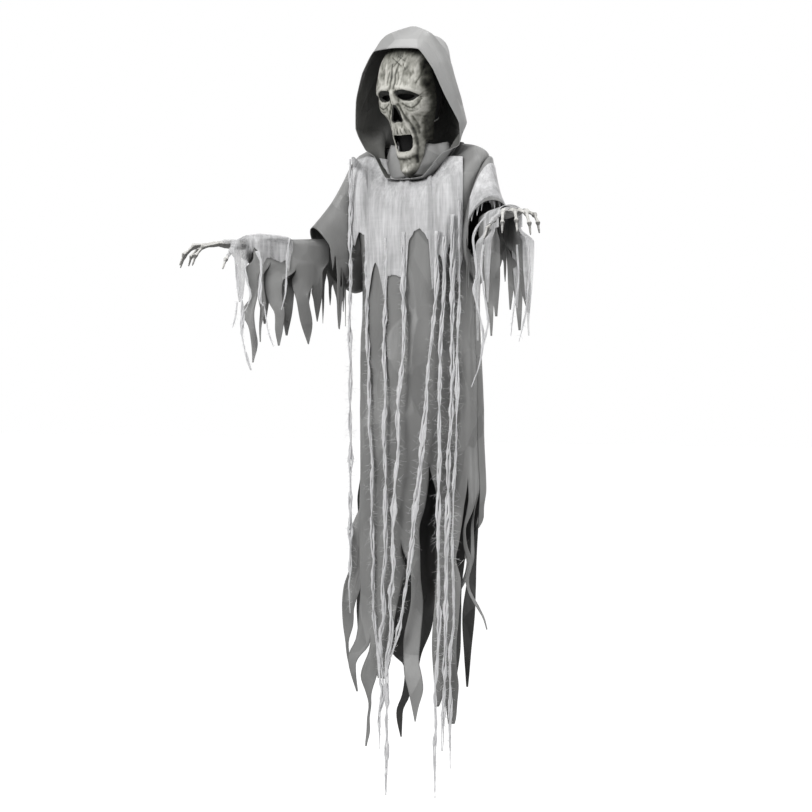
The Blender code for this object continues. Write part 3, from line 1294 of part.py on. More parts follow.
# Each rag: its columns at the slit line, where its first and last edge part from its neighbours (as a share of
# the length from the slits to the hem), and then, at such shares, where its two edges hang across the view.
# near moves it towards the view, so that rags which cross hang clear of each other.
FRONT_RAGS = [
    {"columns": (0, 3), "slits": (0.16, 0.44), "near": 0.004, "keys": [
        (0.38, -0.175, -0.140), (0.46, -0.188, -0.163), (0.54, -0.190, -0.161), (0.60, -0.188, -0.163),
        (0.66, -0.182, -0.174), (0.73, -0.176, -0.168), (0.80, -0.160, -0.156)]},
    {"columns": (3, 4), "slits": (0.44, 0.62), "near": -0.010, "keys": [
        (0.50, -0.146, -0.124), (0.64, -0.157, -0.128), (0.70, -0.174, -0.154), (0.76, -0.170, -0.156),
        (0.83, -0.156, -0.152)]},
    {"columns": (4, 5), "slits": (0.62, 0.74), "near": 0.000, "keys": [
        (0.64, -0.128, -0.108), (0.72, -0.138, -0.100), (0.77, -0.144, -0.120), (0.82, -0.134, -0.121),
        (0.87, -0.126, -0.119), (0.92, -0.130, -0.123), (0.97, -0.131, -0.122), (1.02, -0.133, -0.130)]},
    {"columns": (5, 7), "slits": (0.74, 0.30), "near": 0.000, "keys": [
        (0.36, -0.112, -0.029), (0.43, -0.112, -0.043), (0.51, -0.112, -0.055), (0.59, -0.112, -0.064),
        (0.70, -0.108, -0.071), (0.77, -0.096, -0.086)]},
    {"columns": (7, 9), "slits": (0.28, 0.0), "near": 0.003, "keys": [
        (0.06, -0.030, 0.018), (0.16, -0.026, 0.009), (0.23, -0.024, -0.004), (0.31, -0.022, -0.003),
        (0.41, -0.023, -0.001), (0.50, -0.024, 0.005), (0.62, -0.041, -0.001), (0.70, -0.042, -0.005),
        (0.75, -0.040, 0.002), (0.80, -0.031, 0.005), (0.86, -0.022, -0.006), (0.912, -0.015, -0.013)]},
    {"columns": (9, 10), "slits": (0.0, 0.78), "near": 0.000, "keys": [
        (0.06, 0.035, 0.052), (0.16, 0.038, 0.056), (0.25, 0.041, 0.056), (0.44, 0.034, 0.055), (0.63, 0.026, 0.053),
        (0.76, 0.030, 0.053), (0.81, 0.032, 0.044), (0.857, 0.034, 0.037)]},
    {"columns": (10, 12), "slits": (0.78, 0.05), "near": 0.000, "keys": [
        (0.10, 0.056, 0.102), (0.29, 0.056, 0.088), (0.34, 0.056, 0.081), (0.41, 0.056, 0.093), (0.49, 0.056, 0.091),
        (0.62, 0.055, 0.083), (0.72, 0.054, 0.085), (0.78, 0.054, 0.090), (0.84, 0.060, 0.086),
        (0.89, 0.061, 0.082), (0.916, 0.062, 0.078)]},
    {"columns": (12, 13), "slits": (0.05, 0.12), "near": -0.002, "keys": [
        (0.11, 0.112, 0.119), (0.17, 0.107, 0.112), (0.24, 0.099, 0.105), (0.30, 0.101, 0.110), (0.345, 0.108, 0.120),
        (0.39, 0.104, 0.116), (0.43, 0.094, 0.102), (0.46, 0.087, 0.090)]},
    {"columns": (13, 14), "slits": (0.12, 0.05), "near": 0.010, "keys": [
        (0.08, 0.124, 0.139), (0.14, 0.123, 0.130), (0.21, 0.118, 0.124), (0.29, 0.118, 0.126), (0.345, 0.116, 0.125),
        (0.40, 0.105, 0.114), (0.45, 0.109, 0.115), (0.51, 0.128, 0.135), (0.55, 0.145, 0.149),
        (0.592, 0.155, 0.157)]},
]
BACK_RAGS = [
    {"columns": (0, 2), "slits": (0.10, 0.20), "near": 0.0, "keys": [
        (0.20, 0.136, 0.100), (0.40, 0.130, 0.108), (0.55, 0.128, 0.098), (0.70, 0.118, 0.102), (0.80, 0.112, 0.108)]},
    {"columns": (2, 4), "slits": (0.20, 0.30), "near": -0.006, "keys": [
        (0.30, 0.104, 0.078), (0.50, 0.096, 0.066), (0.68, 0.098, 0.076), (0.82, 0.084, 0.070), (0.95, 0.076, 0.073)]},
    {"columns": (4, 6), "slits": (0.30, 0.22), "near": 0.004, "keys": [
        (0.30, 0.082, 0.050), (0.46, 0.074, 0.040), (0.60, 0.064, 0.042), (0.74, 0.060, 0.048), (0.84, 0.054, 0.051)]},
    {"columns": (6, 8), "slits": (0.22, 0.50), "near": -0.004, "keys": [
        (0.40, 0.040, -0.016), (0.55, 0.034, -0.020), (0.63, 0.026, -0.018), (0.71, 0.004, -0.014),
        (0.76, -0.004, -0.010)]},
    {"columns": (8, 10), "slits": (0.50, 0.36), "near": 0.006, "keys": [
        (0.55, -0.018, -0.066), (0.71, -0.020, -0.070), (0.755, -0.022, -0.042), (0.80, -0.028, -0.039),
        (0.87, -0.027, -0.046), (0.92, -0.042, -0.058), (0.96, -0.044, -0.058), (1.021, -0.046, -0.049)]},
    {"columns": (10, 12), "slits": (0.36, 0.14), "near": -0.006, "keys": [
        (0.36, -0.072, -0.112), (0.50, -0.078, -0.118), (0.62, -0.086, -0.112), (0.72, -0.094, -0.110),
        (0.80, -0.102, -0.106)]},
    {"columns": (12, 14), "slits": (0.14, 0.04), "near": 0.004, "keys": [
        (0.13, -0.130, -0.156), (0.24, -0.132, -0.152), (0.38, -0.136, -0.152), (0.50, -0.142, -0.156),
        (0.62, -0.150, -0.153)]},
]
PANEL_COLUMNS = 14
# Levels of the panels' rows, closer together where the shoulders round over
ROW_LEVEL_SHARES = [0, 0.05, 0.10, 0.16, 0.23, 0.30, 0.40, 0.56, 0.76, 1]
PANEL_ROWS = len(ROW_LEVEL_SHARES) - 1
RAG_ROWS = 6
# Half the gap between the front and back panels, as a turn about the figure's axis
SIDE_SEAM = 2 * GAP / ROBE_HALF_DEPTH
ARMHOLE_DROP = 0.438
ARMHOLE_HALF_HEIGHT = 0.130
ARMHOLE_HALF_DEPTH = 0.042


def row_level(v):
    """Robe level at v of a panel, whose rows stand at the listed levels."""
    if v >= 1:
        return v
    i = int(v * PANEL_ROWS + SEAM)
    if i >= PANEL_ROWS:
        return 1.0
    return mix(ROW_LEVEL_SHARES[i], ROW_LEVEL_SHARES[i + 1], v * PANEL_ROWS - i)


def make_robe():
    half_turn = math.pi / 2 - SIDE_SEAM
    panels = {"robe_front": (0, FRONT_RAGS), "robe_back": (math.pi, BACK_RAGS)}
    for name, (middle, rags) in panels.items():
        rows = [k / PANEL_ROWS for k in range(PANEL_ROWS + 1)]
        grid = hanging_grid(lambda u, v: robe_point(middle + mix(-half_turn, half_turn, u), row_level(v)),
                            PANEL_COLUMNS, rows, rags, RAG_ROWS)
        panel = apply_all(cloth_piece(name, [grid], GREY_CLOTH, CLOTH))
        for side in SIDES.values():
            x0, x1 = sorted((side * ROBE_HALF_WIDTH / 2, side * ROBE_HALF_WIDTH * 2))
            hole = rod("armhole_cutter", (x0, 0, 0), (x1, 0, 0), ARMHOLE_HALF_DEPTH, None, CUTTERS, 20)
            hole.scale.y = ARMHOLE_HALF_HEIGHT / ARMHOLE_HALF_DEPTH
            hole.location.z = -ARMHOLE_DROP
            boolean(panel, hole)


# Sleeves: the upper ones hang from the armholes and open at the elbows, the lower ones lie over the forearms

SLEEVE_TURN = math.radians(31)
SLEEVE_TOP_LEVEL = 0.285
SLEEVE_FOOT_LEVEL = 0.70
SLEEVE_OUT = 0.0064
SLEEVE_END_DROP = 0.025
SLEEVE_END_HALF_HEIGHT = 0.0685
SLEEVE_END_LEAN = 0.041
SLEEVE_END_HALF_WIDTH = 0.052
SLEEVE_SAG = 0.012
SLEEVE_RAG = 0.15
SLEEVE_COLUMNS = 16
SLEEVE_ROWS = 4


def side_way(side):
    """Level direction across an arm, toward the figure's front and middle."""
    reach, _ = arm_way(side)
    return Vector((side * reach.y, -side * reach.x, 0))


def upper_sleeve_point(side_name, angle, v):
    """A point of an upper sleeve at an angle from its ridge, v from 0 at the armhole to 1 at its open end."""
    side = SIDES[side_name]
    reach, _ = arm_way(side)
    level = mix(SLEEVE_TOP_LEVEL, SLEEVE_FOOT_LEVEL, (1 - math.cos(angle)) / 2)
    turn = side * (math.pi / 2 - SLEEVE_TURN * math.sin(angle))
    root = raised(robe_point, turn, level, SLEEVE_OUT)
    end_centre = elbow(side_name) + DOWN * SLEEVE_END_DROP
    ridge = reach * SLEEVE_END_LEAN + UP * SLEEVE_END_HALF_HEIGHT
    spread = side_way(side) * SLEEVE_END_HALF_WIDTH
    end = end_centre + ridge * math.cos(angle) + spread * math.sin(angle)
    place = mix(root, end, min(v, 1.0)) + DOWN * SLEEVE_SAG * math.sin(math.pi * min(v, 1.0))
    if v > 1:
        place += DOWN * SLEEVE_RAG * (v - 1)
    return place


UPPER_SLEEVE_RAGS = [
    {"columns": (0, 2), "left": 0.0, "right": 0.15, "tip": 0.75, "tip_share": 0.15, "drift": 0.2},
    {"columns": (2, 4), "left": 0.15, "right": 0.0, "tip": 1.0, "tip_share": 0.12, "drift": 0.1},
    {"columns": (12, 14), "left": 0.0, "right": 0.15, "tip": 1.1, "tip_share": 0.12, "drift": -0.1},
    {"columns": (14, 16), "left": 0.15, "right": 0.0, "tip": 0.7, "tip_share": 0.15, "drift": -0.2},
]


def make_upper_sleeve(side_name):
    grid = ragged_grid(lambda u, v: upper_sleeve_point(side_name, math.pi + math.tau * u, v), SLEEVE_COLUMNS,
                       SLEEVE_ROWS, UPPER_SLEEVE_RAGS, 3)
    cloth_piece("sleeve_upper_" + side_name, [grid], GREY_CLOTH, CLOTH)


# Along the forearm from the elbow: reach, half width, and height of the cloth's ridge above the arm's axis
SLEEVE_RISE = FOREARM_RADIUS + GAP + CLOTH / 2
CUFF_RISE = SLEEVE_RISE + CLOTH / 2 + GAP + GAUZE / 2
LOWER_SLEEVE_KEYS = [
    (0.030, 0.024, SLEEVE_RISE),
    (0.115, 0.024, SLEEVE_RISE),
    (0.200, 0.024, SLEEVE_RISE),
]
CUFF_KEYS = [
    (0.075, 0.0270, CUFF_RISE + GAP),
    (0.1375, 0.0270, CUFF_RISE + GAP),
    (0.200, 0.0270, CUFF_RISE + GAP),
    (0.236, 0.0310, CUFF_RISE + GAP),
]
DRAPE_DROP = 0.032
LOWER_SLEEVE_RAG = 0.25
CUFF_RAG = 0.25
RIDGE_TURN = math.radians(90)


def draped_point(side_name, keys, way, u, v, rag):
    """A point of cloth that lies over a forearm, way 1 or -1 for its two sides, u along the arm, v down the side."""
    side = SIDES[side_name]
    reach, _ = arm_way(side)
    t = u * (len(keys) - 1)
    distance, half_width, rise = [along([key[c] for key in keys], t) for c in range(3)]
    angle = RIDGE_TURN * min(v / 0.6, 1.0)
    across = way * half_width * math.sin(angle)
    height = rise * math.cos(angle) if v <= 0.6 else 0.0
    if v > 0.6:
        height -= DRAPE_DROP * (min(v, 1.0) - 0.6) / 0.4
    if v > 1:
        height -= rag * (v - 1)
    return elbow(side_name) + reach * distance + side_way(side) * across + UP * height


LOWER_SLEEVE_RAGS = {1: [
    {"columns": (0, 2), "left": 0.0, "right": 0.10, "tip": 0.35, "tip_share": 0.15, "drift": 0.0},
    {"columns": (2, 5), "left": 0.10, "right": 0.20, "tip": 0.85, "tip_share": 0.12, "drift": 0.0},
    {"columns": (5, 7), "left": 0.20, "right": 0.05, "tip": 0.70, "tip_share": 0.12, "drift": 0.2},
    {"columns": (7, 9), "left": 0.05, "right": 0.0, "tip": 0.96, "tip_share": 0.16, "drift": -0.2},
], -1: [
    {"columns": (0, 3), "left": 0.0, "right": 0.15, "tip": 0.30, "tip_share": 0.15, "drift": 0.0},
    {"columns": (3, 6), "left": 0.15, "right": 0.10, "tip": 0.72, "tip_share": 0.12, "drift": 0.2},
    {"columns": (6, 9), "left": 0.10, "right": 0.0, "tip": 0.55, "tip_share": 0.12, "drift": -0.2},
]}
CUFF_RAGS = {1: [
    {"columns": (0, 1), "left": 0.0, "right": 0.0, "tip": 0.45, "tip_share": 0.5, "drift": 0.0},
    {"columns": (3, 4), "left": 0.0, "right": 0.0, "tip": 0.45, "tip_share": 0.5, "drift": 0.0},
    {"columns": (6, 8), "left": 0.0, "right": 0.0, "tip": 1.0, "tip_share": 0.35, "drift": 0.0},
], -1: [
    {"columns": (1, 2), "left": 0.0, "right": 0.0, "tip": 0.60, "tip_share": 0.5, "drift": 0.0},
    {"columns": (5, 6), "left": 0.0, "right": 0.0, "tip": 0.40, "tip_share": 0.5, "drift": 0.0},
]}
DRAPE_COLUMNS = 9
DRAPE_ROWS = 4
DRAPE_RAG_ROWS = 3


def make_draped(name, side_name, keys, rags, rag_length, material, thickness):
    grids = [
        ragged_grid(lambda u, v: draped_point(side_name, keys, way, u, v, rag_length), DRAPE_COLUMNS, DRAPE_ROWS,
                    rags[way], DRAPE_RAG_ROWS)
        for way in (1, -1)
    ]
    cloth_piece(name + "_" + side_name, grids, material, thickness)


# Gauze over the chest and over the left shoulder

GAUZE_OUT = 0.0026
STRAND_OUT = 0.0110
STRAND_FREE_OUT = 0.020
BIB_TURN = math.radians(56.25)
BIB_TOP_ROW = 2
BIB_FOOT_ROW = 7
BIB_COLUMNS = 20
STRAND_LENGTH = 1.295
STRAND_ROWS = 9
# Strands: the bib's column each starts at, how far it hangs before the others, its half width, and then, as
# shares of STRAND_LENGTH below the bib, where it shows across the view.
STRANDS = [
    {"column": 0, "near": 0.000, "half": 0.005, "path": [(0.068, -0.170), (0.178, -0.171),
         (0.428, -0.170), (0.677, -0.172)]},
    {"column": 2, "near": 0.000, "half": 0.005, "path": [(0.077, -0.130), (0.178, -0.128),
         (0.282, -0.124), (0.400, -0.119), (0.524, -0.117), (0.649, -0.114), (0.714, -0.108),
         (0.778, -0.098), (0.824, -0.091), (0.856, -0.099), (0.922, -0.099)]},
    {"column": 5, "near": 0.006, "half": 0.005, "path": [(0.077, -0.084), (0.178, -0.088),
         (0.254, -0.084), (0.354, -0.087), (0.559, -0.084), (0.618, -0.093), (0.667, -0.088),
         (0.714, -0.096), (0.786, -0.088)]},
    {"column": 7, "near": 0.012, "half": 0.006, "path": [(0.077, -0.042), (0.178, -0.041),
         (0.241, -0.048), (0.308, -0.056), (0.376, -0.056), (0.459, -0.063), (0.524, -0.069),
         (0.586, -0.065), (0.649, -0.073), (0.701, -0.069), (0.763, -0.081), (0.839, -0.081),
         (1.003, -0.084)]},
    {"column": 12, "near": 0.018, "half": 0.006, "path": [(0.077, 0.036), (0.132, 0.029), (0.213, 0.017),
         (0.282, 0.012), (0.350, 0.004), (0.431, -0.007), (0.485, -0.017), (0.548, -0.022),
         (0.649, -0.042), (0.714, -0.058), (0.763, -0.079)]},
    {"column": 14, "near": 0.000, "half": 0.005, "path": [(0.077, 0.054), (0.178, 0.045), (0.322, 0.042),
         (0.446, 0.041), (0.524, 0.040), (0.680, 0.042), (0.745, 0.038), (0.808, 0.033), (1.003, 0.032)]},
    {"column": 16, "near": 0.002, "half": 0.006, "path": [(0.077, 0.074), (0.178, 0.074), (0.295, 0.072),
         (0.363, 0.065), (0.431, 0.065), (0.559, 0.060), (0.714, 0.057), (0.917, 0.050)]},
    {"column": 18, "near": 0.010, "half": 0.004, "path": [(0.077, 0.090), (0.178, 0.086), (0.295, 0.084),
         (0.376, 0.081), (0.444, 0.076), (0.559, 0.074), (0.680, 0.076), (0.739, 0.069), (0.948, 0.069)]},
]
SHOULDER_COLUMNS = 8
SHOULDER_FROM = math.radians(-45)
SHOULDER_TO = math.radians(67.5)
SHOULDER_SHARES = (0.125, 0.875)
SHOULDER_OUT = 0.0027


def robe_level(z):
    """The robe's level at a height below its shoulders."""
    if z > -SLIT_DROP:
        drops = [(row[0], k / (len(ROBE_RINGS) - 1)) for k, row in enumerate(ROBE_RINGS)]
        return looked_up(drops, (-z - NECK_DROP) / (SLIT_DROP - NECK_DROP))
    return 1 + (-z - SLIT_DROP) / (HEM_DROP - SLIT_DROP)


def front_depth(across, z):
    """How near the view the robe's surface is, at a place across it."""
    turns = [VIEW_TURN + math.radians(angle) for angle in range(-84, 85, 6)]
    places = [robe_point(turn, robe_level(z)) for turn in turns]
    return looked_up(sorted((place.dot(ACROSS_VIEW), place.dot(TO_VIEW)) for place in places), across)


def bib_point(u, v):
    rows = mix(BIB_TOP_ROW, BIB_FOOT_ROW, min(v, 1.0))
    turn = mix(-BIB_TURN, BIB_TURN, u)
    foot = raised(robe_point, turn, row_level(rows / PANEL_ROWS), GAUZE_OUT)
    if v <= 1:
        return foot
    low = foot.z - (v - 1) * STRAND_LENGTH
    place = raised(robe_point, turn, robe_level(low), STRAND_OUT)
    return Vector((place.x, place.y, low))


def strand_out(w):
    return mix(STRAND_OUT, STRAND_FREE_OUT, smoothstep(w * 2))


def shoulder_gauze_point(u, v):
    angle = mix(SHOULDER_FROM, SHOULDER_TO, u)
    return raised(lambda a, b: upper_sleeve_point("left", a, b), angle, mix(*SHOULDER_SHARES, v), -SHOULDER_OUT)


def make_gauze():
    rows = [k / (BIB_FOOT_ROW - BIB_TOP_ROW) for k in range(BIB_FOOT_ROW - BIB_TOP_ROW + 1)]
    strands = [{"columns": (strand["column"], strand["column"] + 1), "slits": (0.0, 0.0), "near": strand["near"],
                "before": strand_out, "keys": [(w, across - strand["half"], across + strand["half"])
                                               for w, across in strand["path"]]} for strand in STRANDS]
    bib = hanging_grid(bib_point, BIB_COLUMNS, rows, strands, STRAND_ROWS)
    cloth_piece("gauze_bib", [bib], WHITE_GAUZE, GAUZE)
    shoulder_grid = ragged_grid(shoulder_gauze_point, SHOULDER_COLUMNS, 4, [], 0)
    cloth_piece("gauze_shoulder", [shoulder_grid], WHITE_GAUZE, GAUZE)


# Hood: closed rings round the face opening. Each lists half its points, from the top to the throat.

HOOD_RINGS = [
    [(0, -0.125, -0.034), (0.060, -0.121, -0.040), (0.093, -0.114, -0.088), (0.118, -0.100, -0.155),
     (0.138, -0.070, -0.222), (0.126, -0.045, -0.272), (0.090, -0.066, -0.292), (0.050, -0.085, -0.3460),
     (0, -0.0880, -0.3505)],
    [(0, -0.055, 0.014), (0.056, -0.065, -0.006), (0.098, -0.062, -0.075), (0.121, -0.052, -0.150),
     (0.132, -0.035, -0.218), (0.120, -0.032, -0.265), (0.088, -0.052, -0.300), (0.048, -0.0700, -0.3465),
     (0, -0.0730, -0.3515)],
    [(0, 0.040, 0.0125), (0.045, 0.020, -0.022), (0.083, 0.003, -0.085), (0.108, 0, -0.155),
     (0.122, 0.000, -0.215), (0.110, -0.022, -0.261), (0.086, -0.042, -0.306), (0.048, -0.0610, -0.3465),
     (0, -0.0640, -0.3518)],
    [(0, 0.142, -0.027), (0.030, 0.098, -0.055), (0.062, 0.050, -0.105), (0.090, 0.035, -0.165),
     (0.106, 0.014, -0.221), (0.098, -0.018, -0.261), (0.080, -0.036, -0.310), (0.046, -0.0555, -0.3460),
     (0, -0.0602, -0.3520)],
]
HOOD_SPLIT = 14
HOOD_ROWS = 8
HOOD_SLIT_HALF_WIDTH = 0.004
HOOD_SLIT_HALF_LENGTH = 0.0125
HOOD_LIFT = 0.0037


def hood_point(u, v):
    """A point of the hood: u from 0 round the face opening from the crown, v from 0 at the rim to 1 at the neck."""
    half = 1 - abs(1 - 2 * (u % 1.0))
    side = 1 if u % 1.0 <= 0.5 else -1
    neck = robe_point(math.pi * (1 - half), 0) + UP * HOOD_LIFT
    rings = []
    for ring in HOOD_RINGS:
        keys = [Vector(key) for key in ring]
        mirrored = [Vector((-key.x, key.y, key.z)) for key in reversed(keys[1:3])]
        below = [Vector((-key.x, key.y, key.z)) for key in reversed(keys[-3:-1])]
        rings.append(along(mirrored + keys + below, half * (len(keys) - 1) + len(mirrored)))
    neck.x = abs(neck.x)
    rings.append(neck)
    place = along(rings, v * (len(rings) - 1))
    place.x = max(place.x, 0.0) if 0 < half < 1 else 0.0
    return Vector((side * place.x, place.y, place.z))


def make_hood():
    columns = 2 * HOOD_SPLIT
    points = [hood_point(j / columns, i / HOOD_ROWS) for i in range(HOOD_ROWS + 1) for j in range(columns)]
    faces = grid_faces(HOOD_ROWS + 1, columns, True)
    hood = apply_all(cloth_piece("hood", [(points, faces)], GREY_CLOTH, CLOTH))
    boolean(hood, box("hood_slit_cutter", (-HOOD_SLIT_HALF_WIDTH, -HOOD_SLIT_HALF_LENGTH, -CROWN_RISE),
                      (HOOD_SLIT_HALF_WIDTH, HOOD_SLIT_HALF_LENGTH, 2 * CROWN_RISE), None, CUTTERS))
    hood.data.shade_smooth()


def put_origin(name, place):
    """Moves a piece's origin to a place, such as its joint's axis, and leaves its shape where it is."""
    obj = apply_all(bpy.data.objects[name])
    bpy.context.view_layer.update()
    local = obj.matrix_world.inverted() @ Vector(place)
    obj.data.transform(Matrix.Translation(-local))
    obj.matrix_world = obj.matrix_world @ Matrix.Translation(local)


def put_origins():
    """Origins of what moves: the head's on the rod, the pinion's on its shaft and the forearms' on their bolts."""
    for name in ("face_mask", "face_screen", "head_back", "neck_tube", "neck_gear", "eye_led_left", "eye_led_right"):
        put_origin(name, (0, 0, -GEAR_MIDDLE_DROP))
    put_origin("motor_pinion", (GEAR_CENTRES, 0, -GEAR_MIDDLE_DROP))
    for side_name in SIDES:
        for name in ("forearm_tube_", "hand_", "sleeve_lower_", "gauze_cuff_"):
            put_origin(name + side_name, elbow(side_name))


def make_all():
    make_hanger()
    make_face_mask()
    make_face_screen()
    make_head_back()
    make_neck()
    for side_name, side in SIDES.items():
        make_eye_led(side_name, side)
    make_gears()
    make_mechanism_plate()
    make_motor()
    make_front_shell()
    make_back_shell()
    make_battery_door()
    make_cells()
    make_switch_and_button()
    make_speaker_and_board()
    make_screws()
    make_yoke()
    for side_name in SIDES:
        fork_pieces(side_name)
        elbow_bolt(side_name)
        forearm(side_name)
        make_hand(side_name)
        make_upper_sleeve(side_name)
        make_draped("sleeve_lower", side_name, LOWER_SLEEVE_KEYS, LOWER_SLEEVE_RAGS, LOWER_SLEEVE_RAG, GREY_CLOTH,
                    CLOTH)
        make_draped("gauze_cuff", side_name, CUFF_KEYS, CUFF_RAGS, CUFF_RAG, WHITE_GAUZE, GAUZE)
    make_robe()
    make_gauze()
    make_hood()
    put_origins()


make_all()
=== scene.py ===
"""Looks of the hanging ghost figure: cloth, gauze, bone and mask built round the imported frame."""
import json
import math
import random

import bmesh
import bpy
from mathutils import Matrix, Vector, noise
from mathutils.bvhtree import BVHTree


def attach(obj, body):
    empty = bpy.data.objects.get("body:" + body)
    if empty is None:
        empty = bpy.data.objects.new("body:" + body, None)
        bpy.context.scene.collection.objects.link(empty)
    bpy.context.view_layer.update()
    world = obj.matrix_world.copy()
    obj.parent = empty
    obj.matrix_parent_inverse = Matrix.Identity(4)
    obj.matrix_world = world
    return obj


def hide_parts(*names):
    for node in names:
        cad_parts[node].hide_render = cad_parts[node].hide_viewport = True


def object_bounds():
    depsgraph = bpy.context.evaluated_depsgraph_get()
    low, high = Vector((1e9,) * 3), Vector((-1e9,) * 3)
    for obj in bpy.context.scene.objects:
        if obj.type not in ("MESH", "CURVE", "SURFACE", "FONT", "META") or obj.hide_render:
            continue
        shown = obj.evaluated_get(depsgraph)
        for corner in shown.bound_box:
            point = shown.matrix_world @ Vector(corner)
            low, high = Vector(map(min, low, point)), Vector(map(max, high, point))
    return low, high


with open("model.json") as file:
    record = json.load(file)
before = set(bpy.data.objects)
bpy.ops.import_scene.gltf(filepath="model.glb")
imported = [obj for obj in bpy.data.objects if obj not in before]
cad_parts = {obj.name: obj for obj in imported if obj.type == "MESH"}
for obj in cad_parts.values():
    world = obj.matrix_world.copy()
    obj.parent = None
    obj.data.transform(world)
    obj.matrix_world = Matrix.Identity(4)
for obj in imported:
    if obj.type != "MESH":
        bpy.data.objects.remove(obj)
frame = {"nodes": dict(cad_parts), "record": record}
CAD_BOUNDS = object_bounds()

MM = 0.001
UP = Vector((0, 0, 1))
DOWN = -UP
SIDES = {"right": -1, "left": 1}
CHANCE = random.Random(7)

# Photograph: scale at the hanger's axis, and the pixel where the hanging eye stands
PIXEL = 2.39 * MM
EYE_PIXEL = (421, 33)
FRAME_PIXELS = 812
VIEW_TURN = math.radians(28.5)
VIEW_RISE = math.radians(1.0)
VIEW_DISTANCE = 5.0
SENSOR = 36.0


# Helpers

def mix(a, b, share):
    return a + (b - a) * share


def clamp(value, low=0.0, high=1.0):
    return min(max(value, low), high)


def smoothstep(t):
    t = clamp(t)
    return t * t * (3 - 2 * t)


def catmull(a, b, c, d, t):
    return 0.5 * (2 * b + (c - a) * t + (2 * a - 5 * b + 4 * c - d) * t * t + (3 * b - a - 3 * c + d) * t ** 3)


def along(keys, t):
    """Point at t keys along a smooth curve through a list of numbers or vectors."""
    last = len(keys) - 1
    t = clamp(t, 0, last)
    i = min(int(t), last - 1)
    before = keys[i - 1] if i > 0 else 2 * keys[0] - keys[1]
    after = keys[i + 2] if i + 2 <= last else 2 * keys[last] - keys[last - 1]
    return catmull(before, keys[i], keys[i + 1], after, t - i)


def looked_up(table, x):
    """Value at x of a table of (x, value) pairs, straight between them."""
    if x <= table[0][0]:
        return table[0][1]
    for (x0, y0), (x1, y1) in zip(table, table[1:]):
        if x <= x1:
            return mix(y0, y1, (x - x0) / max(x1 - x0, 1e-9))
    return table[-1][1]


def mesh_object(name, points, faces, material, smooth=True):
    mesh = bpy.data.meshes.new(name)
    mesh.from_pydata([tuple(p) for p in points], [], faces)
    mesh.update()
    mesh.materials.append(material)
    if smooth:
        mesh.shade_smooth()
    piece = bpy.data.objects.new(name, mesh)
    bpy.context.scene.collection.objects.link(piece)
    return piece


def grid_faces(rows, columns, closed=False, start=0):
    faces = []
    for i in range(rows - 1):
        for j in range(columns if closed else columns - 1):
            k = (j + 1) % columns
            faces.append((start + i * columns + j, start + (i + 1) * columns + j, start + (i + 1) * columns + k,
                          start + i * columns + k))
    return faces


def settle(piece):
    """Applies every modifier of a piece."""
    depsgraph = bpy.context.evaluated_depsgraph_get()
    mesh = bpy.data.meshes.new_from_object(piece.evaluated_get(depsgraph))
    piece.modifiers.clear()
    piece.data = mesh
    return piece


def weld(piece, distance=0.02 * MM):
    bm = bmesh.new()
    bm.from_mesh(piece.data)
    bmesh.ops.remove_doubles(bm, verts=bm.verts, dist=distance)
    bmesh.ops.recalc_face_normals(bm, faces=bm.faces)
    bm.to_mesh(piece.data)
    bm.free()
    return piece


def face_out(piece, centre):
    """Turns a sheet's faces away from the middle of what it covers."""
    bm = bmesh.new()
    bm.from_mesh(piece.data)
    if sum(face.normal.dot(face.calc_center_median() - centre(face.calc_center_median())) for face in bm.faces) < 0:
        bmesh.ops.reverse_faces(bm, faces=bm.faces)
    bm.to_mesh(piece.data)
    bm.free()


def thicken(piece, thickness, shaded_inside=None):
    solid = piece.modifiers.new("cloth thickness", "SOLIDIFY")
    # The inside faces take a darker copy of the cloth: painted shade inside it.
    if shaded_inside:
        piece.data.materials.append(shaded_inside)
        solid.material_offset = 1
    solid.thickness = thickness
    solid.offset = 0
    solid.use_even_offset = False
    return settle(piece)


# Materials

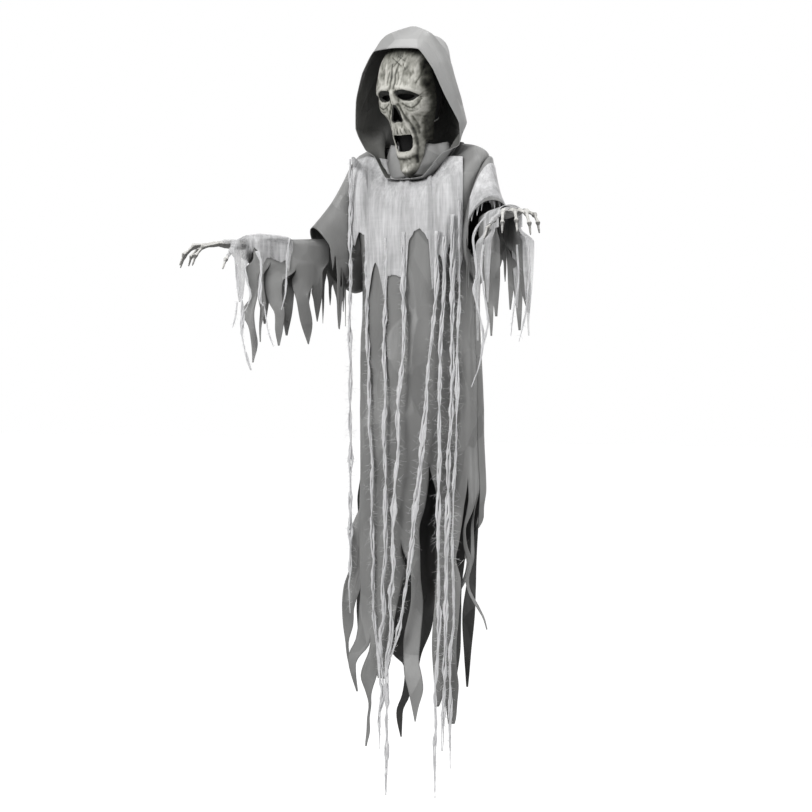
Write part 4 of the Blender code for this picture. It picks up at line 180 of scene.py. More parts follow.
class Nodes:
    """A short way to write a node material."""

    def __init__(self, name):
        self.material = bpy.data.materials.new(name)
        self.material.use_nodes = True
        self.tree = self.material.node_tree
        self.shader = next(n for n in self.tree.nodes if n.type == "BSDF_PRINCIPLED")
        self.place = self.add("ShaderNodeTexCoord").outputs["Object"]

    def add(self, kind, **values):
        node = self.tree.nodes.new(kind)
        for key, value in values.items():
            setattr(node, key, value)
        return node

    def join(self, source, socket):
        self.tree.links.new(source, socket)

    def scaled(self, scale, turn=(0, 0, 0)):
        mapping = self.add("ShaderNodeMapping")
        mapping.inputs["Scale"].default_value = scale
        mapping.inputs["Rotation"].default_value = turn
        self.join(self.place, mapping.inputs["Vector"])
        return mapping.outputs["Vector"]

    def noise(self, scale, detail=4, roughness=0.6, stretch=(1, 1, 1), distortion=0.0):
        node = self.add("ShaderNodeTexNoise")
        node.inputs["Scale"].default_value = scale
        node.inputs["Detail"].default_value = detail
        node.inputs["Roughness"].default_value = roughness
        node.inputs["Distortion"].default_value = distortion
        self.join(self.scaled(stretch), node.inputs["Vector"])
        return node.outputs["Fac"]

    def ramp(self, source, stops):
        node = self.add("ShaderNodeValToRGB")
        ramp = node.color_ramp
        while len(ramp.elements) < len(stops):
            ramp.elements.new(0.5)
        for element, (place, value) in zip(ramp.elements, stops):
            element.position = place
            element.color = (*value, 1) if hasattr(value, "__len__") else (value, value, value, 1)
        self.join(source, node.inputs["Fac"])
        return node.outputs["Color"]

    def math(self, operation, a, b=None, clamped=False):
        node = self.add("ShaderNodeMath", operation=operation, use_clamp=clamped)
        for socket, value in zip(node.inputs, (a, b)):
            if value is None:
                continue
            if isinstance(value, (int, float)):
                socket.default_value = value
            else:
                self.join(value, socket)
        return node.outputs[0]

    def blend(self, kind, share, a, b):
        node = self.add("ShaderNodeMix", data_type="RGBA", blend_type=kind)
        factor, first, second = node.inputs[0], node.inputs[6], node.inputs[7]
        for socket, value in ((factor, share), (first, a), (second, b)):
            if isinstance(value, (int, float)):
                socket.default_value = value
            elif isinstance(value, tuple):
                socket.default_value = (*value, 1)
            else:
                self.join(value, socket)
        return node.outputs[2]

    def bump(self, height, distance, strength=1.0, below=None):
        node = self.add("ShaderNodeBump")
        node.inputs["Strength"].default_value = strength
        node.inputs["Distance"].default_value = distance
        self.join(height, node.inputs["Height"])
        if below is not None:
            self.join(below, node.inputs["Normal"])
        return node.outputs["Normal"]

    def finish(self, colour=None, rough=None, normal=None, alpha=None, **values):
        for name, value in values.items():
            self.shader.inputs[name.replace("_", " ")].default_value = value
        for name, source in (("Base Color", colour), ("Roughness", rough), ("Normal", normal), ("Alpha", alpha)):
            if source is None:
                continue
            socket = self.shader.inputs[name]
            if isinstance(source, (int, float)):
                socket.default_value = source
            elif isinstance(source, tuple):
                socket.default_value = (*source, 1)
            else:
                self.join(source, socket)
        return self.material


def cloth_material(name, dark, light, rough=0.5, scale=7.0, shade_reach=0.10, darkest_shade=0.30):
    """Thin satin cloth: creased facets with sharp edges, each painted lighter or darker as painted light and shade,
    soft waves, a fine grain, broad tone patches and painted shade in hollows.
    """
    n = Nodes(name)
    warp = n.add("ShaderNodeTexNoise")
    warp.inputs["Scale"].default_value = 4.0
    n.join(n.place, warp.inputs["Vector"])
    bent = n.add("ShaderNodeVectorMath", operation="MULTIPLY_ADD")
    bent.inputs[1].default_value = (0.10, 0.10, 0.10)
    n.join(warp.outputs["Color"], bent.inputs[0])
    n.join(n.scaled((1.0, 1.0, 0.55), (0.3, 0.5, 0.3)), bent.inputs[2])
    normal = n.add("ShaderNodeNewGeometry").outputs["Normal"]
    facet_shades = []
    for share, tilt in ((1.0, 0.64), (2.3, 0.44)):
        cells = n.add("ShaderNodeTexVoronoi", feature="SMOOTH_F1")
        cells.inputs["Scale"].default_value = scale * share
        cells.inputs["Smoothness"].default_value = 0.06
        n.join(bent.outputs[0], cells.inputs["Vector"])
        lean = n.add("ShaderNodeVectorMath", operation="MULTIPLY_ADD")
        lean.inputs[1].default_value = (tilt, tilt, tilt)
        lean.inputs[2].default_value = (-tilt / 2, -tilt / 2, -tilt / 2)
        n.join(cells.outputs["Color"], lean.inputs[0])
        leant = n.add("ShaderNodeVectorMath", operation="ADD")
        n.join(normal, leant.inputs[0])
        n.join(lean.outputs[0], leant.inputs[1])
        flat = n.add("ShaderNodeVectorMath", operation="NORMALIZE")
        n.join(leant.outputs[0], flat.inputs[0])
        normal = flat.outputs[0]
        split = n.add("ShaderNodeSeparateColor")
        n.join(cells.outputs["Color"], split.inputs[0])
        facet_shades.append(split.outputs[1])
    normal = n.bump(n.noise(24.0, 4, 0.6, (1.0, 1.0, 0.4)), 4.0 * MM, 0.7, normal)
    normal = n.bump(n.noise(900.0, 2, 0.5), 0.25 * MM, 0.35, normal)
    patches = n.noise(7.0, 3, 0.55, (1.0, 1.0, 0.5), 0.4)
    # Painted light and shade: each crease facet is lighter or darker by its own value, over broad random patches.
    tone_and_shade = n.math("ADD", n.math("MULTIPLY", patches, 0.55), n.math("MULTIPLY", facet_shades[0], 0.14))
    tone_and_shade = n.math("ADD", tone_and_shade, n.math("MULTIPLY", facet_shades[1], 0.14))
    colour = n.ramp(tone_and_shade, [(0.22, dark), (0.60, light)])
    # Painted shade: the colour darkens in hollows and folds that the occlusion finds.
    shade = n.add("ShaderNodeAmbientOcclusion", samples=6)
    shade.inputs["Distance"].default_value = shade_reach
    colour = n.blend("MULTIPLY", 1.0, colour, n.ramp(shade.outputs["AO"], [(0.15, darkest_shade), (0.85, 1.0)]))
    roughness = n.ramp(n.noise(12.0, 3, 0.5), [(0.3, rough - 0.08), (0.7, rough + 0.1)])
    return n.finish(colour, roughness, normal, Sheen_Weight=0.15, Sheen_Roughness=0.4, Specular_IOR_Level=0.5)


def gauze_material(name, thin, thick, shade=0.89):
    """Open cotton weave pulled out of square: upright thread bundles over a thin net, with clear gaps."""
    n = Nodes(name)
    bundles = n.noise(34.0, 4, 0.62, (1.0, 1.0, 0.10), 0.3)
    threads = n.noise(150.0, 3, 0.7, (1.0, 1.0, 0.06))
    cross = n.noise(120.0, 3, 0.7, (0.10, 0.10, 1.0))
    clumps = n.noise(14.0, 4, 0.6, (1.0, 1.0, 0.5))
    cover = n.math("ADD", n.math("MULTIPLY", bundles, 0.55), n.math("MULTIPLY", threads, 0.30))
    cover = n.math("ADD", cover, n.math("MULTIPLY", cross, 0.10))
    cover = n.math("ADD", cover, n.math("MULTIPLY", clumps, 0.35))
    alpha = n.ramp(cover, [(0.50, thin), (0.66, (thin + thick) / 2), (0.80, thick)])
    colour = n.ramp(cover, [(0.50, (shade * 0.80, shade * 0.80, shade * 0.81)), (0.80, (shade, shade, shade * 1.01))])
    normal = n.bump(threads, 1.0 * MM, 0.6)
    normal = n.bump(bundles, 2.0 * MM, 0.5, normal)
    return n.finish(colour, 0.9, normal, alpha, Sheen_Weight=0.3, Specular_IOR_Level=0.2)


def strand_material(name):
    n = Nodes(name)
    fibres = n.noise(260.0, 4, 0.7, (1.0, 1.0, 0.10), 0.3)
    tufts = n.noise(60.0, 4, 0.6, (1.0, 1.0, 0.4))
    colour = n.ramp(fibres, [(0.32, (0.62, 0.62, 0.63)), (0.62, (0.90, 0.90, 0.91))])
    normal = n.bump(n.math("ADD", fibres, tufts), 1.5 * MM, 0.9)
    return n.finish(colour, 0.92, normal, Sheen_Weight=0.4, Specular_IOR_Level=0.15)


def bone_material(name):
    n = Nodes(name)
    wash = n.noise(60.0, 6, 0.65)
    streaks = n.noise(90.0, 4, 0.6, (1, 1, 0.3))
    colour = n.ramp(n.math("ADD", n.math("MULTIPLY", wash, 0.6), n.math("MULTIPLY", streaks, 0.4)),
                    [(0.33, (0.30, 0.30, 0.28)), (0.46, (0.62, 0.61, 0.58)), (0.66, (0.82, 0.81, 0.79))])
    # Painted shade in crevices and where parts meet.
    crevice_shade = n.add("ShaderNodeAmbientOcclusion", samples=6)
    crevice_shade.inputs["Distance"].default_value = 0.012
    colour = n.blend("MULTIPLY", 0.7, colour, n.ramp(crevice_shade.outputs["AO"], [(0.25, 0.25), (0.8, 1.0)]))
    # Painted shade: faces that look down are darker.
    underside_shade = n.add("ShaderNodeSeparateXYZ")
    n.join(n.add("ShaderNodeNewGeometry").outputs["Normal"], underside_shade.inputs[0])
    colour = n.blend("MULTIPLY", 0.9, colour, n.ramp(underside_shade.outputs["Z"], [(0.0, 0.16), (0.35, 1.0)]))
    normal = n.bump(wash, 0.8 * MM, 0.5)
    return n.finish(colour, 0.6, normal)


def mask_material(name):
    """Old painted bone: pale heights, worn and with painted highlight; dark where the piece's own wash value is high,
    from dark wash and painted shade; painted shade in recesses.
    """
    n = Nodes(name)
    # The wash value carries both the mask's dark wash and its painted shade.
    wash = n.add("ShaderNodeAttribute", attribute_name="wash").outputs["Fac"]
    streaks = n.noise(70.0, 5, 0.7, (1.6, 1, 0.45), 0.5)
    specks = n.noise(210.0, 4, 0.7)
    uneven = n.math("ADD", n.math("MULTIPLY", streaks, 0.42), n.math("MULTIPLY", specks, 0.30))
    tone_and_shade = n.math("ADD", wash, n.math("SUBTRACT", uneven, 0.36))
    colour = n.ramp(tone_and_shade, [(0.08, (0.62, 0.61, 0.56)), (0.34, (0.37, 0.365, 0.325)), (0.62, (0.13, 0.13, 0.108)),
                           (0.98, (0.006, 0.006, 0.005))])
    # Painted shade in the face's recesses.
    shade = n.add("ShaderNodeAmbientOcclusion", samples=6)
    shade.inputs["Distance"].default_value = 0.03
    colour = n.blend("MULTIPLY", 0.8, colour, n.ramp(shade.outputs["AO"], [(0.25, 0.25), (0.85, 1.0)]))
    normal = n.bump(streaks, 1.2 * MM, 0.6)
    normal = n.bump(specks, 0.5 * MM, 0.5, normal)
    return n.finish(colour, 0.55, normal)


def plain_material(name, colour, rough, metallic=0.0, grain=400.0, depth=0.15 * MM, **values):
    n = Nodes(name)
    mottled = n.noise(grain, 3, 0.5)
    shaded = n.ramp(mottled, [(0.3, tuple(c * 0.85 for c in colour)), (0.7, tuple(min(c * 1.08, 1) for c in colour))])
    roughness = n.ramp(n.noise(40.0, 4, 0.6), [(0.3, max(rough - 0.08, 0.02)), (0.7, min(rough + 0.1, 1))])
    return n.finish(shaded, roughness, n.bump(mottled, depth, 0.3), Metallic=metallic, **values)


# Robe, in the same rings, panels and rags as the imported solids

NECK_DROP = 0.262
SLIT_DROP = 1.02
HEM_DROP = 1.70
ROBE_HALF_WIDTH = 0.160
ROBE_HALF_DEPTH = 0.095
# Columns: front drop, side drop, back drop (of the robe's length to the slits), half width, front and back depth
ROBE_RINGS = [
    (0.124, 0.000, 0.000, 0.59, 0.61, 0.74),
    (0.149, 0.013, 0.030, 0.94, 0.86, 0.88),
    (0.195, 0.050, 0.090, 1.13, 1.00, 0.96),
    (0.248, 0.156, 0.182, 1.11, 1.05, 1.00),
    (0.340, 0.314, 0.327, 0.97, 1.02, 0.98),
    (0.472, 0.472, 0.472, 0.93, 1.00, 0.98),
    (0.720, 0.720, 0.720, 0.97, 1.00, 1.00),
    (1.000, 1.000, 1.000, 1.00, 1.00, 1.00),
]
ROBE_FOLDS = 9
ROBE_FOLD_DEPTH = 5.5 * MM
NECK_SIDE_POWER = 4
PANEL_COLUMNS = 14
ROW_LEVEL_SHARES = [0, 0.05, 0.10, 0.16, 0.23, 0.30, 0.40, 0.56, 0.76, 1]
SIDE_SEAM = math.radians(0.36)
ARMHOLE_DROP = 0.438
ARMHOLE_HALF_HEIGHT = 0.130
ARMHOLE_HALF_DEPTH = 0.042
ACROSS_VIEW = Vector((math.cos(VIEW_TURN), math.sin(VIEW_TURN), 0))
TO_VIEW = Vector((math.sin(VIEW_TURN), -math.cos(VIEW_TURN), 0))


def raised(surface, a, b, out):
    """The point of a surface at a and b, moved out along its normal, which is found from its neighbours."""
    step = 0.01
    across = surface(a + step, b) - surface(a - step, b)
    down = surface(a, b + step) - surface(a, b - step)
    return surface(a, b) + down.cross(across).normalized() * out


def robe_point(turn, level):
    """A point of the robe, at turn radians from the front centre and level 0 at the neck, 1 at the slits."""
    t = min(level, 1.0) * (len(ROBE_RINGS) - 1)
    ring = [along([row[c] for row in ROBE_RINGS], t) for c in range(6)]
    front, side_drop, back, width, front_depth, back_depth = ring
    sine, cosine = math.sin(turn), math.cos(turn)
    end_drop = front if cosine > 0 else back
    side_share = abs(sine) ** mix(NECK_SIDE_POWER, 2, smoothstep(level * 3))
    z = -NECK_DROP - (SLIT_DROP - NECK_DROP) * mix(end_drop, side_drop, side_share)
    if level > 1:
        z -= (level - 1) * (HEM_DROP - SLIT_DROP)
    depth = ROBE_HALF_DEPTH * (front_depth if cosine > 0 else back_depth)
    half = ROBE_HALF_WIDTH * width
    fold = ROBE_FOLD_DEPTH * smoothstep((level - 0.35) * 1.6) * math.cos(ROBE_FOLDS * turn + 1.1 + level * 0.8)
    flare = 1 + 0.05 * max(0.0, level - 1)
    shape = Vector((half * sine, -depth * cosine, 0)) * flare
    outward = Vector((sine / half, -cosine / depth, 0)).normalized()
    return Vector((shape.x, shape.y, z)) + outward * fold


def row_level(v):
    """Robe level at v of a panel, whose rows stand at the listed levels."""
    rows = len(ROW_LEVEL_SHARES) - 1
    if v >= 1:
        return v
    i = int(v * rows + 0.0005)
    return 1.0 if i >= rows else mix(ROW_LEVEL_SHARES[i], ROW_LEVEL_SHARES[i + 1], v * rows - i)


# Each rag: its columns at the slit line, where its first and last edge part from its neighbours (as a share of
# the length from the slits to the hem), and then, at such shares, where its two edges hang across the view.
# near moves it towards the view, so that rags which cross hang clear of each other.
FRONT_RAGS = [
    {"columns": (0, 3), "slits": (0.16, 0.44), "near": 0.004, "keys": [
        (0.38, -0.175, -0.140), (0.46, -0.188, -0.163), (0.54, -0.190, -0.161), (0.60, -0.188, -0.163),
        (0.66, -0.182, -0.174), (0.73, -0.176, -0.168), (0.80, -0.160, -0.156)]},
    {"columns": (3, 4), "slits": (0.44, 0.62), "near": -0.010, "keys": [
        (0.50, -0.146, -0.124), (0.64, -0.157, -0.128), (0.70, -0.174, -0.154), (0.76, -0.170, -0.156),
        (0.83, -0.156, -0.152)]},
    {"columns": (4, 5), "slits": (0.62, 0.74), "near": 0.000, "keys": [
        (0.64, -0.128, -0.108), (0.72, -0.138, -0.100), (0.77, -0.144, -0.120), (0.82, -0.134, -0.121),
        (0.87, -0.126, -0.119), (0.92, -0.130, -0.123), (0.97, -0.131, -0.122), (1.02, -0.133, -0.130)]},
    {"columns": (5, 7), "slits": (0.74, 0.30), "near": 0.000, "keys": [
        (0.36, -0.112, -0.029), (0.43, -0.112, -0.043), (0.51, -0.112, -0.055), (0.59, -0.112, -0.064),
        (0.70, -0.108, -0.071), (0.77, -0.096, -0.086)]},
    {"columns": (7, 9), "slits": (0.28, 0.0), "near": 0.003, "keys": [
        (0.06, -0.030, 0.018), (0.16, -0.026, 0.009), (0.23, -0.024, -0.004), (0.31, -0.022, -0.003),
        (0.41, -0.023, -0.001), (0.50, -0.024, 0.005), (0.62, -0.041, -0.001), (0.70, -0.042, -0.005),
        (0.75, -0.040, 0.002), (0.80, -0.031, 0.005), (0.86, -0.022, -0.006), (0.912, -0.015, -0.013)]},
    {"columns": (9, 10), "slits": (0.0, 0.78), "near": 0.000, "keys": [
        (0.06, 0.035, 0.052), (0.16, 0.038, 0.056), (0.25, 0.041, 0.056), (0.44, 0.034, 0.055), (0.63, 0.026, 0.053),
        (0.76, 0.030, 0.053), (0.81, 0.032, 0.044), (0.857, 0.034, 0.037)]},
    {"columns": (10, 12), "slits": (0.78, 0.05), "near": 0.000, "keys": [
        (0.10, 0.056, 0.102), (0.29, 0.056, 0.088), (0.34, 0.056, 0.081), (0.41, 0.056, 0.093), (0.49, 0.056, 0.091),
        (0.62, 0.055, 0.083), (0.72, 0.054, 0.085), (0.78, 0.054, 0.090), (0.84, 0.060, 0.086),
        (0.89, 0.061, 0.082), (0.916, 0.062, 0.078)]},
    {"columns": (12, 13), "slits": (0.05, 0.12), "near": -0.002, "keys": [
        (0.11, 0.112, 0.119), (0.17, 0.107, 0.112), (0.24, 0.099, 0.105), (0.30, 0.101, 0.110), (0.345, 0.108, 0.120),
        (0.39, 0.104, 0.116), (0.43, 0.094, 0.102), (0.46, 0.087, 0.090)]},
    {"columns": (13, 14), "slits": (0.12, 0.05), "near": 0.010, "keys": [
        (0.08, 0.124, 0.139), (0.14, 0.123, 0.130), (0.21, 0.118, 0.124), (0.29, 0.118, 0.126), (0.345, 0.116, 0.125),
        (0.40, 0.105, 0.114), (0.45, 0.109, 0.115), (0.51, 0.128, 0.135), (0.55, 0.145, 0.149),
        (0.592, 0.155, 0.157)]},
]
BACK_RAGS = [
    {"columns": (0, 2), "slits": (0.10, 0.20), "near": 0.0, "keys": [
        (0.20, 0.136, 0.100), (0.40, 0.130, 0.108), (0.55, 0.128, 0.098), (0.70, 0.118, 0.102), (0.80, 0.112, 0.108)]},
    {"columns": (2, 4), "slits": (0.20, 0.30), "near": -0.006, "keys": [
        (0.30, 0.104, 0.078), (0.50, 0.096, 0.066), (0.68, 0.098, 0.076), (0.82, 0.084, 0.070), (0.95, 0.076, 0.073)]},
    {"columns": (4, 6), "slits": (0.30, 0.22), "near": 0.004, "keys": [
        (0.30, 0.082, 0.050), (0.46, 0.074, 0.040), (0.60, 0.064, 0.042), (0.74, 0.060, 0.048), (0.84, 0.054, 0.051)]},
    {"columns": (6, 8), "slits": (0.22, 0.50), "near": -0.004, "keys": [
        (0.40, 0.040, -0.016), (0.55, 0.034, -0.020), (0.63, 0.026, -0.018), (0.71, 0.004, -0.014),
        (0.76, -0.004, -0.010)]},
    {"columns": (8, 10), "slits": (0.50, 0.36), "near": 0.006, "keys": [
        (0.55, -0.018, -0.066), (0.71, -0.020, -0.070), (0.755, -0.022, -0.042), (0.80, -0.028, -0.039),
        (0.87, -0.027, -0.046), (0.92, -0.042, -0.058), (0.96, -0.044, -0.058), (1.021, -0.046, -0.049)]},
    {"columns": (10, 12), "slits": (0.36, 0.14), "near": -0.006, "keys": [
        (0.36, -0.072, -0.112), (0.50, -0.078, -0.118), (0.62, -0.086, -0.112), (0.72, -0.094, -0.110),
        (0.80, -0.102, -0.106)]},
    {"columns": (12, 14), "slits": (0.14, 0.04), "near": 0.004, "keys": [
        (0.13, -0.130, -0.156), (0.24, -0.132, -0.152), (0.38, -0.136, -0.152), (0.50, -0.142, -0.156),
        (0.62, -0.150, -0.153)]},
]
RAG_PART = 0.12
RAG_WAVE = 7 * MM


def rag_edge(rag, w, side):
    return along_keys([(key[0], key[1 + side]) for key in rag["keys"]], w)


def along_keys(table, x):
    """Smooth curve through a table of (x, value) pairs, level outside it."""
    if x <= table[0][0]:
        return table[0][1]
    if x >= table[-1][0]:
        return table[-1][1]
    i = max(k for k in range(len(table) - 1) if table[k][0] <= x)
    (x0, y0), (x1, y1) = table[i], table[i + 1]
    slope0 = 0.0 if i == 0 else (y1 - table[i - 1][1]) / (x1 - table[i - 1][0]) * (x1 - x0)
    slope1 = (y1 - y0) if i + 2 >= len(table) else (table[i + 2][1] - y0) / (table[i + 2][0] - x0) * (x1 - x0)
    t = (x - x0) / (x1 - x0)
    return (y0 * (1 + 2 * t) * (1 - t) ** 2 + slope0 * t * (1 - t) ** 2 + y1 * t * t * (3 - 2 * t)
            + slope1 * t * t * (t - 1))


def rag_place(surface, rag, share, column_share, w, middle_share):
    """A point of a rag: on the robe's surface above its slits, and hanging free across the view below them."""
    base = surface(column_share, 1 + w)
    free = mix(smoothstep((w - rag["slits"][0]) / RAG_PART), smoothstep((w - rag["slits"][1]) / RAG_PART), share)
    if free <= 0:
        return base
    middle = surface(middle_share, 1 + w)
    across = mix(rag_edge(rag, w, 0), rag_edge(rag, w, 1), share)
    wave = RAG_WAVE * (math.sin(w * 11 + rag["columns"][0] * 1.7) - 1) * smoothstep(w * 2)
    depth = middle.dot(TO_VIEW) + rag["near"] * smoothstep(w * 3) + wave
    depth += (share - 0.5) * RAG_WAVE * math.sin(w * 8 + rag["columns"][1] * 2.3)
    hung = ACROSS_VIEW * across + TO_VIEW * depth + UP * base.z
    return mix(base, hung, free)


def ragged_grid(surface, across, row_shares, rags, rag_rows, spread=1):
    """Points and faces over surface(u, v), v from 0 to 1 down the sheet, with the rags below it."""
    columns = across * spread + 1
    points = [surface(j / (columns - 1), v) for v in row_shares for j in range(columns)]
    faces = grid_faces(len(row_shares), columns)
    deepest = max(rag["keys"][-1][0] for rag in rags)
    step = deepest / rag_rows
    shared = {}
    for rag in rags:
        first, last = (c * spread for c in rag["columns"])
        tip = rag["keys"][-1][0]
        middle_share = (first + last) / 2 / (columns - 1)
        levels = [k * step for k in range(1, rag_rows + 1) if k * step < tip - step / 3] + [tip]
        above = {j: (len(row_shares) - 1) * columns + j for j in range(first, last + 1)}
        for k, w in enumerate(levels):
            row = {}
            for j in range(first, last + 1):
                side = 0 if j == first else 1
                joined = j in (first, last) and w <= rag["slits"][side] and w < tip
                if joined and (j, k) in shared:
                    row[j] = shared[(j, k)]
                    continue
                row[j] = len(points)
                points.append(rag_place(surface, rag, (j - first) / (last - first), j / (columns - 1), w, middle_share))
                if joined:
                    shared[(j, k)] = row[j]
            for j in range(first, last):
                faces.append((above[j], row[j], row[j + 1], above[j + 1]))
            above = row
    return points, faces


# Creases of the thin satin cloth: one field for all layers, so that what lies on the robe moves with it

def crease(place, strength):
    """How far cloth at a place stands out, in broad tilted facets with a finer ripple."""
    p = Vector((place.x * 5.0, place.y * 5.0, place.z * 2.6))
    broad = noise.noise(p + Vector((3.1, 0.4, 7.7)))
    ridge = 1 - 2 * abs(noise.noise(Vector((p.x * 1.7, p.y * 1.7, p.z * 2.1 + 4.2))))
    fine = noise.noise(Vector((place.x * 26, place.y * 26, place.z * 9)))
    return strength * (0.9 * broad + 0.55 * ridge + 0.16 * fine)


def crease_piece(piece, strength, centre=lambda place: Vector((0, 0, place.z))):
    """Moves a cloth in and out of the axis by the crease field."""
    for vertex in piece.data.vertices:
        place = vertex.co
        out = place - centre(place)
        if out.length > 0:
            vertex.co = place + out.normalized() * crease(place, strength(place))
    return piece


CLOTH = 1.2 * MM
HOOD_CLOTH = cloth_material("hood satin cloth", (0.35, 0.35, 0.345), (0.50, 0.50, 0.495), 0.5, 6.0)
# Painted shade: the inside of the hood is a darker copy of its cloth.
HOOD_INSIDE_SHADED = cloth_material("hood cloth inside in painted shade", (0.16, 0.16, 0.15), (0.27, 0.27, 0.26), 0.7, shade_reach=0.16, darkest_shade=0.42)
ROBE_CLOTH = cloth_material("robe satin cloth", (0.165, 0.165, 0.162), (0.38, 0.38, 0.375), 0.42)
# Painted shade: the inside of the robe is a darker copy of its cloth.
ROBE_INSIDE_SHADED = cloth_material("robe cloth inside in painted shade", (0.022, 0.022, 0.021), (0.05, 0.05, 0.049), 0.6)
GAUZE_CLOSE = gauze_material("close cotton gauze", 0.42, 0.95)
GAUZE_OPEN = gauze_material("open cotton gauze", 0.12, 0.90)
STRAND = strand_material("twisted cotton strand")
BONE = bone_material("aged bone plastic")
MASK = mask_material("painted mask")


def between(values, fine):
    """The values with fine - 1 more placed evenly between each two."""
    out = []
    for a, b in zip(values, values[1:]):
        out += [mix(a, b, k / fine) for k in range(fine)]
    return out + [values[-1]]


def finish_cloth(name, points, faces, material, thickness, strength, centre=None, shaded_inside=None):
    piece = mesh_object(name, points, faces, material)
    weld(piece)
    face_out(piece, centre or (lambda place: Vector((0, 0, place.z))))
    if centre:
        crease_piece(piece, strength, centre)
    else:
        crease_piece(piece, strength)
    return thicken(piece, thickness, shaded_inside)


def declare(piece, body, slot, nodes, held, rests_on, width, length):
    """Hangs a cloth on its body and hides the nodes that it stands for; the size it was cut to is not used."""
    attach(piece, body)
    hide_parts(*nodes)


def robe_strength(place):
    return 5.5 * MM * smoothstep((-place.z - 0.40) / 0.22) + 1.0 * MM * smoothstep((-place.z - 0.30) / 0.10)


def make_robe():
    half_turn = math.pi / 2 - SIDE_SEAM
    rows = [k / (len(ROW_LEVEL_SHARES) - 1) for k in range(len(ROW_LEVEL_SHARES))]
    for name, middle, rags in (("robe_front", 0, FRONT_RAGS), ("robe_back", math.pi, BACK_RAGS)):
        points, faces = ragged_grid(
            lambda u, v: robe_point(middle + mix(-half_turn, half_turn, u), row_level(v)), PANEL_COLUMNS,
            between(rows, 6), rags, 60, 6)

        def in_armhole(face):
            place = sum((points[i] for i in face), Vector()) / 4
            return (abs(place.x) > ROBE_HALF_WIDTH / 2 and (place.y / ARMHOLE_HALF_DEPTH) ** 2
                    + ((place.z + ARMHOLE_DROP) / ARMHOLE_HALF_HEIGHT) ** 2 < 1)

        faces = [face for face in faces if not in_armhole(face)]
        piece = finish_cloth(name + "_cloth", points, faces, ROBE_CLOTH, CLOTH, robe_strength, None, ROBE_INSIDE_SHADED)
        declare(piece, "torso", "robe_cloth", [name], "hung", ["shoulder_yoke"], 0.46, 1.50)


# Hood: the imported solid's rings, drawn finer
HOOD_RINGS = [
    [(0, -0.127, -0.046), (0.060, -0.125, -0.050), (0.094, -0.117, -0.098), (0.118, -0.102, -0.160),
     (0.138, -0.070, -0.222), (0.126, -0.045, -0.272), (0.090, -0.066, -0.292), (0.050, -0.085, -0.3460),
     (0, -0.0880, -0.3505)],
    [(0, -0.055, 0.014), (0.056, -0.065, -0.006), (0.098, -0.062, -0.075), (0.121, -0.052, -0.150),
     (0.132, -0.035, -0.218), (0.120, -0.032, -0.265), (0.088, -0.052, -0.300), (0.048, -0.0700, -0.3465),
     (0, -0.0730, -0.3515)],
    [(0, 0.040, 0.0125), (0.045, 0.020, -0.022), (0.083, 0.003, -0.085), (0.108, 0, -0.155),
     (0.122, 0.000, -0.215), (0.110, -0.022, -0.261), (0.086, -0.042, -0.306), (0.048, -0.0610, -0.3465),
     (0, -0.0640, -0.3518)],
    [(0, 0.142, -0.027), (0.030, 0.098, -0.055), (0.062, 0.050, -0.105), (0.090, 0.035, -0.165),
     (0.106, 0.014, -0.221), (0.098, -0.018, -0.261), (0.080, -0.036, -0.310), (0.046, -0.0555, -0.3460),
     (0, -0.0602, -0.3520)],
]
HOOD_LIFT = 3.7 * MM
HOOD_HEM_LEVEL = 0.035
HOOD_SLIT = (4 * MM, 12.5 * MM)
HOOD_COLUMNS = 168
HOOD_ROWS = 56
COLLAR_ROWS = 12
COLLAR_COLUMNS = 48
COLLAR_TURN = math.radians(135)
COLLAR_HALF_WIDTHS = (0.104, 0.078)
COLLAR_DEPTHS = (0.060, 0.045)
COLLAR_HEIGHTS = (-0.345, -0.262)


def faceted(keys, t):
    """Between a smooth curve and straight lines through the keys, as stiff cloth folds."""
    k = min(int(t), len(keys) - 2)
    return mix(along(keys, t), mix(keys[k], keys[k + 1], t - k), 0.65)


def hood_point(u, v):
    """A point of the hood: u from 0 round the face opening from the crown, v from 0 at the rim to 1 at the neck."""
    half = 1 - abs(1 - 2 * (u % 1.0))
    side = 1 if u % 1.0 <= 0.5 else -1
    neck = robe_point(math.pi * (1 - half), 0) + UP * HOOD_LIFT
    neck.x = abs(neck.x)
    rings = []
    for ring in HOOD_RINGS:
        keys = [Vector(key) for key in ring]
        mirrored = [Vector((-key.x, key.y, key.z)) for key in reversed(keys[1:3])]
        below = [Vector((-key.x, key.y, key.z)) for key in reversed(keys[-3:-1])]
        rings.append(faceted(mirrored + keys + below, half * (len(keys) - 1) + len(mirrored)))
    rings.append(neck)
    hem = raised(robe_point, math.pi * (1 - half), HOOD_HEM_LEVEL, HOOD_LIFT)
    hem.x = abs(hem.x)
    rings.append(hem)
    place = along(rings, v * (len(rings) - 1))
    place.x = max(place.x, 0.0) if 0 < half < 1 else 0.0
    return Vector((side * place.x, place.y, place.z))


def hood_strength(place):
    from_rod = math.hypot(place.x, place.y)
    near_crown = smoothstep((from_rod - 0.035) / 0.05) if place.z > -0.05 else 1.0
    return 4.5 * MM * near_crown * smoothstep((place.z + 0.33) / 0.10)


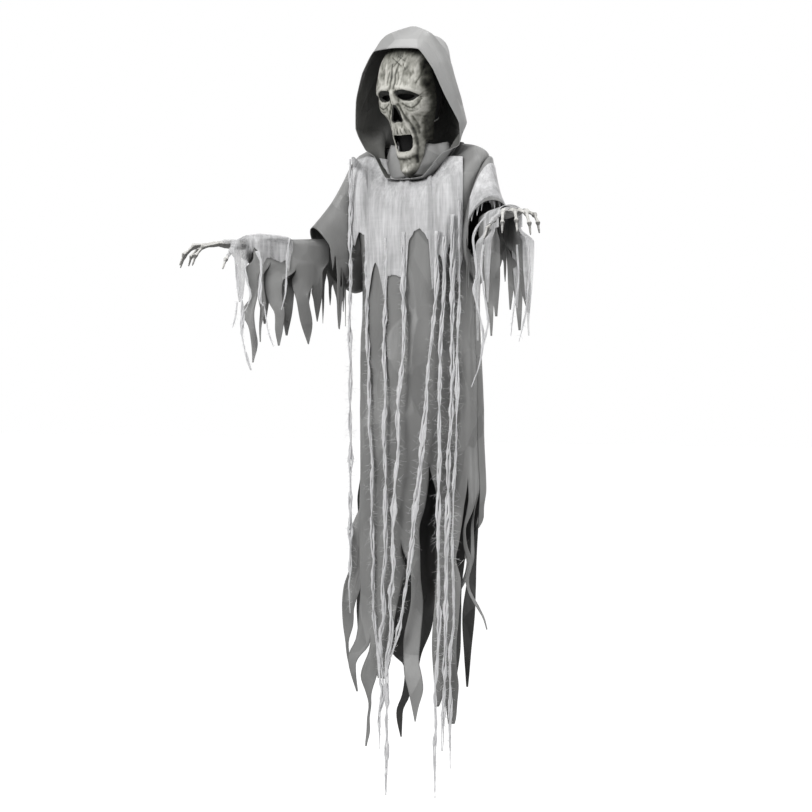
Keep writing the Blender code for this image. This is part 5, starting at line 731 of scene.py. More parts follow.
def make_hood():
    points = [hood_point(j / HOOD_COLUMNS, i / HOOD_ROWS) for i in range(HOOD_ROWS + 1) for j in range(HOOD_COLUMNS)]
    faces = []
    for face in grid_faces(HOOD_ROWS + 1, HOOD_COLUMNS, True):
        place = sum((points[i] for i in face), Vector()) / 4
        if place.z > -0.02 and abs(place.x) < HOOD_SLIT[0] and abs(place.y) < HOOD_SLIT[1]:
            continue
        faces.append(face)
    # The throat of the hood, turned in below the chin
    start = len(points)
    for i in range(COLLAR_ROWS + 1):
        v = i / COLLAR_ROWS
        for j in range(COLLAR_COLUMNS + 1):
            turn = mix(-COLLAR_TURN, COLLAR_TURN, j / COLLAR_COLUMNS)
            half_width = mix(*COLLAR_HALF_WIDTHS, v) * (1 + 0.05 * math.sin(9 * turn + 3 * v))
            points.append(Vector((half_width * math.sin(turn), -mix(*COLLAR_DEPTHS, v) * math.cos(turn),
                                  mix(*COLLAR_HEIGHTS, v) + 3 * MM * math.sin(5 * turn + 1))))
    faces += grid_faces(COLLAR_ROWS + 1, COLLAR_COLUMNS + 1, start=start)
    piece = finish_cloth("hood_cloth", points, faces, HOOD_CLOTH, CLOTH, hood_strength,
                         lambda place: Vector((0, 0.01, -0.16)) if place.z > -0.2 else Vector((0, 0.01, place.z)),
                         HOOD_INSIDE_SHADED)
    declare(piece, "torso", "hood_cloth", ["hood"], "draped", ["crown_cup", "robe_front_cloth"], 0.62, 0.62)


# Arms and sleeves

ARM_YAW = math.radians(38)
SHOULDER = (0.150, 0.015, -0.300)
ELBOW_REACH = 0.111
ELBOW_DROPS = {"right": 0.505, "left": 0.455}
SLEEVE_TURN = math.radians(31)
SLEEVE_TOP_LEVEL = 0.285
SLEEVE_FOOT_LEVEL = 0.70
SLEEVE_OUT = 6.4 * MM
SLEEVE_END_DROP = 0.025
SLEEVE_END_HALF_HEIGHT = 0.0685
SLEEVE_END_LEAN = 0.041
SLEEVE_END_HALF_WIDTH = 0.052
SLEEVE_SAG = 0.012
SLEEVE_RAG = 0.15
FOREARM_RADIUS = 0.015
SLEEVE_RISE = FOREARM_RADIUS + 1.2 * MM
CUFF_RISE = SLEEVE_RISE + 2.3 * MM
DRAPE_DROP = 0.032
DRAPE_RAG = 0.25


def reach(side):
    return Vector((side * math.sin(ARM_YAW), -math.cos(ARM_YAW), 0))


def side_way(side):
    """Level direction across an arm, toward the figure's front and middle."""
    way = reach(side)
    return Vector((side * way.y, -side * way.x, 0))


def elbow(side_name):
    side = SIDES[side_name]
    place = Vector((side * SHOULDER[0], SHOULDER[1], 0)) + reach(side) * ELBOW_REACH
    return Vector((place.x, place.y, -ELBOW_DROPS[side_name]))


def upper_sleeve_point(side_name, angle, v):
    """A point of an upper sleeve at an angle from its ridge, v from 0 at the armhole to 1 at its open end."""
    side = SIDES[side_name]
    level = mix(SLEEVE_TOP_LEVEL, SLEEVE_FOOT_LEVEL, (1 - math.cos(angle)) / 2)
    turn = side * (math.pi / 2 - SLEEVE_TURN * math.sin(angle))
    root = raised(robe_point, turn, level, SLEEVE_OUT)
    end_centre = elbow(side_name) + DOWN * SLEEVE_END_DROP
    ridge = reach(side) * SLEEVE_END_LEAN + UP * SLEEVE_END_HALF_HEIGHT
    end = end_centre + ridge * math.cos(angle) + side_way(side) * SLEEVE_END_HALF_WIDTH * math.sin(angle)
    place = mix(root, end, min(v, 1.0)) + DOWN * SLEEVE_SAG * math.sin(math.pi * min(v, 1.0))
    if v > 1:
        place += DOWN * SLEEVE_RAG * (v - 1)
    return place


def draped_point(side_name, near_reach, far_reach, half_width, rise, way, u, v):
    """A point of cloth over a forearm, way 1 or -1 for its two sides, u along the arm, v down the side."""
    side = SIDES[side_name]
    angle = math.pi / 2 * min(v / 0.6, 1.0)
    across = way * half_width * math.sin(angle)
    height = rise * math.cos(angle) if v <= 0.6 else 0.0
    if v > 0.6:
        height -= DRAPE_DROP * (min(v, 1.0) - 0.6) / 0.4
    if v > 1:
        height -= DRAPE_RAG * (v - 1)
    return elbow(side_name) + reach(side) * mix(near_reach, far_reach, u) + side_way(side) * across + UP * height


def profile_place(surface, rag, column_share, middle_share, w):
    """A point of a plain rag, which narrows from its slits to its tip like a torn leaf."""
    s = w / rag["tip"]
    width = 1 - smoothstep((s - rag["part"]) / 0.25) * 0.35 - 0.65 * max(0.0, s - rag["part"]) ** 1.3
    width += 0.12 * math.sin(9 * s + 5 * middle_share) * (1 - s) * smoothstep(s * 4)
    drift = rag.get("drift", 0.0) * s * s
    return surface(mix(middle_share, column_share, clamp(width, 0.05, 1.1)) + drift, 1 + w)


def torn_grid(surface, across, row_shares, rags, rows_a_rag, spread=1):
    """As ragged_grid, with plain rags; each row of a rag joins its neighbour until they part."""
    columns = across * spread + 1
    points = [surface(j / (columns - 1), v) for v in row_shares for j in range(columns)]
    faces = grid_faces(len(row_shares), columns)
    for rag in rags:
        first, last = (round(c * spread) for c in rag["columns"])
        middle_share = (first + last) / 2 / (columns - 1)
        above = {j: (len(row_shares) - 1) * columns + j for j in range(first, last + 1)}
        for k in range(1, rows_a_rag + 1):
            w = rag["tip"] * k / rows_a_rag
            row = {j: len(points) + n for n, j in enumerate(range(first, last + 1))}
            points += [profile_place(surface, rag, j / (columns - 1), middle_share, w) for j in row]
            faces += [(above[j], row[j], row[j + 1], above[j + 1]) for j in range(first, last)]
            above = row
    return points, faces


def torn_edge(count, shortest, longest, columns, seed, width=1.0):
    """Plain rags all along an edge, of uneven width and length."""
    chance = random.Random(seed)
    rags = []
    place = 0.0
    while place < columns - 0.3:
        wide = min(chance.uniform(0.5, 1.6) * columns / count, columns - place)
        rags.append({"columns": (place, place + wide * width), "tip": chance.uniform(shortest, longest),
                     "part": chance.uniform(0.0, 0.3), "drift": chance.uniform(-0.006, 0.006)})
        place += wide
    return rags


UPPER_SLEEVE_RAGS = [
    {"columns": (0, 2), "tip": 0.72, "part": 0.12, "drift": 0.004},
    {"columns": (2, 3), "tip": 0.50, "part": 0.10, "drift": 0.0},
    {"columns": (3, 4), "tip": 0.98, "part": 0.05, "drift": 0.004},
    {"columns": (4, 5.2), "tip": 0.34, "part": 0.0, "drift": 0.0},
    {"columns": (11, 12), "tip": 0.30, "part": 0.0, "drift": 0.0},
    {"columns": (12, 13), "tip": 1.05, "part": 0.05, "drift": -0.004},
    {"columns": (13, 14), "tip": 0.62, "part": 0.10, "drift": 0.0},
    {"columns": (14, 16), "tip": 0.68, "part": 0.10, "drift": -0.004},
]


def arm_centre(side_name):
    """For a place near an arm: the nearest point of the line from its shoulder to its elbow and on to its wrist."""
    start = Vector((SIDES[side_name] * SHOULDER[0], SHOULDER[1], SHOULDER[2]))
    bend = elbow(side_name)
    end = bend + reach(SIDES[side_name]) * 0.25

    def nearest(place):
        best = None
        for a, b in ((start, bend), (bend, end)):
            t = clamp((place - a).dot(b - a) / (b - a).length_squared)
            spot = mix(a, b, t)
            if best is None or (place - spot).length < (place - best).length:
                best = spot
        return best

    return nearest


def make_upper_sleeve(side_name):
    points, faces = torn_grid(
        lambda u, v: upper_sleeve_point(side_name, math.pi + math.tau * u, v), 16,
        [k / 26 for k in range(27)], UPPER_SLEEVE_RAGS, 20, 5)
    piece = finish_cloth(
        "sleeve_upper_" + side_name + "_cloth", points, faces, ROBE_CLOTH, CLOTH,
        lambda place: 4.0 * MM * smoothstep((SHOULDER[2] - 0.09 - place.z) / 0.06), arm_centre(side_name))
    declare(piece, "torso", "robe_cloth", ["sleeve_upper_" + side_name], "hung", ["robe_front_cloth"], 0.44, 0.38)


# Lower sleeves: a drape over the forearm, and strips that hang from it. Reach along the arm from the elbow.
LOWER_SLEEVE_REACH = (0.004, 0.200)
LOWER_HALF_WIDTH = 0.024
CUFF_REACH = (0.075, 0.236)
CUFF_HALF_WIDTH = 0.0270
DRAPE_COLUMNS = 9
# For each side of each arm: the strip's columns, how deep its slits start and where it shows down its length
LOWER_SLEEVE_RAGS = {
    ("right", 1): [
        {"columns": (0, 2), "slits": (0.0, 0.24), "near": 0.0, "keys": [
            (0.25, -0.238, -0.272), (0.36, -0.240, -0.262), (0.46, -0.244, -0.258), (0.60, -0.250, -0.252)]},
        {"columns": (2, 4), "slits": (0.24, 0.10), "near": 0.004, "keys": [
            (0.20, -0.274, -0.312), (0.40, -0.270, -0.300), (0.62, -0.262, -0.290), (0.82, -0.270, -0.273)]},
        {"columns": (4, 7), "slits": (0.10, 0.04), "near": 0.0, "keys": [
            (0.10, -0.330, -0.372), (0.30, -0.334, -0.374), (0.42, -0.332, -0.366), (0.52, -0.328, -0.352),
            (0.70, -0.332, -0.350), (0.84, -0.340, -0.344)]},
        {"columns": (7, 8), "slits": (0.04, 0.08), "near": -0.004, "keys": [
            (0.20, -0.378, -0.388), (0.44, -0.372, -0.386), (0.64, -0.382, -0.388), (0.80, -0.384, -0.386)]},
        {"columns": (8, 9), "slits": (0.08, 0.0), "near": 0.003, "keys": [
            (0.05, -0.390, -0.425), (0.35, -0.391, -0.407), (0.51, -0.398, -0.428), (0.66, -0.396, -0.412),
            (0.82, -0.391, -0.406), (1.0, -0.401, -0.404)]},
    ],
    ("right", -1): [
        {"columns": (0, 3), "slits": (0.0, 0.15), "near": 0.0, "keys": [
            (0.10, -0.262, -0.300), (0.35, -0.270, -0.292), (0.55, -0.281, -0.284)]},
        {"columns": (3, 6), "slits": (0.15, 0.12), "near": 0.0, "keys": [
            (0.20, -0.306, -0.352), (0.50, -0.312, -0.340), (0.74, -0.324, -0.328)]},
        {"columns": (6, 9), "slits": (0.12, 0.0), "near": 0.0, "keys": [
            (0.15, -0.360, -0.400), (0.40, -0.366, -0.392), (0.62, -0.376, -0.380)]},
    ],
    ("left", 1): [
        {"columns": (0, 3), "slits": (0.0, 0.12), "near": 0.0, "keys": [
            (0.10, 0.140, 0.160), (0.45, 0.146, 0.162), (0.80, 0.152, 0.156)]},
        {"columns": (3, 6), "slits": (0.12, 0.12), "near": 0.0, "keys": [
            (0.20, 0.142, 0.168), (0.55, 0.150, 0.166), (0.95, 0.158, 0.161)]},
        {"columns": (6, 9), "slits": (0.12, 0.0), "near": 0.0, "keys": [
            (0.20, 0.150, 0.176), (0.50, 0.158, 0.176), (0.78, 0.166, 0.170)]},
    ],
    ("left", -1): [
        {"columns": (0, 3), "slits": (0.0, 0.10), "near": 0.0, "keys": [
            (0.10, 0.196, 0.214), (0.40, 0.200, 0.216), (0.70, 0.204, 0.207)]},
        {"columns": (3, 6), "slits": (0.10, 0.14), "near": 0.0, "keys": [
            (0.20, 0.204, 0.230), (0.50, 0.210, 0.232), (0.90, 0.222, 0.226)]},
        {"columns": (6, 9), "slits": (0.14, 0.0), "near": 0.0, "keys": [
            (0.20, 0.214, 0.238), (0.50, 0.222, 0.246), (0.75, 0.240, 0.244)]},
    ],
}
CUFF_RAGS = {
    ("right", 1): [
        {"columns": (0, 1), "slits": (0.0, 0.0), "near": 0.006, "keys": [
            (0.06, -0.312, -0.326), (0.20, -0.316, -0.325), (0.36, -0.322, -0.326)]},
        {"columns": (3, 4), "slits": (0.0, 0.0), "near": 0.005, "keys": [
            (0.08, -0.350, -0.362), (0.30, -0.356, -0.362), (0.45, -0.358, -0.361)]},
        {"columns": (6, 9), "slits": (0.0, 0.0), "near": 0.008, "keys": [
            (0.05, -0.410, -0.449), (0.18, -0.412, -0.447), (0.32, -0.414, -0.440), (0.42, -0.414, -0.420),
            (0.75, -0.411, -0.415), (1.06, -0.409, -0.412)]},
    ],
    ("right", -1): [
        {"columns": (1, 2), "slits": (0.0, 0.0), "near": -0.006, "keys": [
            (0.08, -0.330, -0.340), (0.40, -0.336, -0.342), (0.62, -0.338, -0.341)]},
        {"columns": (5, 6), "slits": (0.0, 0.0), "near": -0.006, "keys": [
            (0.08, -0.384, -0.398), (0.30, -0.388, -0.396), (0.45, -0.391, -0.394)]},
    ],
    ("left", 1): [
        {"columns": (0, 2), "slits": (0.0, 0.0), "near": 0.0, "keys": [
            (0.10, 0.124, 0.140), (0.50, 0.124, 0.134), (1.0, 0.127, 0.131)]},
        {"columns": (5, 7), "slits": (0.0, 0.0), "near": 0.006, "keys": [
            (0.10, 0.138, 0.156), (0.40, 0.141, 0.152), (0.66, 0.146, 0.149)]},
    ],
    ("left", -1): [
        {"columns": (1, 3), "slits": (0.0, 0.0), "near": 0.0, "keys": [
            (0.10, 0.206, 0.226), (0.40, 0.210, 0.224), (0.70, 0.216, 0.219)]},
        {"columns": (5, 8), "slits": (0.0, 0.0), "near": 0.006, "keys": [
            (0.10, 0.226, 0.252), (0.40, 0.228, 0.250), (0.80, 0.236, 0.242), (0.96, 0.239, 0.241)]},
    ],
}


def make_draped(name, side_name, span, half_width, rise, rags, material, thickness, strength, slot, size):
    points, faces = [], []
    for way in (1, -1):
        grid_points, grid_quads = ragged_grid(
            lambda u, v: draped_point(side_name, *span, half_width, rise, way, u, v), DRAPE_COLUMNS,
            [k / 20 for k in range(21)], rags[(side_name, way)], 34, 6)
        start = len(points)
        points += grid_points
        faces += [tuple(start + i for i in quad) for quad in grid_quads]
    piece = finish_cloth(name + "_" + side_name + "_cloth", points, faces, material, thickness, strength,
                         arm_centre(side_name))
    declare(piece, "forearm_" + side_name, slot, [name + "_" + side_name], "draped", ["forearm_tube_" + side_name],
            *size)


# Gauze over the chest, in open cloth and in twisted strands, and over the left shoulder
GAUZE = 1.0 * MM
GAUZE_OUT = 2.6 * MM
STRAND_OUT = 11 * MM
STRAND_FREE_OUT = 20 * MM
STRAND_LENGTH = 1.295
STRAND_TOP = -0.516
SHOULDER_FROM = math.radians(-45)
SHOULDER_TO = math.radians(67.5)
SHOULDER_SHARES = (0.125, 0.875)
SHOULDER_OUT = 2.7 * MM
# Strands: a seed for each one's noise, the share of STRAND_LENGTH where it starts (below zero it lies on the bib),
# how far it hangs before the others, its half width, and then, share by share, where it shows across the view.
STRANDS = [
    {"seed": 0, "first": -0.17, "near": 0.000, "half": 0.005, "path": [(0.068, -0.170), (0.178, -0.171),
         (0.428, -0.170), (0.677, -0.172)]},
    {"seed": 2, "first": -0.02, "near": 0.000, "half": 0.005, "path": [(0.077, -0.130), (0.178, -0.128),
         (0.282, -0.124), (0.400, -0.119), (0.524, -0.117), (0.649, -0.114), (0.714, -0.108),
         (0.778, -0.098), (0.824, -0.091), (0.856, -0.099), (0.922, -0.099)]},
    {"seed": 5, "first": -0.02, "near": 0.006, "half": 0.005, "path": [(0.077, -0.084), (0.178, -0.088),
         (0.254, -0.084), (0.354, -0.087), (0.559, -0.084), (0.618, -0.093), (0.667, -0.088),
         (0.714, -0.096), (0.786, -0.088)]},
    {"seed": 7, "first": -0.03, "near": 0.012, "half": 0.006, "path": [(0.077, -0.042), (0.178, -0.041),
         (0.241, -0.048), (0.308, -0.056), (0.376, -0.056), (0.459, -0.063), (0.524, -0.069),
         (0.586, -0.065), (0.649, -0.073), (0.701, -0.069), (0.763, -0.081), (0.839, -0.081),
         (1.003, -0.084)]},
    {"seed": 12, "first": -0.03, "near": 0.018, "half": 0.006, "path": [(0.077, 0.036), (0.132, 0.029), (0.213, 0.017),
         (0.282, 0.012), (0.350, 0.004), (0.431, -0.007), (0.485, -0.017), (0.548, -0.022),
         (0.649, -0.042), (0.714, -0.058), (0.763, -0.079)]},
    {"seed": 14, "first": -0.02, "near": 0.000, "half": 0.005, "path": [(0.077, 0.054), (0.178, 0.045), (0.322, 0.042),
         (0.446, 0.041), (0.524, 0.040), (0.680, 0.042), (0.745, 0.038), (0.808, 0.033), (1.003, 0.032)]},
    {"seed": 16, "first": -0.06, "near": 0.002, "half": 0.006, "path": [(0.077, 0.074), (0.178, 0.074), (0.295, 0.072),
         (0.363, 0.065), (0.431, 0.065), (0.559, 0.060), (0.714, 0.057), (0.917, 0.050)]},
    {"seed": 18, "first": -0.17, "near": 0.010, "half": 0.004, "path": [(0.077, 0.090), (0.178, 0.086), (0.295, 0.084),
         (0.376, 0.081), (0.444, 0.076), (0.559, 0.074), (0.680, 0.076), (0.739, 0.069), (0.948, 0.069)]},
]


def robe_level(z):
    """The robe's level at a height below its shoulders."""
    if z > -SLIT_DROP:
        drops = [(row[0], k / (len(ROBE_RINGS) - 1)) for k, row in enumerate(ROBE_RINGS)]
        return looked_up(drops, (-z - NECK_DROP) / (SLIT_DROP - NECK_DROP))
    return 1 + (-z - SLIT_DROP) / (HEM_DROP - SLIT_DROP)


def front_depth(across, z):
    """How near the view the robe's surface is, at a place across it."""
    turns = [VIEW_TURN + math.radians(angle) for angle in range(-84, 85, 6)]
    places = [robe_point(turn, robe_level(z)) for turn in turns]
    return looked_up(sorted((place.dot(ACROSS_VIEW), place.dot(TO_VIEW)) for place in places), across)


# The bib as it hangs: across the view, its torn foot, and its top under the hood
BIB_ACROSS = (-0.166, 0.098)
BIB_TOP = [(-0.166, -0.296), (-0.130, -0.286), (-0.060, -0.300), (0.020, -0.310), (0.070, -0.296), (0.098, -0.300)]
BIB_FOOT = [(-0.166, -0.500), (-0.160, -0.505), (-0.150, -0.470), (-0.136, -0.480), (-0.128, -0.640), (-0.118, -0.570),
            (-0.110, -0.545), (-0.102, -0.560), (-0.094, -0.600), (-0.086, -0.640), (-0.080, -0.582), (-0.066, -0.578),
            (-0.048, -0.584), (-0.040, -0.640), (-0.034, -0.560), (-0.030, -0.500), (-0.016, -0.476), (-0.004, -0.470),
            (0.008, -0.482), (0.018, -0.500), (0.026, -0.620), (0.036, -0.560), (0.042, -0.530), (0.048, -0.540),
            (0.056, -0.600), (0.062, -0.520), (0.070, -0.500), (0.078, -0.530), (0.086, -0.600), (0.098, -0.540)]
BIB_FINE_COLUMNS = 150
BIB_FINE_ROWS = 60


def caster(pieces):
    """A function that finds how near the view the pieces are at a place, from before or behind; None beside them."""
    bm = bmesh.new()
    for piece in pieces:
        copy = piece.data.copy()
        copy.transform(piece.matrix_world)
        bm.from_mesh(copy)
        bpy.data.meshes.remove(copy)
    tree = BVHTree.FromBMesh(bm)
    bm.free()

    def near(across, z, way=1):
        hit = tree.ray_cast(ACROSS_VIEW * across + UP * z + TO_VIEW * way, -TO_VIEW * way)[0]
        return hit.dot(TO_VIEW) if hit else None

    return near


def laid_depths(near, lines, columns, rows, out, level, way=1):
    """Depths of a cloth laid over pieces between a top and a foot line, evened so that nothing pokes through."""
    span, top, foot = lines
    grid = []
    for i in range(rows + 1):
        row = []
        for j in range(columns + 1):
            across = mix(*span, j / columns)
            row.append(near(across, mix(looked_up(top, across), looked_up(foot, across), i / rows), way))
        grid.append(row)
    for i in range(rows + 1):
        for j in range(columns + 1):
            if grid[i][j] is None:
                grid[i][j] = grid[i - 1][j] if i and grid[i - 1][j] is not None else (
                    grid[i][j - 1] if j and grid[i][j - 1] is not None else level)

    def around(i, j, size):
        return [grid[a][b] for a in range(max(i - size, 0), min(i + size, rows) + 1)
                for b in range(max(j - size, 0), min(j + size, columns) + 1)]

    pick = max if way > 0 else min
    grid = [[pick(around(i, j, 2)) for j in range(columns + 1)] for i in range(rows + 1)]
    for _ in range(2):
        grid = [[sum(around(i, j, 1)) / len(around(i, j, 1)) for j in range(columns + 1)] for i in range(rows + 1)]
    return [[value + out * way for value in row] for row in grid]


def laid_points(depths, lines, columns, rows, ragged):
    span, top, foot = lines
    points = []
    for i in range(rows + 1):
        for j in range(columns + 1):
            across = mix(*span, j / columns)
            foot_z = looked_up(foot, across) + ragged * noise.noise(Vector((across * 260, 1, 2)))
            z = mix(looked_up(top, across), foot_z, i / rows)
            ripple = 1.2 * MM * noise.noise(Vector((across * 90, z * 20, 4)))
            points.append(ACROSS_VIEW * across + TO_VIEW * (depths[i][j] + ripple) + UP * z)
    return points


def shoulder_gauze_point(u, v):
    angle = mix(SHOULDER_FROM, SHOULDER_TO, u)
    lift = SHOULDER_OUT if v <= 1 else SHOULDER_OUT + 4 * MM * smoothstep((v - 1) * 5)
    place = raised(lambda a, b: upper_sleeve_point("left", a, b), angle, mix(*SHOULDER_SHARES, min(v, 1)), -lift)
    return place + DOWN * max(0.0, v - 1) * 0.20


def make_gauze():
    near = caster([bpy.data.objects[name] for name in ("robe_front_cloth", "sleeve_upper_right_cloth")])
    lines = (BIB_ACROSS, BIB_TOP, BIB_FOOT)
    depths = laid_depths(near, lines, BIB_FINE_COLUMNS, BIB_FINE_ROWS, GAUZE_OUT, 0.05)
    points = laid_points(depths, lines, BIB_FINE_COLUMNS, BIB_FINE_ROWS, 3 * MM)
    bib = mesh_object("gauze_bib_cloth", points, grid_faces(BIB_FINE_ROWS + 1, BIB_FINE_COLUMNS + 1), GAUZE_CLOSE)
    thicken(bib, GAUZE)
    strands = make_strands()
    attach(bib, "torso")
    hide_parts("gauze_bib")

    rags = torn_edge(8, 0.05, 0.22, 10, 8)
    points, faces = torn_grid(shoulder_gauze_point, 10, [k / 34 for k in range(35)], rags, 9, 7)
    piece = finish_cloth("gauze_shoulder_cloth", points, faces, GAUZE_CLOSE, GAUZE,
                         lambda place: 2.5 * MM * smoothstep((SHOULDER[2] - 0.09 - place.z) / 0.06), arm_centre("left"))
    declare(piece, "torso", "gauze", ["gauze_shoulder"], "draped", ["sleeve_upper_left_cloth"], 0.20, 0.26)


YARNS = 5
YARN_SIDES = 5
STRAND_STEP = 7 * MM
STRAND_FULLNESS = 1.25
# Loose fibres: how far apart they start, and their radii from root to end, on the long strands and on the arms
TUFT_STEP = 4.5 * MM
HAIR_RADII = [0.32 * MM, 0.28 * MM, 0.24 * MM, 0.2 * MM, 0.12 * MM]
ARM_HAIR_RADII = [0.35 * MM, 0.3 * MM, 0.22 * MM, 0.12 * MM]
HAIR_SIDES = 3


def strand_centre(strand, w):
    """Middle of a strand at a share of its length below the bib; above it the strand lies on the bib."""
    across = along_keys(strand["path"], w)
    z = STRAND_TOP - w * STRAND_LENGTH
    near = front_depth(across, z) + mix(STRAND_OUT * 0.9, STRAND_FREE_OUT, smoothstep(w * 2))
    near += strand["near"] * smoothstep(w * 3)
    sway = 2.0 * MM * noise.noise(Vector((w * 14, strand["seed"] * 3.1, 0)))
    return ACROSS_VIEW * (across + sway) + TO_VIEW * near + UP * z


def strand_width(strand, w, tip):
    """Half width of a strand: it swells and thins unevenly, and frays to its tip."""
    swell = noise.noise(Vector((w * 22, strand["seed"] * 5.3, 2.0))) + 0.6 * noise.noise(
        Vector((w * 60, strand["seed"] * 2.1, 9.0)))
    frayed = mix(1.0, 0.45, smoothstep((w / tip - 0.88) / 0.12))
    return STRAND_FULLNESS * strand["half"] * clamp(0.86 + 0.85 * swell, 0.42, 1.6) * frayed


def sweep(points, faces, centres, radii, sides):
    """Adds a closed round thread along centres to a mesh's points and faces."""
    start = len(points)
    for i, (centre, radius) in enumerate(zip(centres, radii)):
        way = (centres[min(i + 1, len(centres) - 1)] - centres[max(i - 1, 0)]).normalized()
        side = way.cross(TO_VIEW).normalized()
        up = way.cross(side)
        for k in range(sides):
            angle = math.tau * k / sides
            points.append(centre + (side * math.cos(angle) + up * math.sin(angle)) * radius)
    for i in range(len(centres) - 1):
        for k in range(sides):
            a, b = start + i * sides + k, start + i * sides + (k + 1) % sides
            faces.append((a, b, b + sides, a + sides))
    faces.append(tuple(start + k for k in reversed(range(sides))))
    faces.append(tuple(start + (len(centres) - 1) * sides + k for k in range(sides)))


def make_strands():
    """The bib's long strands, each of five twisted yarns, in one piece."""
    points, faces = [], []
    for strand in STRANDS:
        tip = strand["path"][-1][0]
        count = max(12, int(tip * STRAND_LENGTH / STRAND_STEP))
        first = strand["first"]
        shares = [mix(first, tip, k / count) for k in range(count + 1)]
        middle = [strand_centre(strand, w) for w in shares]
        wide = [strand_width(strand, w, tip) for w in shares]
        for yarn in range(YARNS):
            phase = math.tau * yarn / YARNS + CHANCE.uniform(-0.4, 0.4)
            rate = CHANCE.uniform(38, 52) * (1 if yarn % 2 else 0.8)
            end = count if yarn < 2 else int(count * CHANCE.uniform(0.94, 1.0))
            line, thick = [], []
            for k in range(end + 1):
                w = shares[k]
                spin = phase + rate * w + 1.3 * noise.noise(Vector((w * 30, yarn, strand["seed"])))
                reach_out = wide[k] * 0.55
                line.append(middle[k] + ACROSS_VIEW * math.cos(spin) * reach_out
                            + TO_VIEW * math.sin(spin) * reach_out * 0.6)
                lump = 0.75 + 0.5 * noise.noise(Vector((w * 90, yarn * 3.0, strand["seed"])))
                thick.append(max(wide[k] * 0.42 * lump, 0.5 * MM))
            sweep(points, faces, line, thick, YARN_SIDES)
        # Loose fibres: fine hairs that stand off sideways, curl and end in the air
        for _ in range(int(tip * STRAND_LENGTH / TUFT_STEP)):
            w = CHANCE.uniform(first, tip * 0.985)
            hair_length = CHANCE.uniform(4, 13) * MM * (1.6 if 0.25 < w < 0.6 else 1.0)
            k = min(int((w - first) / (tip - first) * count), count)
            side = CHANCE.choice((-1, 1))
            way = ACROSS_VIEW * side + DOWN * CHANCE.uniform(-0.5, 1.6) + TO_VIEW * CHANCE.uniform(-0.2, 0.5)
            way.normalize()
            curl = CHANCE.uniform(-0.6, 0.6)
            root = middle[k] + ACROSS_VIEW * side * wide[k] * 0.55
            line = []
            for step in range(5):
                t = step / 4
                line.append(root + way * hair_length * t + DOWN * hair_length * curl * t * t)
            sweep(points, faces, line, HAIR_RADII, HAIR_SIDES)
    piece = mesh_object("gauze_strands", points, faces, STRAND)
    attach(piece, "torso")
    return piece


HAND_WRAP_REACH = 0.275


# Mask, on the head's own axis

MASK_WALL = 3 * MM
HEAD_CENTRE = Vector((0, -0.048, -0.166))
HEAD_MATRIX = Matrix.Translation(HEAD_CENTRE) @ Matrix.Rotation(math.radians(18), 4, "X")
JAW_FRONT = 0.050
JAW_TOP_DROP = 0.255
# Face outline down the head's own axis: height, half width, front depth, back depth, and squareness of the section
FACE_ROWS = [
    (0.146, 0.007, 0.003, 0.020, 2.0),
    (0.140, 0.020, 0.010, 0.062, 2.0),
    (0.128, 0.040, 0.026, 0.088, 2.1),
    (0.110, 0.055, 0.043, 0.104, 2.2),
    (0.088, 0.065, 0.062, 0.116, 2.3),
    (0.060, 0.070, 0.080, 0.122, 2.35),
    (0.041, 0.071, 0.088, 0.121, 2.3),
    (0.030, 0.070, 0.086, 0.118, 2.2),
    (0.010, 0.070, 0.084, 0.108, 2.05),
    (-0.010, 0.067, 0.083, 0.097, 1.95),
    (-0.030, 0.060, 0.080, 0.085, 1.9),
    (-0.045, 0.055, 0.079, 0.074, 1.9),
    (-0.060, 0.051, 0.079, 0.066, 1.95),
    (-0.080, 0.047, 0.077, 0.060, 2.0),
    (-0.100, 0.043, 0.076, 0.050, 2.05),
    (-0.115, 0.041, 0.079, 0.045, 2.1),
    (-0.130, 0.038, 0.075, 0.040, 2.1),
    (-0.148, 0.033, 0.077, 0.035, 2.1),
    (-0.164, 0.025, 0.066, 0.030, 2.0),
    (-0.176, 0.013, 0.046, 0.020, 2.0),
]
# Bumps and hollows: across, height, half sizes across and down, and how far they stand forward
FACE_RELIEF = [
    (0.027, 0.047, 0.018, 0.010, 0.0065),
    (0.028, 0.026, 0.017, 0.013, -0.0120),
    (0.000, 0.022, 0.008, 0.022, 0.0060),
    (0.050, 0.002, 0.014, 0.013, 0.0075),
    (0.044, -0.045, 0.013, 0.030, -0.0085),
    (0.018, -0.020, 0.007, 0.018, 0.0030),
    (0.000, -0.050, 0.020, 0.009, 0.0040),
    (0.000, -0.112, 0.022, 0.008, 0.0045),
    (0.000, -0.130, 0.022, 0.009, -0.0025),
    (0.000, -0.152, 0.020, 0.014, 0.0050),
    (0.050, 0.075, 0.012, 0.022, -0.0045),
]
EYE_HOLE = {"across": 0.0275, "height": 0.028, "half_width": 0.0185, "half_height": 0.0085}
EYE_SHARES = [(-1.0, 0.60), (-0.72, 1.0), (-0.30, 0.86), (0.15, 0.62), (0.60, 0.28), (1.0, -0.12),
              (0.72, -0.50), (0.35, -0.85), (-0.05, -1.0), (-0.45, -0.80), (-0.80, -0.25)]
NOSE_HOLE = {"across": 0.0, "height": -0.010, "half_width": 0.0125, "half_height": 0.019}
NOSE_SHARES = [(0.0, 1.0), (0.30, 0.80), (0.52, 0.25), (0.80, -0.35), (1.0, -0.80), (0.72, -1.0), (0.32, -0.92),
               (0.0, -0.72), (-0.32, -0.92), (-0.72, -1.0), (-1.0, -0.80), (-0.80, -0.35), (-0.52, 0.25), (-0.30, 0.80)]
MOUTH_HOLE = {"across": 0.0, "height": -0.081, "half_width": 0.0265, "half_height": 0.0205}
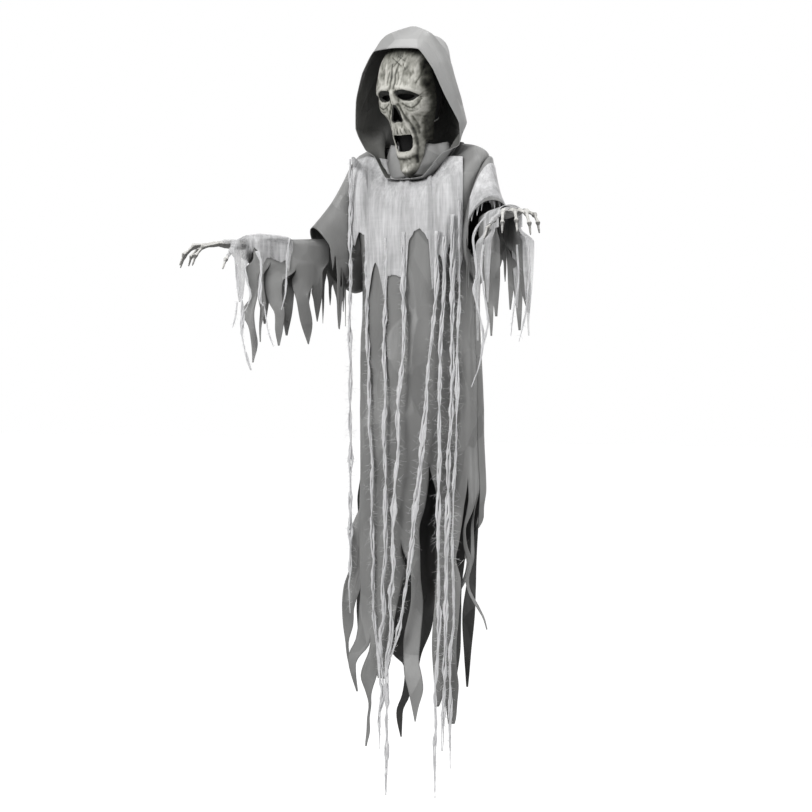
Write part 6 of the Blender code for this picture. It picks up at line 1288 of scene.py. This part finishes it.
MOUTH_SHARES = [(-0.93, 0.90), (-0.45, 1.0), (0.0, 0.94), (0.45, 1.0), (0.93, 0.90), (1.0, 0.55), (0.95, 0.0),
                (0.84, -0.62), (0.62, -0.95), (0.2, -1.0), (-0.2, -1.0), (-0.62, -0.95), (-0.84, -0.62),
                (-0.95, 0.0), (-1.0, 0.55)]
# Lines of the face: how far each stands out (a crease below nought), its half width, how much dark wash and painted
# shade lies in it (worn pale paint with painted highlight below nought), and its places across and up the face. All but
# the scratches lie on both sides.
FACE_LINES = [
    (-2.6, 2.6, 0.95, [(0.0085, 0.014), (0.0175, -0.009), (0.0242, -0.031), (0.0301, -0.056), (0.0318, -0.076),
                       (0.0300, -0.097), (0.0280, -0.114), (0.0245, -0.132)]),
    (2.0, 3.0, -0.45, [(0.0160, -0.016), (0.0205, -0.034), (0.0255, -0.056), (0.0270, -0.070)]),
    (3.2, 4.0, -0.5, [(0.0090, 0.0570), (0.0300, 0.0535), (0.0450, 0.0450), (0.0560, 0.0340)]),
    (-2.2, 2.2, 0.9, [(0.0050, 0.0520), (0.0060, 0.0600), (0.0050, 0.0790), (0.0080, 0.1020)]),
    (-1.5, 1.7, 0.7, [(0.0130, 0.0600), (0.0140, 0.0720), (0.0120, 0.0860)]),
    (2.0, 3.2, -0.5, [(0.0180, 0.0620), (0.0210, 0.0820), (0.0250, 0.1020)]),
    (1.8, 3.6, -0.45, [(0.0400, 0.0660), (0.0480, 0.0760), (0.0500, 0.0900)]),
    (-1.8, 2.0, 0.8, [(0.0105, 0.0480), (0.0120, 0.0380), (0.0110, 0.0200)]),
    (2.2, 2.6, -0.6, [(0.0020, 0.0500), (0.0030, 0.0320), (0.0040, 0.0180)]),
    (1.3, 1.3, -0.8, [(0.0200, 0.0185), (0.0300, 0.0160), (0.0420, 0.0160), (0.0510, 0.0220)]),
    (-1.7, 1.8, 0.85, [(0.0180, 0.0140), (0.0280, 0.0050), (0.0390, 0.0010), (0.0500, 0.0070), (0.0570, 0.0180)]),
    (-1.2, 1.8, 0.5, [(0.0220, 0.0040), (0.0320, -0.0060), (0.0440, -0.0080), (0.0550, -0.0010)]),
    (2.4, 4.5, -0.5, [(0.0380, -0.0120), (0.0500, -0.0090), (0.0600, 0.0020), (0.0620, 0.0180)]),
    (2.4, 3.4, -0.8, [(0.0, -0.1085), (0.0120, -0.1080), (0.0220, -0.1030), (0.0260, -0.0940)]),
    (-2.6, 3.6, 0.75, [(0.0, -0.1200), (0.0140, -0.1200), (0.0240, -0.1150)]),
    (-1.3, 1.5, 0.75, [(0.0040, -0.0460), (0.0050, -0.0570)]),
    (-1.3, 1.5, 0.65, [(0.0130, -0.0460), (0.0150, -0.0580)]),
    (-1.0, 1.4, 0.55, [(0.0090, -0.0340), (0.0085, -0.0430)]),
    (-1.0, 1.4, 0.5, [(0.0220, -0.0500), (0.0240, -0.0620)]),
    (1.4, 2.0, -0.4, [(0.0080, -0.0470), (0.0095, -0.0560)]),
    (-1.5, 2.0, 0.7, [(0.0340, -0.0200), (0.0370, -0.0420), (0.0365, -0.0640)]),
    (-1.2, 1.8, 0.6, [(0.0520, 0.0580), (0.0580, 0.0700), (0.0600, 0.0880)]),
    (-1.2, 1.5, 0.5, [(0.0560, 0.0280), (0.0630, 0.0340)]),
    (-1.2, 1.5, 0.5, [(0.0565, 0.0230), (0.0640, 0.0200)]),
    (-0.8, 2.6, 0.3, [(0.0120, -0.1320), (0.0150, -0.1450), (0.0120, -0.1600)]),
    (1.6, 4.5, -0.5, [(0.0, -0.1400), (0.0060, -0.1480)]),
]
SCRATCHES = [
    (-0.9, 1.2, 0.7, [(-0.012, 0.116), (0.016, 0.098)]),
    (-0.9, 1.2, 0.7, [(0.014, 0.118), (-0.004, 0.098)]),
    (-0.7, 1.0, 0.5, [(0.002, 0.119), (0.022, 0.108)]),
    (-0.7, 1.0, 0.5, [(0.020, 0.102), (0.028, 0.090)]),
]
# Where the front of the face turns to its side: height, and how far across
FRONT_EDGE = [(-0.176, 0.016), (-0.150, 0.024), (-0.120, 0.034), (-0.080, 0.037), (-0.043, 0.039), (-0.028, 0.044),
              (-0.016, 0.057), (0.006, 0.064), (0.030, 0.062), (0.048, 0.058), (0.075, 0.056), (0.098, 0.052),
              (0.130, 0.046)]
# How much painted shade lies on the face's sides, and how far the sides fall back
SIDE_SHADE = 0.46
SIDE_FALL = 4.5 * MM
# Sockets, painted black with black paint and with painted shadow under the brow, and sunk under it, as places on both
# sides of the face
SOCKET = [(0.0080, 0.0440), (0.0180, 0.0470), (0.0310, 0.0460), (0.0430, 0.0390), (0.0530, 0.0270), (0.0440, 0.0215),
          (0.0330, 0.0190), (0.0200, 0.0215), (0.0110, 0.0300)]
# Round the nose hole, painted black in the same way: black paint and painted shade, as places on both sides of the face
NOSTRIL = [(0.0, 0.0130), (0.0040, 0.0110), (0.0100, -0.0040), (0.0145, -0.0240), (0.0100, -0.0300), (0.0, -0.0270)]
SOCKET_DEPTH = 4.5 * MM
MASK_FINE_ROWS = 210
MASK_FINE_COLUMNS = 150


def face_row(height):
    rising = sorted(FACE_ROWS)
    return [along_keys([(row[0], row[column]) for row in rising], height) for column in (1, 2, 3, 4)]


def line_distance(x, y, line):
    best = 1.0
    for (x0, y0), (x1, y1) in zip(line, line[1:]):
        dx, dy = x1 - x0, y1 - y0
        t = clamp(((x - x0) * dx + (y - y0) * dy) / (dx * dx + dy * dy))
        best = min(best, math.hypot(x - x0 - dx * t, y - y0 - dy * t))
    return best


def line_forms(across, height):
    """How far the face's lines stand out at a place, and how dark they paint it there: dark wash and painted shade in
    creases, worn pale paint and painted highlight on ridges.
    """
    out, wash = 0.0, 0.0
    for table, place in ((FACE_LINES, abs(across)), (SCRATCHES, across)):
        for rise, half, dark, line in table:
            away = line_distance(place, height, line) / (half * MM)
            if away < 3:
                share = math.exp(-away * away)
                out += rise * MM * share
                wash += dark * share
    return out, wash


def openings_near(across, height):
    """1 inside the painted openings, easing to 0 close outside them."""
    place = abs(across)
    best = 0.0
    for outline, ease in ((SOCKET, 2.2 * MM), (NOSTRIL, 1.5 * MM)):
        if inside(place, height, outline):
            return 1.0
        near = nearest_on(place, height, outline)
        best = max(best, 1 - math.hypot(place - near[0], height - near[1]) / ease)
    return smoothstep(best)


def side_share(across, height):
    return smoothstep((abs(across) - looked_up(FRONT_EDGE, height)) / 0.007)


def face_relief(across, height):
    total = 0.0
    for at, up, wide, tall, forward in FACE_RELIEF:
        for side in (-1, 1) if at else (1,):
            dx = (across - side * at) / wide
            dz = (height - up) / tall
            total += forward * math.exp(-(dx * dx + dz * dz))
    total += line_forms(across, height)[0] - SIDE_FALL * side_share(across, height)
    if abs(across) < 0.06 and 0.01 < height < 0.055:
        total -= SOCKET_DEPTH * openings_near(across, height) * smoothstep(abs(across) * 140)
    spot = Vector((across * 60, height * 60, 0))
    return total + 0.9 * MM * noise.noise(spot) + 0.4 * MM * noise.noise(spot * 3.1)


def face_paint_and_shade(across, height):
    """How dark the mask is painted at a place, from old paint and from painted shade: 0 worn pale, 0.35 plain, 1 black.
    """
    wash = 0.30 + line_forms(across, height)[1] * 0.55
    # Painted shade down the sides of the face.
    wash += SIDE_SHADE * side_share(across, height)
    wash += 0.30 * math.exp(-((abs(across) - 0.029) / 0.010) ** 2 - ((height - 0.088) / 0.015) ** 2)
    # Painted shadow of the hood's rim across the top of the forehead.
    wash += 0.40 * smoothstep((height - 0.108) / 0.02)
    wash += 0.25 * noise.noise(Vector((across * 110, height * 70, 5.0)))
    wash += 0.20 * noise.noise(Vector((across * 260, height * 130, 1.0)))
    return clamp(mix(clamp(wash), 1.6, openings_near(across, height)))


def face_at(across, height, half_width, depth, squareness):
    """A point of the face's front at a place across it, and up the head's axis."""
    sine = clamp(abs(across) / half_width) ** (squareness / 2)
    forward = math.sqrt(max(0.0, 1 - sine * sine)) ** (2 / squareness)
    return Vector((across, -depth * forward - face_relief(across, height) * smoothstep(forward * 2) - 0.3 * MM, height))


def outline_of(hole, shares, side):
    return [(side * (hole["across"] + hole["half_width"] * a), hole["height"] + hole["half_height"] * b)
            for a, b in shares]


def inside(x, y, outline):
    found = False
    for (x0, y0), (x1, y1) in zip(outline, outline[1:] + outline[:1]):
        if (y0 > y) != (y1 > y) and x < x0 + (y - y0) / (y1 - y0) * (x1 - x0):
            found = not found
    return found


def nearest_on(x, y, outline):
    best, place = 1.0, (x, y)
    for (x0, y0), (x1, y1) in zip(outline, outline[1:] + outline[:1]):
        dx, dy = x1 - x0, y1 - y0
        t = clamp(((x - x0) * dx + (y - y0) * dy) / (dx * dx + dy * dy))
        away = math.hypot(x - x0 - dx * t, y - y0 - dy * t)
        if away < best:
            best, place = away, (x0 + dx * t, y0 + dy * t)
    return place


def make_mask():
    outlines = [outline_of(EYE_HOLE, EYE_SHARES, 1), outline_of(EYE_HOLE, EYE_SHARES, -1),
                outline_of(NOSE_HOLE, NOSE_SHARES, 1), outline_of(MOUTH_HOLE, MOUTH_SHARES, 1)]
    points, held, paint_and_shade = [], [], []
    high, low = FACE_ROWS[0][0], FACE_ROWS[-1][0]
    for i in range(MASK_FINE_ROWS):
        height = mix(high, low, i / (MASK_FINE_ROWS - 1))
        half_width, depth, _, squareness = face_row(height)
        for j in range(MASK_FINE_COLUMNS):
            turn = mix(-math.pi / 2, math.pi / 2, j / (MASK_FINE_COLUMNS - 1))
            across = half_width * math.copysign(abs(math.sin(turn)) ** (2 / squareness), turn)
            hole = next((o for o in outlines if inside(across, height, o)), None)
            place = (across, height)
            if hole:
                place = nearest_on(across, height, hole)
            row = face_row(place[1]) if hole else (half_width, depth, 0, squareness)
            points.append(HEAD_MATRIX @ face_at(*place, row[0], row[1], row[3]))
            paint_and_shade.append(face_paint_and_shade(*place))
            held.append(hole)
    faces = []
    for face in grid_faces(MASK_FINE_ROWS, MASK_FINE_COLUMNS):
        if all(held[i] for i in face):
            continue
        middle = sum((points[i] for i in face), Vector()) / 4
        if middle.y > -JAW_FRONT and middle.z < -JAW_TOP_DROP:
            continue
        faces.append(face)
    mask = mesh_object("face_mask_shell", points, faces, MASK)
    paint_and_shade_layer = mask.data.attributes.new("wash", "FLOAT", "POINT")
    paint_and_shade_layer.data.foreach_set("value", paint_and_shade)
    weld(mask)
    solid = mask.modifiers.new("wall", "SOLIDIFY")
    solid.thickness = MASK_WALL * 0.8
    solid.offset = -1
    settle(mask)
    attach(mask, "head")
    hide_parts("face_mask")


HAND_VOXEL = 0.9 * MM
HAND_RIPPLE = 0.3 * MM
# The gauze on a hand leaves out faces that look down by more than this
WRAP_LOOKS_DOWN = -0.35


def refined(node, name, body, voxel, material, ripple):
    """A finer copy of a moulded node: remeshed, smoothed and slightly uneven, as cast bone is."""
    source = frame["nodes"][node]
    piece = bpy.data.objects.new(name, source.data.copy())
    bpy.context.scene.collection.objects.link(piece)
    piece.data.transform(source.matrix_world)
    remesh = piece.modifiers.new("even", "REMESH")
    remesh.mode = "VOXEL"
    remesh.voxel_size = voxel
    smooth = piece.modifiers.new("soft", "SMOOTH")
    smooth.factor = 0.5
    smooth.iterations = 4
    settle(piece)
    piece.data.shade_smooth()
    # The normals are read first, because each moved vertex would have them all worked out again.
    outward = [vertex.normal.copy() for vertex in piece.data.vertices]
    for vertex, normal in zip(piece.data.vertices, outward):
        place = vertex.co * 160
        vertex.co += normal * ripple * (noise.noise(place) + 0.5 * noise.noise(place * 2.3))
    piece.data.materials.clear()
    piece.data.materials.append(material)
    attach(piece, body)
    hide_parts(node)


def wrap_hand(side_name):
    """Thin gauze drawn over the back of a hand, as far as its knuckles."""
    bones = bpy.data.objects["hand_" + side_name + "_bones"]
    piece = bpy.data.objects.new("gauze_hand_" + side_name, bones.data.copy())
    bpy.context.scene.collection.objects.link(piece)
    start, way = elbow(side_name), reach(SIDES[side_name])
    bm = bmesh.new()
    bm.from_mesh(piece.data)
    dropped = [face for face in bm.faces
               if (face.calc_center_median() - start).dot(way) > HAND_WRAP_REACH or face.normal.z < WRAP_LOOKS_DOWN]
    bmesh.ops.delete(bm, geom=dropped, context="FACES")
    for vertex in bm.verts:
        place = vertex.co * 120
        vertex.co += vertex.normal * (1.6 + 1.2 * noise.noise(place)) * MM + UP * 0.6 * MM
    bmesh.ops.smooth_vert(bm, verts=bm.verts, factor=0.5, use_axis_x=True, use_axis_y=True, use_axis_z=True)
    bm.to_mesh(piece.data)
    bm.free()
    piece.data.materials.clear()
    piece.data.materials.append(GAUZE_OPEN)
    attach(piece, "forearm_" + side_name)


def seen(x, y, near):
    """The place across the view and the height that a pixel of the picture shows, this near the camera."""
    share = (VIEW_DISTANCE - near) / VIEW_DISTANCE
    middle = FRAME_PIXELS / 2
    return ((middle + (x - middle) * share - EYE_PIXEL[0]) * PIXEL,
            (EYE_PIXEL[1] - middle - (y - middle) * share) * PIXEL)


# How near the view each forearm's gauze hangs
ARM_NEAR = {"right": 0.10, "left": 0.38}
VEIL_COLUMNS = 90
VEIL_ROWS = 26
VEIL_OUT = 3 * MM
# Veil over the right forearm: its top, its foot before and its foot behind, in the picture's pixels
VEIL_TOP = [(228, 240), (234, 237), (243, 232), (257, 230.5), (270, 231.5), (284, 233), (290, 236)]
VEIL_FOOT = [(228, 250), (233, 256), (236, 300), (240, 296), (244, 262), (248, 250), (252, 244), (256, 249),
             (260, 262), (264, 254), (270, 255), (278, 259), (283, 256), (286, 268), (288, 252), (290, 246)]
VEIL_BACK_FOOT = [(228, 246), (240, 256), (252, 250), (264, 258), (276, 252), (290, 250)]
# Strands and torn threads on the arms: half width, and the places that each passes
ARM_STRANDS = {
    "right": [
        (5.0, [(235, 262), (236, 285), (240, 300), (241, 315), (240, 332), (244, 352), (249, 369)]),
        (3.0, [(243, 262), (246, 280), (249, 292), (246, 304), (242, 310)]),
        (4.5, [(256, 249), (260, 262), (259, 280), (259, 298), (262, 304)]),
        (4.5, [(288, 236), (286, 255), (285, 275), (284, 292), (280, 308)]),
        (2.0, [(262, 300), (264, 312), (267, 330), (272, 345)]),
        (2.0, [(236, 300), (234, 315), (231, 326)]),
    ],
    "left": [
        (4.5, [(486, 212), (478, 222), (474, 236), (478, 268), (475, 282), (479, 305), (484, 330), (483, 352)]),
        (3.5, [(484, 240), (482, 262), (485, 290), (489, 318), (484, 340), (480, 362), (472, 384)]),
        (3.0, [(527, 232), (531, 255), (529, 285), (526, 312), (520, 338)]),
        (2.5, [(518, 240), (520, 275), (515, 305), (512, 332)]),
    ],
}


def make_veil():
    """Gauze over the right forearm: a front and a back, joined along the top, laid on the sleeve and the hand."""
    lines = [[seen(x, y, ARM_NEAR["right"]) for x, y in line] for line in (VEIL_TOP, VEIL_FOOT, VEIL_BACK_FOOT)]
    span = (lines[0][0][0], lines[0][-1][0])
    near = caster([bpy.data.objects["sleeve_lower_right_cloth"], bpy.data.objects["hand_right_bones"]])

    def laid(foot, way):
        outline = (span, lines[0], foot)
        depths = laid_depths(near, outline, VEIL_COLUMNS, VEIL_ROWS, VEIL_OUT, ARM_NEAR["right"], way)
        return laid_points(depths, outline, VEIL_COLUMNS, VEIL_ROWS, VEIL_OUT)

    front, back = laid(lines[1], 1), laid(lines[2], -1)
    wide = VEIL_COLUMNS + 1
    points = []
    for i in range(VEIL_ROWS, -1, -1):
        points += back[i * wide:(i + 1) * wide]
    points += [mix(a, b, 0.5) + UP * 2 * MM for a, b in zip(back[:wide], front[:wide])]
    points += front
    piece = mesh_object("gauze_cuff_right_cloth", points, grid_faces(2 * VEIL_ROWS + 3, wide), GAUZE_OPEN)
    thicken(piece, GAUZE)
    declare(piece, "forearm_right", "gauze", ["gauze_cuff_right"], "draped", ["forearm_tube_right"], 0.17, 0.16)


def make_arm_strands(side_name):
    """Strands and torn threads that hang from a forearm's gauze."""
    points, faces = [], []
    near = ARM_NEAR[side_name]
    for number, (half, pixels) in enumerate(ARM_STRANDS[side_name]):
        places = [seen(x, y, near) for x, y in pixels]
        keys = [ACROSS_VIEW * a + UP * z + TO_VIEW * (near + 6 * MM * (number % 3)) for a, z in places]
        spread_twine(points, faces, keys, half * MM, number + 3.7 * len(side_name))
    piece = mesh_object("gauze_cuff_" + side_name + "_strands", points, faces, STRAND)
    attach(piece, "forearm_" + side_name)


def spread_twine(points, faces, keys, half, seed):
    """A twisted strand of three yarns along keys, with loose fibres."""
    count = 8 * (len(keys) - 1)
    middle = [along(keys, k / 8) for k in range(count + 1)]
    for yarn in range(3):
        line, thick = [], []
        for k, place in enumerate(middle):
            spin = math.tau * yarn / 3 + k * 0.35
            swell = clamp(0.8 + 0.8 * noise.noise(Vector((k * 0.13, seed, 3.0))), 0.35, 1.5)
            swell *= mix(1.0, 0.4, smoothstep((k / count - 0.8) / 0.2))
            line.append(place + (ACROSS_VIEW * math.cos(spin) + TO_VIEW * math.sin(spin) * 0.6) * half * 0.5 * swell)
            thick.append(max(half * 0.45 * swell, 0.4 * MM))
        sweep(points, faces, line, thick, YARN_SIDES)
    for _ in range(count):
        k = CHANCE.randrange(count)
        side = CHANCE.choice((-1, 1))
        way = (ACROSS_VIEW * side + DOWN * CHANCE.uniform(-0.3, 1.8)).normalized() * CHANCE.uniform(3, 10) * MM
        line = [middle[k] + way * (step / 3) + DOWN * 1.5 * MM * (step / 3) ** 2 for step in range(4)]
        sweep(points, faces, line, ARM_HAIR_RADII, HAIR_SIDES)


def dress_nodes():
    """Materials of the nodes whose shape stays."""
    black = plain_material("moulded black plastic", (0.025, 0.025, 0.026), 0.5)
    finishes = {
        "black_plastic": black,
        "bone_plastic": BONE,
        "mask_plastic": BONE,
        "black_screen": plain_material("black mesh cloth", (0.008, 0.008, 0.008), 0.95, grain=900),
        "white_acetal": plain_material("white gear plastic", (0.72, 0.72, 0.70), 0.4),
        "green_board": plain_material("green circuit board", (0.03, 0.16, 0.07), 0.45),
        "cell_sleeve": plain_material("battery sleeve", (0.08, 0.09, 0.12), 0.35),
        "led_lens": plain_material("dark lamp lens", (0.02, 0.006, 0.006), 0.12, depth=0.02 * MM),
        "zinc_steel": plain_material("zinc plated steel", (0.55, 0.56, 0.57), 0.36, 1.0),
    }
    for part in frame["record"]["subparts"]:
        node = frame["nodes"].get(part["node"])
        finish = finishes.get(part["material_slot"])
        if node is None or finish is None:
            continue
        for slot in node.material_slots:
            slot.material = finish
    for slot in frame["nodes"]["head_back"].material_slots:
        slot.material = black


def make_all():
    """Each step may lay its cloth on what the steps before it made."""
    dress_nodes()
    make_robe()
    make_hood()
    for side_name in SIDES:
        make_upper_sleeve(side_name)
        make_draped("sleeve_lower", side_name, LOWER_SLEEVE_REACH, LOWER_HALF_WIDTH, SLEEVE_RISE, LOWER_SLEEVE_RAGS,
                    ROBE_CLOTH, CLOTH, lambda place: 3.0 * MM, "robe_cloth", (0.30, 0.46))
        if side_name == "left":
            make_draped("gauze_cuff", side_name, CUFF_REACH, CUFF_HALF_WIDTH, CUFF_RISE, CUFF_RAGS, GAUZE_OPEN,
                        GAUZE, lambda place: 1.2 * MM, "gauze", (0.28, 0.40))
        refined("hand_" + side_name, "hand_" + side_name + "_bones", "forearm_" + side_name,
                HAND_VOXEL, BONE, HAND_RIPPLE)
        wrap_hand(side_name)
        make_arm_strands(side_name)
    make_veil()
    make_gauze()
    make_mask()


# Stage, lights and camera

WHITE = (1.0, 1.0, 1.0)
FLOOR_GLOW = 0.75
# The view takes in a little more than the frame, because the figure's near parts show larger
VIEW_MARGIN = 1.012
SKY = 0.30
FLOOR_BELOW = 0.35
LIGHTS_AIM = Vector((0, 0, -0.75))


def make_stage():
    """Camera, white floor and sky, and three area lights, all placed from the photograph's own view."""
    target = ACROSS_VIEW * ((FRAME_PIXELS / 2 - EYE_PIXEL[0]) * PIXEL)
    target.z = (EYE_PIXEL[1] - FRAME_PIXELS / 2) * PIXEL
    camera_data = bpy.data.cameras.new("camera")
    half_view = FRAME_PIXELS / 2 * PIXEL * VIEW_MARGIN
    camera_data.sensor_width = SENSOR
    camera_data.lens = SENSOR / 2 * VIEW_DISTANCE / half_view
    camera = bpy.data.objects.new("camera", camera_data)
    bpy.context.scene.collection.objects.link(camera)
    way = TO_VIEW * math.cos(VIEW_RISE) + UP * math.sin(VIEW_RISE)
    camera.location = target + way * VIEW_DISTANCE
    camera.rotation_euler = (-way).to_track_quat("-Z", "Y").to_euler()
    bpy.context.scene.camera = camera

    floor_z = CAD_BOUNDS[0][2] - FLOOR_BELOW
    bpy.ops.mesh.primitive_plane_add(size=60, location=(0, 0, floor_z))
    floor = bpy.context.object
    floor.name = "studio_floor"
    n = Nodes("studio floor")
    rays = n.add("ShaderNodeLightPath")
    n.join(n.math("MULTIPLY", rays.outputs["Is Camera Ray"], FLOOR_GLOW), n.shader.inputs["Emission Strength"])
    floor.data.materials.append(n.finish((0.95, 0.95, 0.95), 0.9, Specular_IOR_Level=0.1,
                                         Emission_Color=(1, 1, 1, 1)))

    world = bpy.data.worlds.new("studio")
    world.use_nodes = True
    bpy.context.scene.world = world
    tree = world.node_tree
    background = next(node for node in tree.nodes if node.type == "BACKGROUND")
    rays = tree.nodes.new("ShaderNodeLightPath")
    level = tree.nodes.new("ShaderNodeMapRange")
    level.inputs["To Min"].default_value = SKY
    level.inputs["To Max"].default_value = 1.0
    direct = tree.nodes.new("ShaderNodeMath")
    direct.operation = "MAXIMUM"
    through = tree.nodes.new("ShaderNodeMath")
    through.operation = "MAXIMUM"
    tree.links.new(rays.outputs["Is Glossy Ray"], through.inputs[0])
    tree.links.new(rays.outputs["Is Transmission Ray"], through.inputs[1])
    tree.links.new(rays.outputs["Is Camera Ray"], direct.inputs[0])
    tree.links.new(through.outputs[0], direct.inputs[1])
    tree.links.new(direct.outputs[0], level.inputs["Value"])
    tree.links.new(level.outputs["Result"], background.inputs["Strength"])
    background.inputs["Color"].default_value = (*WHITE, 1)

    def area_light(name, across, depth, height, size, power):
        data = bpy.data.lights.new(name, "AREA")
        data.shape = "RECTANGLE"
        data.size, data.size_y = size
        data.energy = power
        light = bpy.data.objects.new(name, data)
        bpy.context.scene.collection.objects.link(light)
        light.location = ACROSS_VIEW * across + TO_VIEW * depth + UP * height
        aim = LIGHTS_AIM - light.location
        light.rotation_euler = aim.to_track_quat("-Z", "Y").to_euler()

    area_light("key", -1.9, 2.3, 1.2, (1.0, 1.4), 66)
    area_light("fill", 2.6, 1.8, 0.2, (1.4, 2.2), 24)
    area_light("top", 0.4, 0.2, 2.4, (1.2, 1.2), 30)
    bpy.context.scene.view_settings.view_transform = "Standard"


make_all()
make_stage()
bpy.context.view_layer.update()
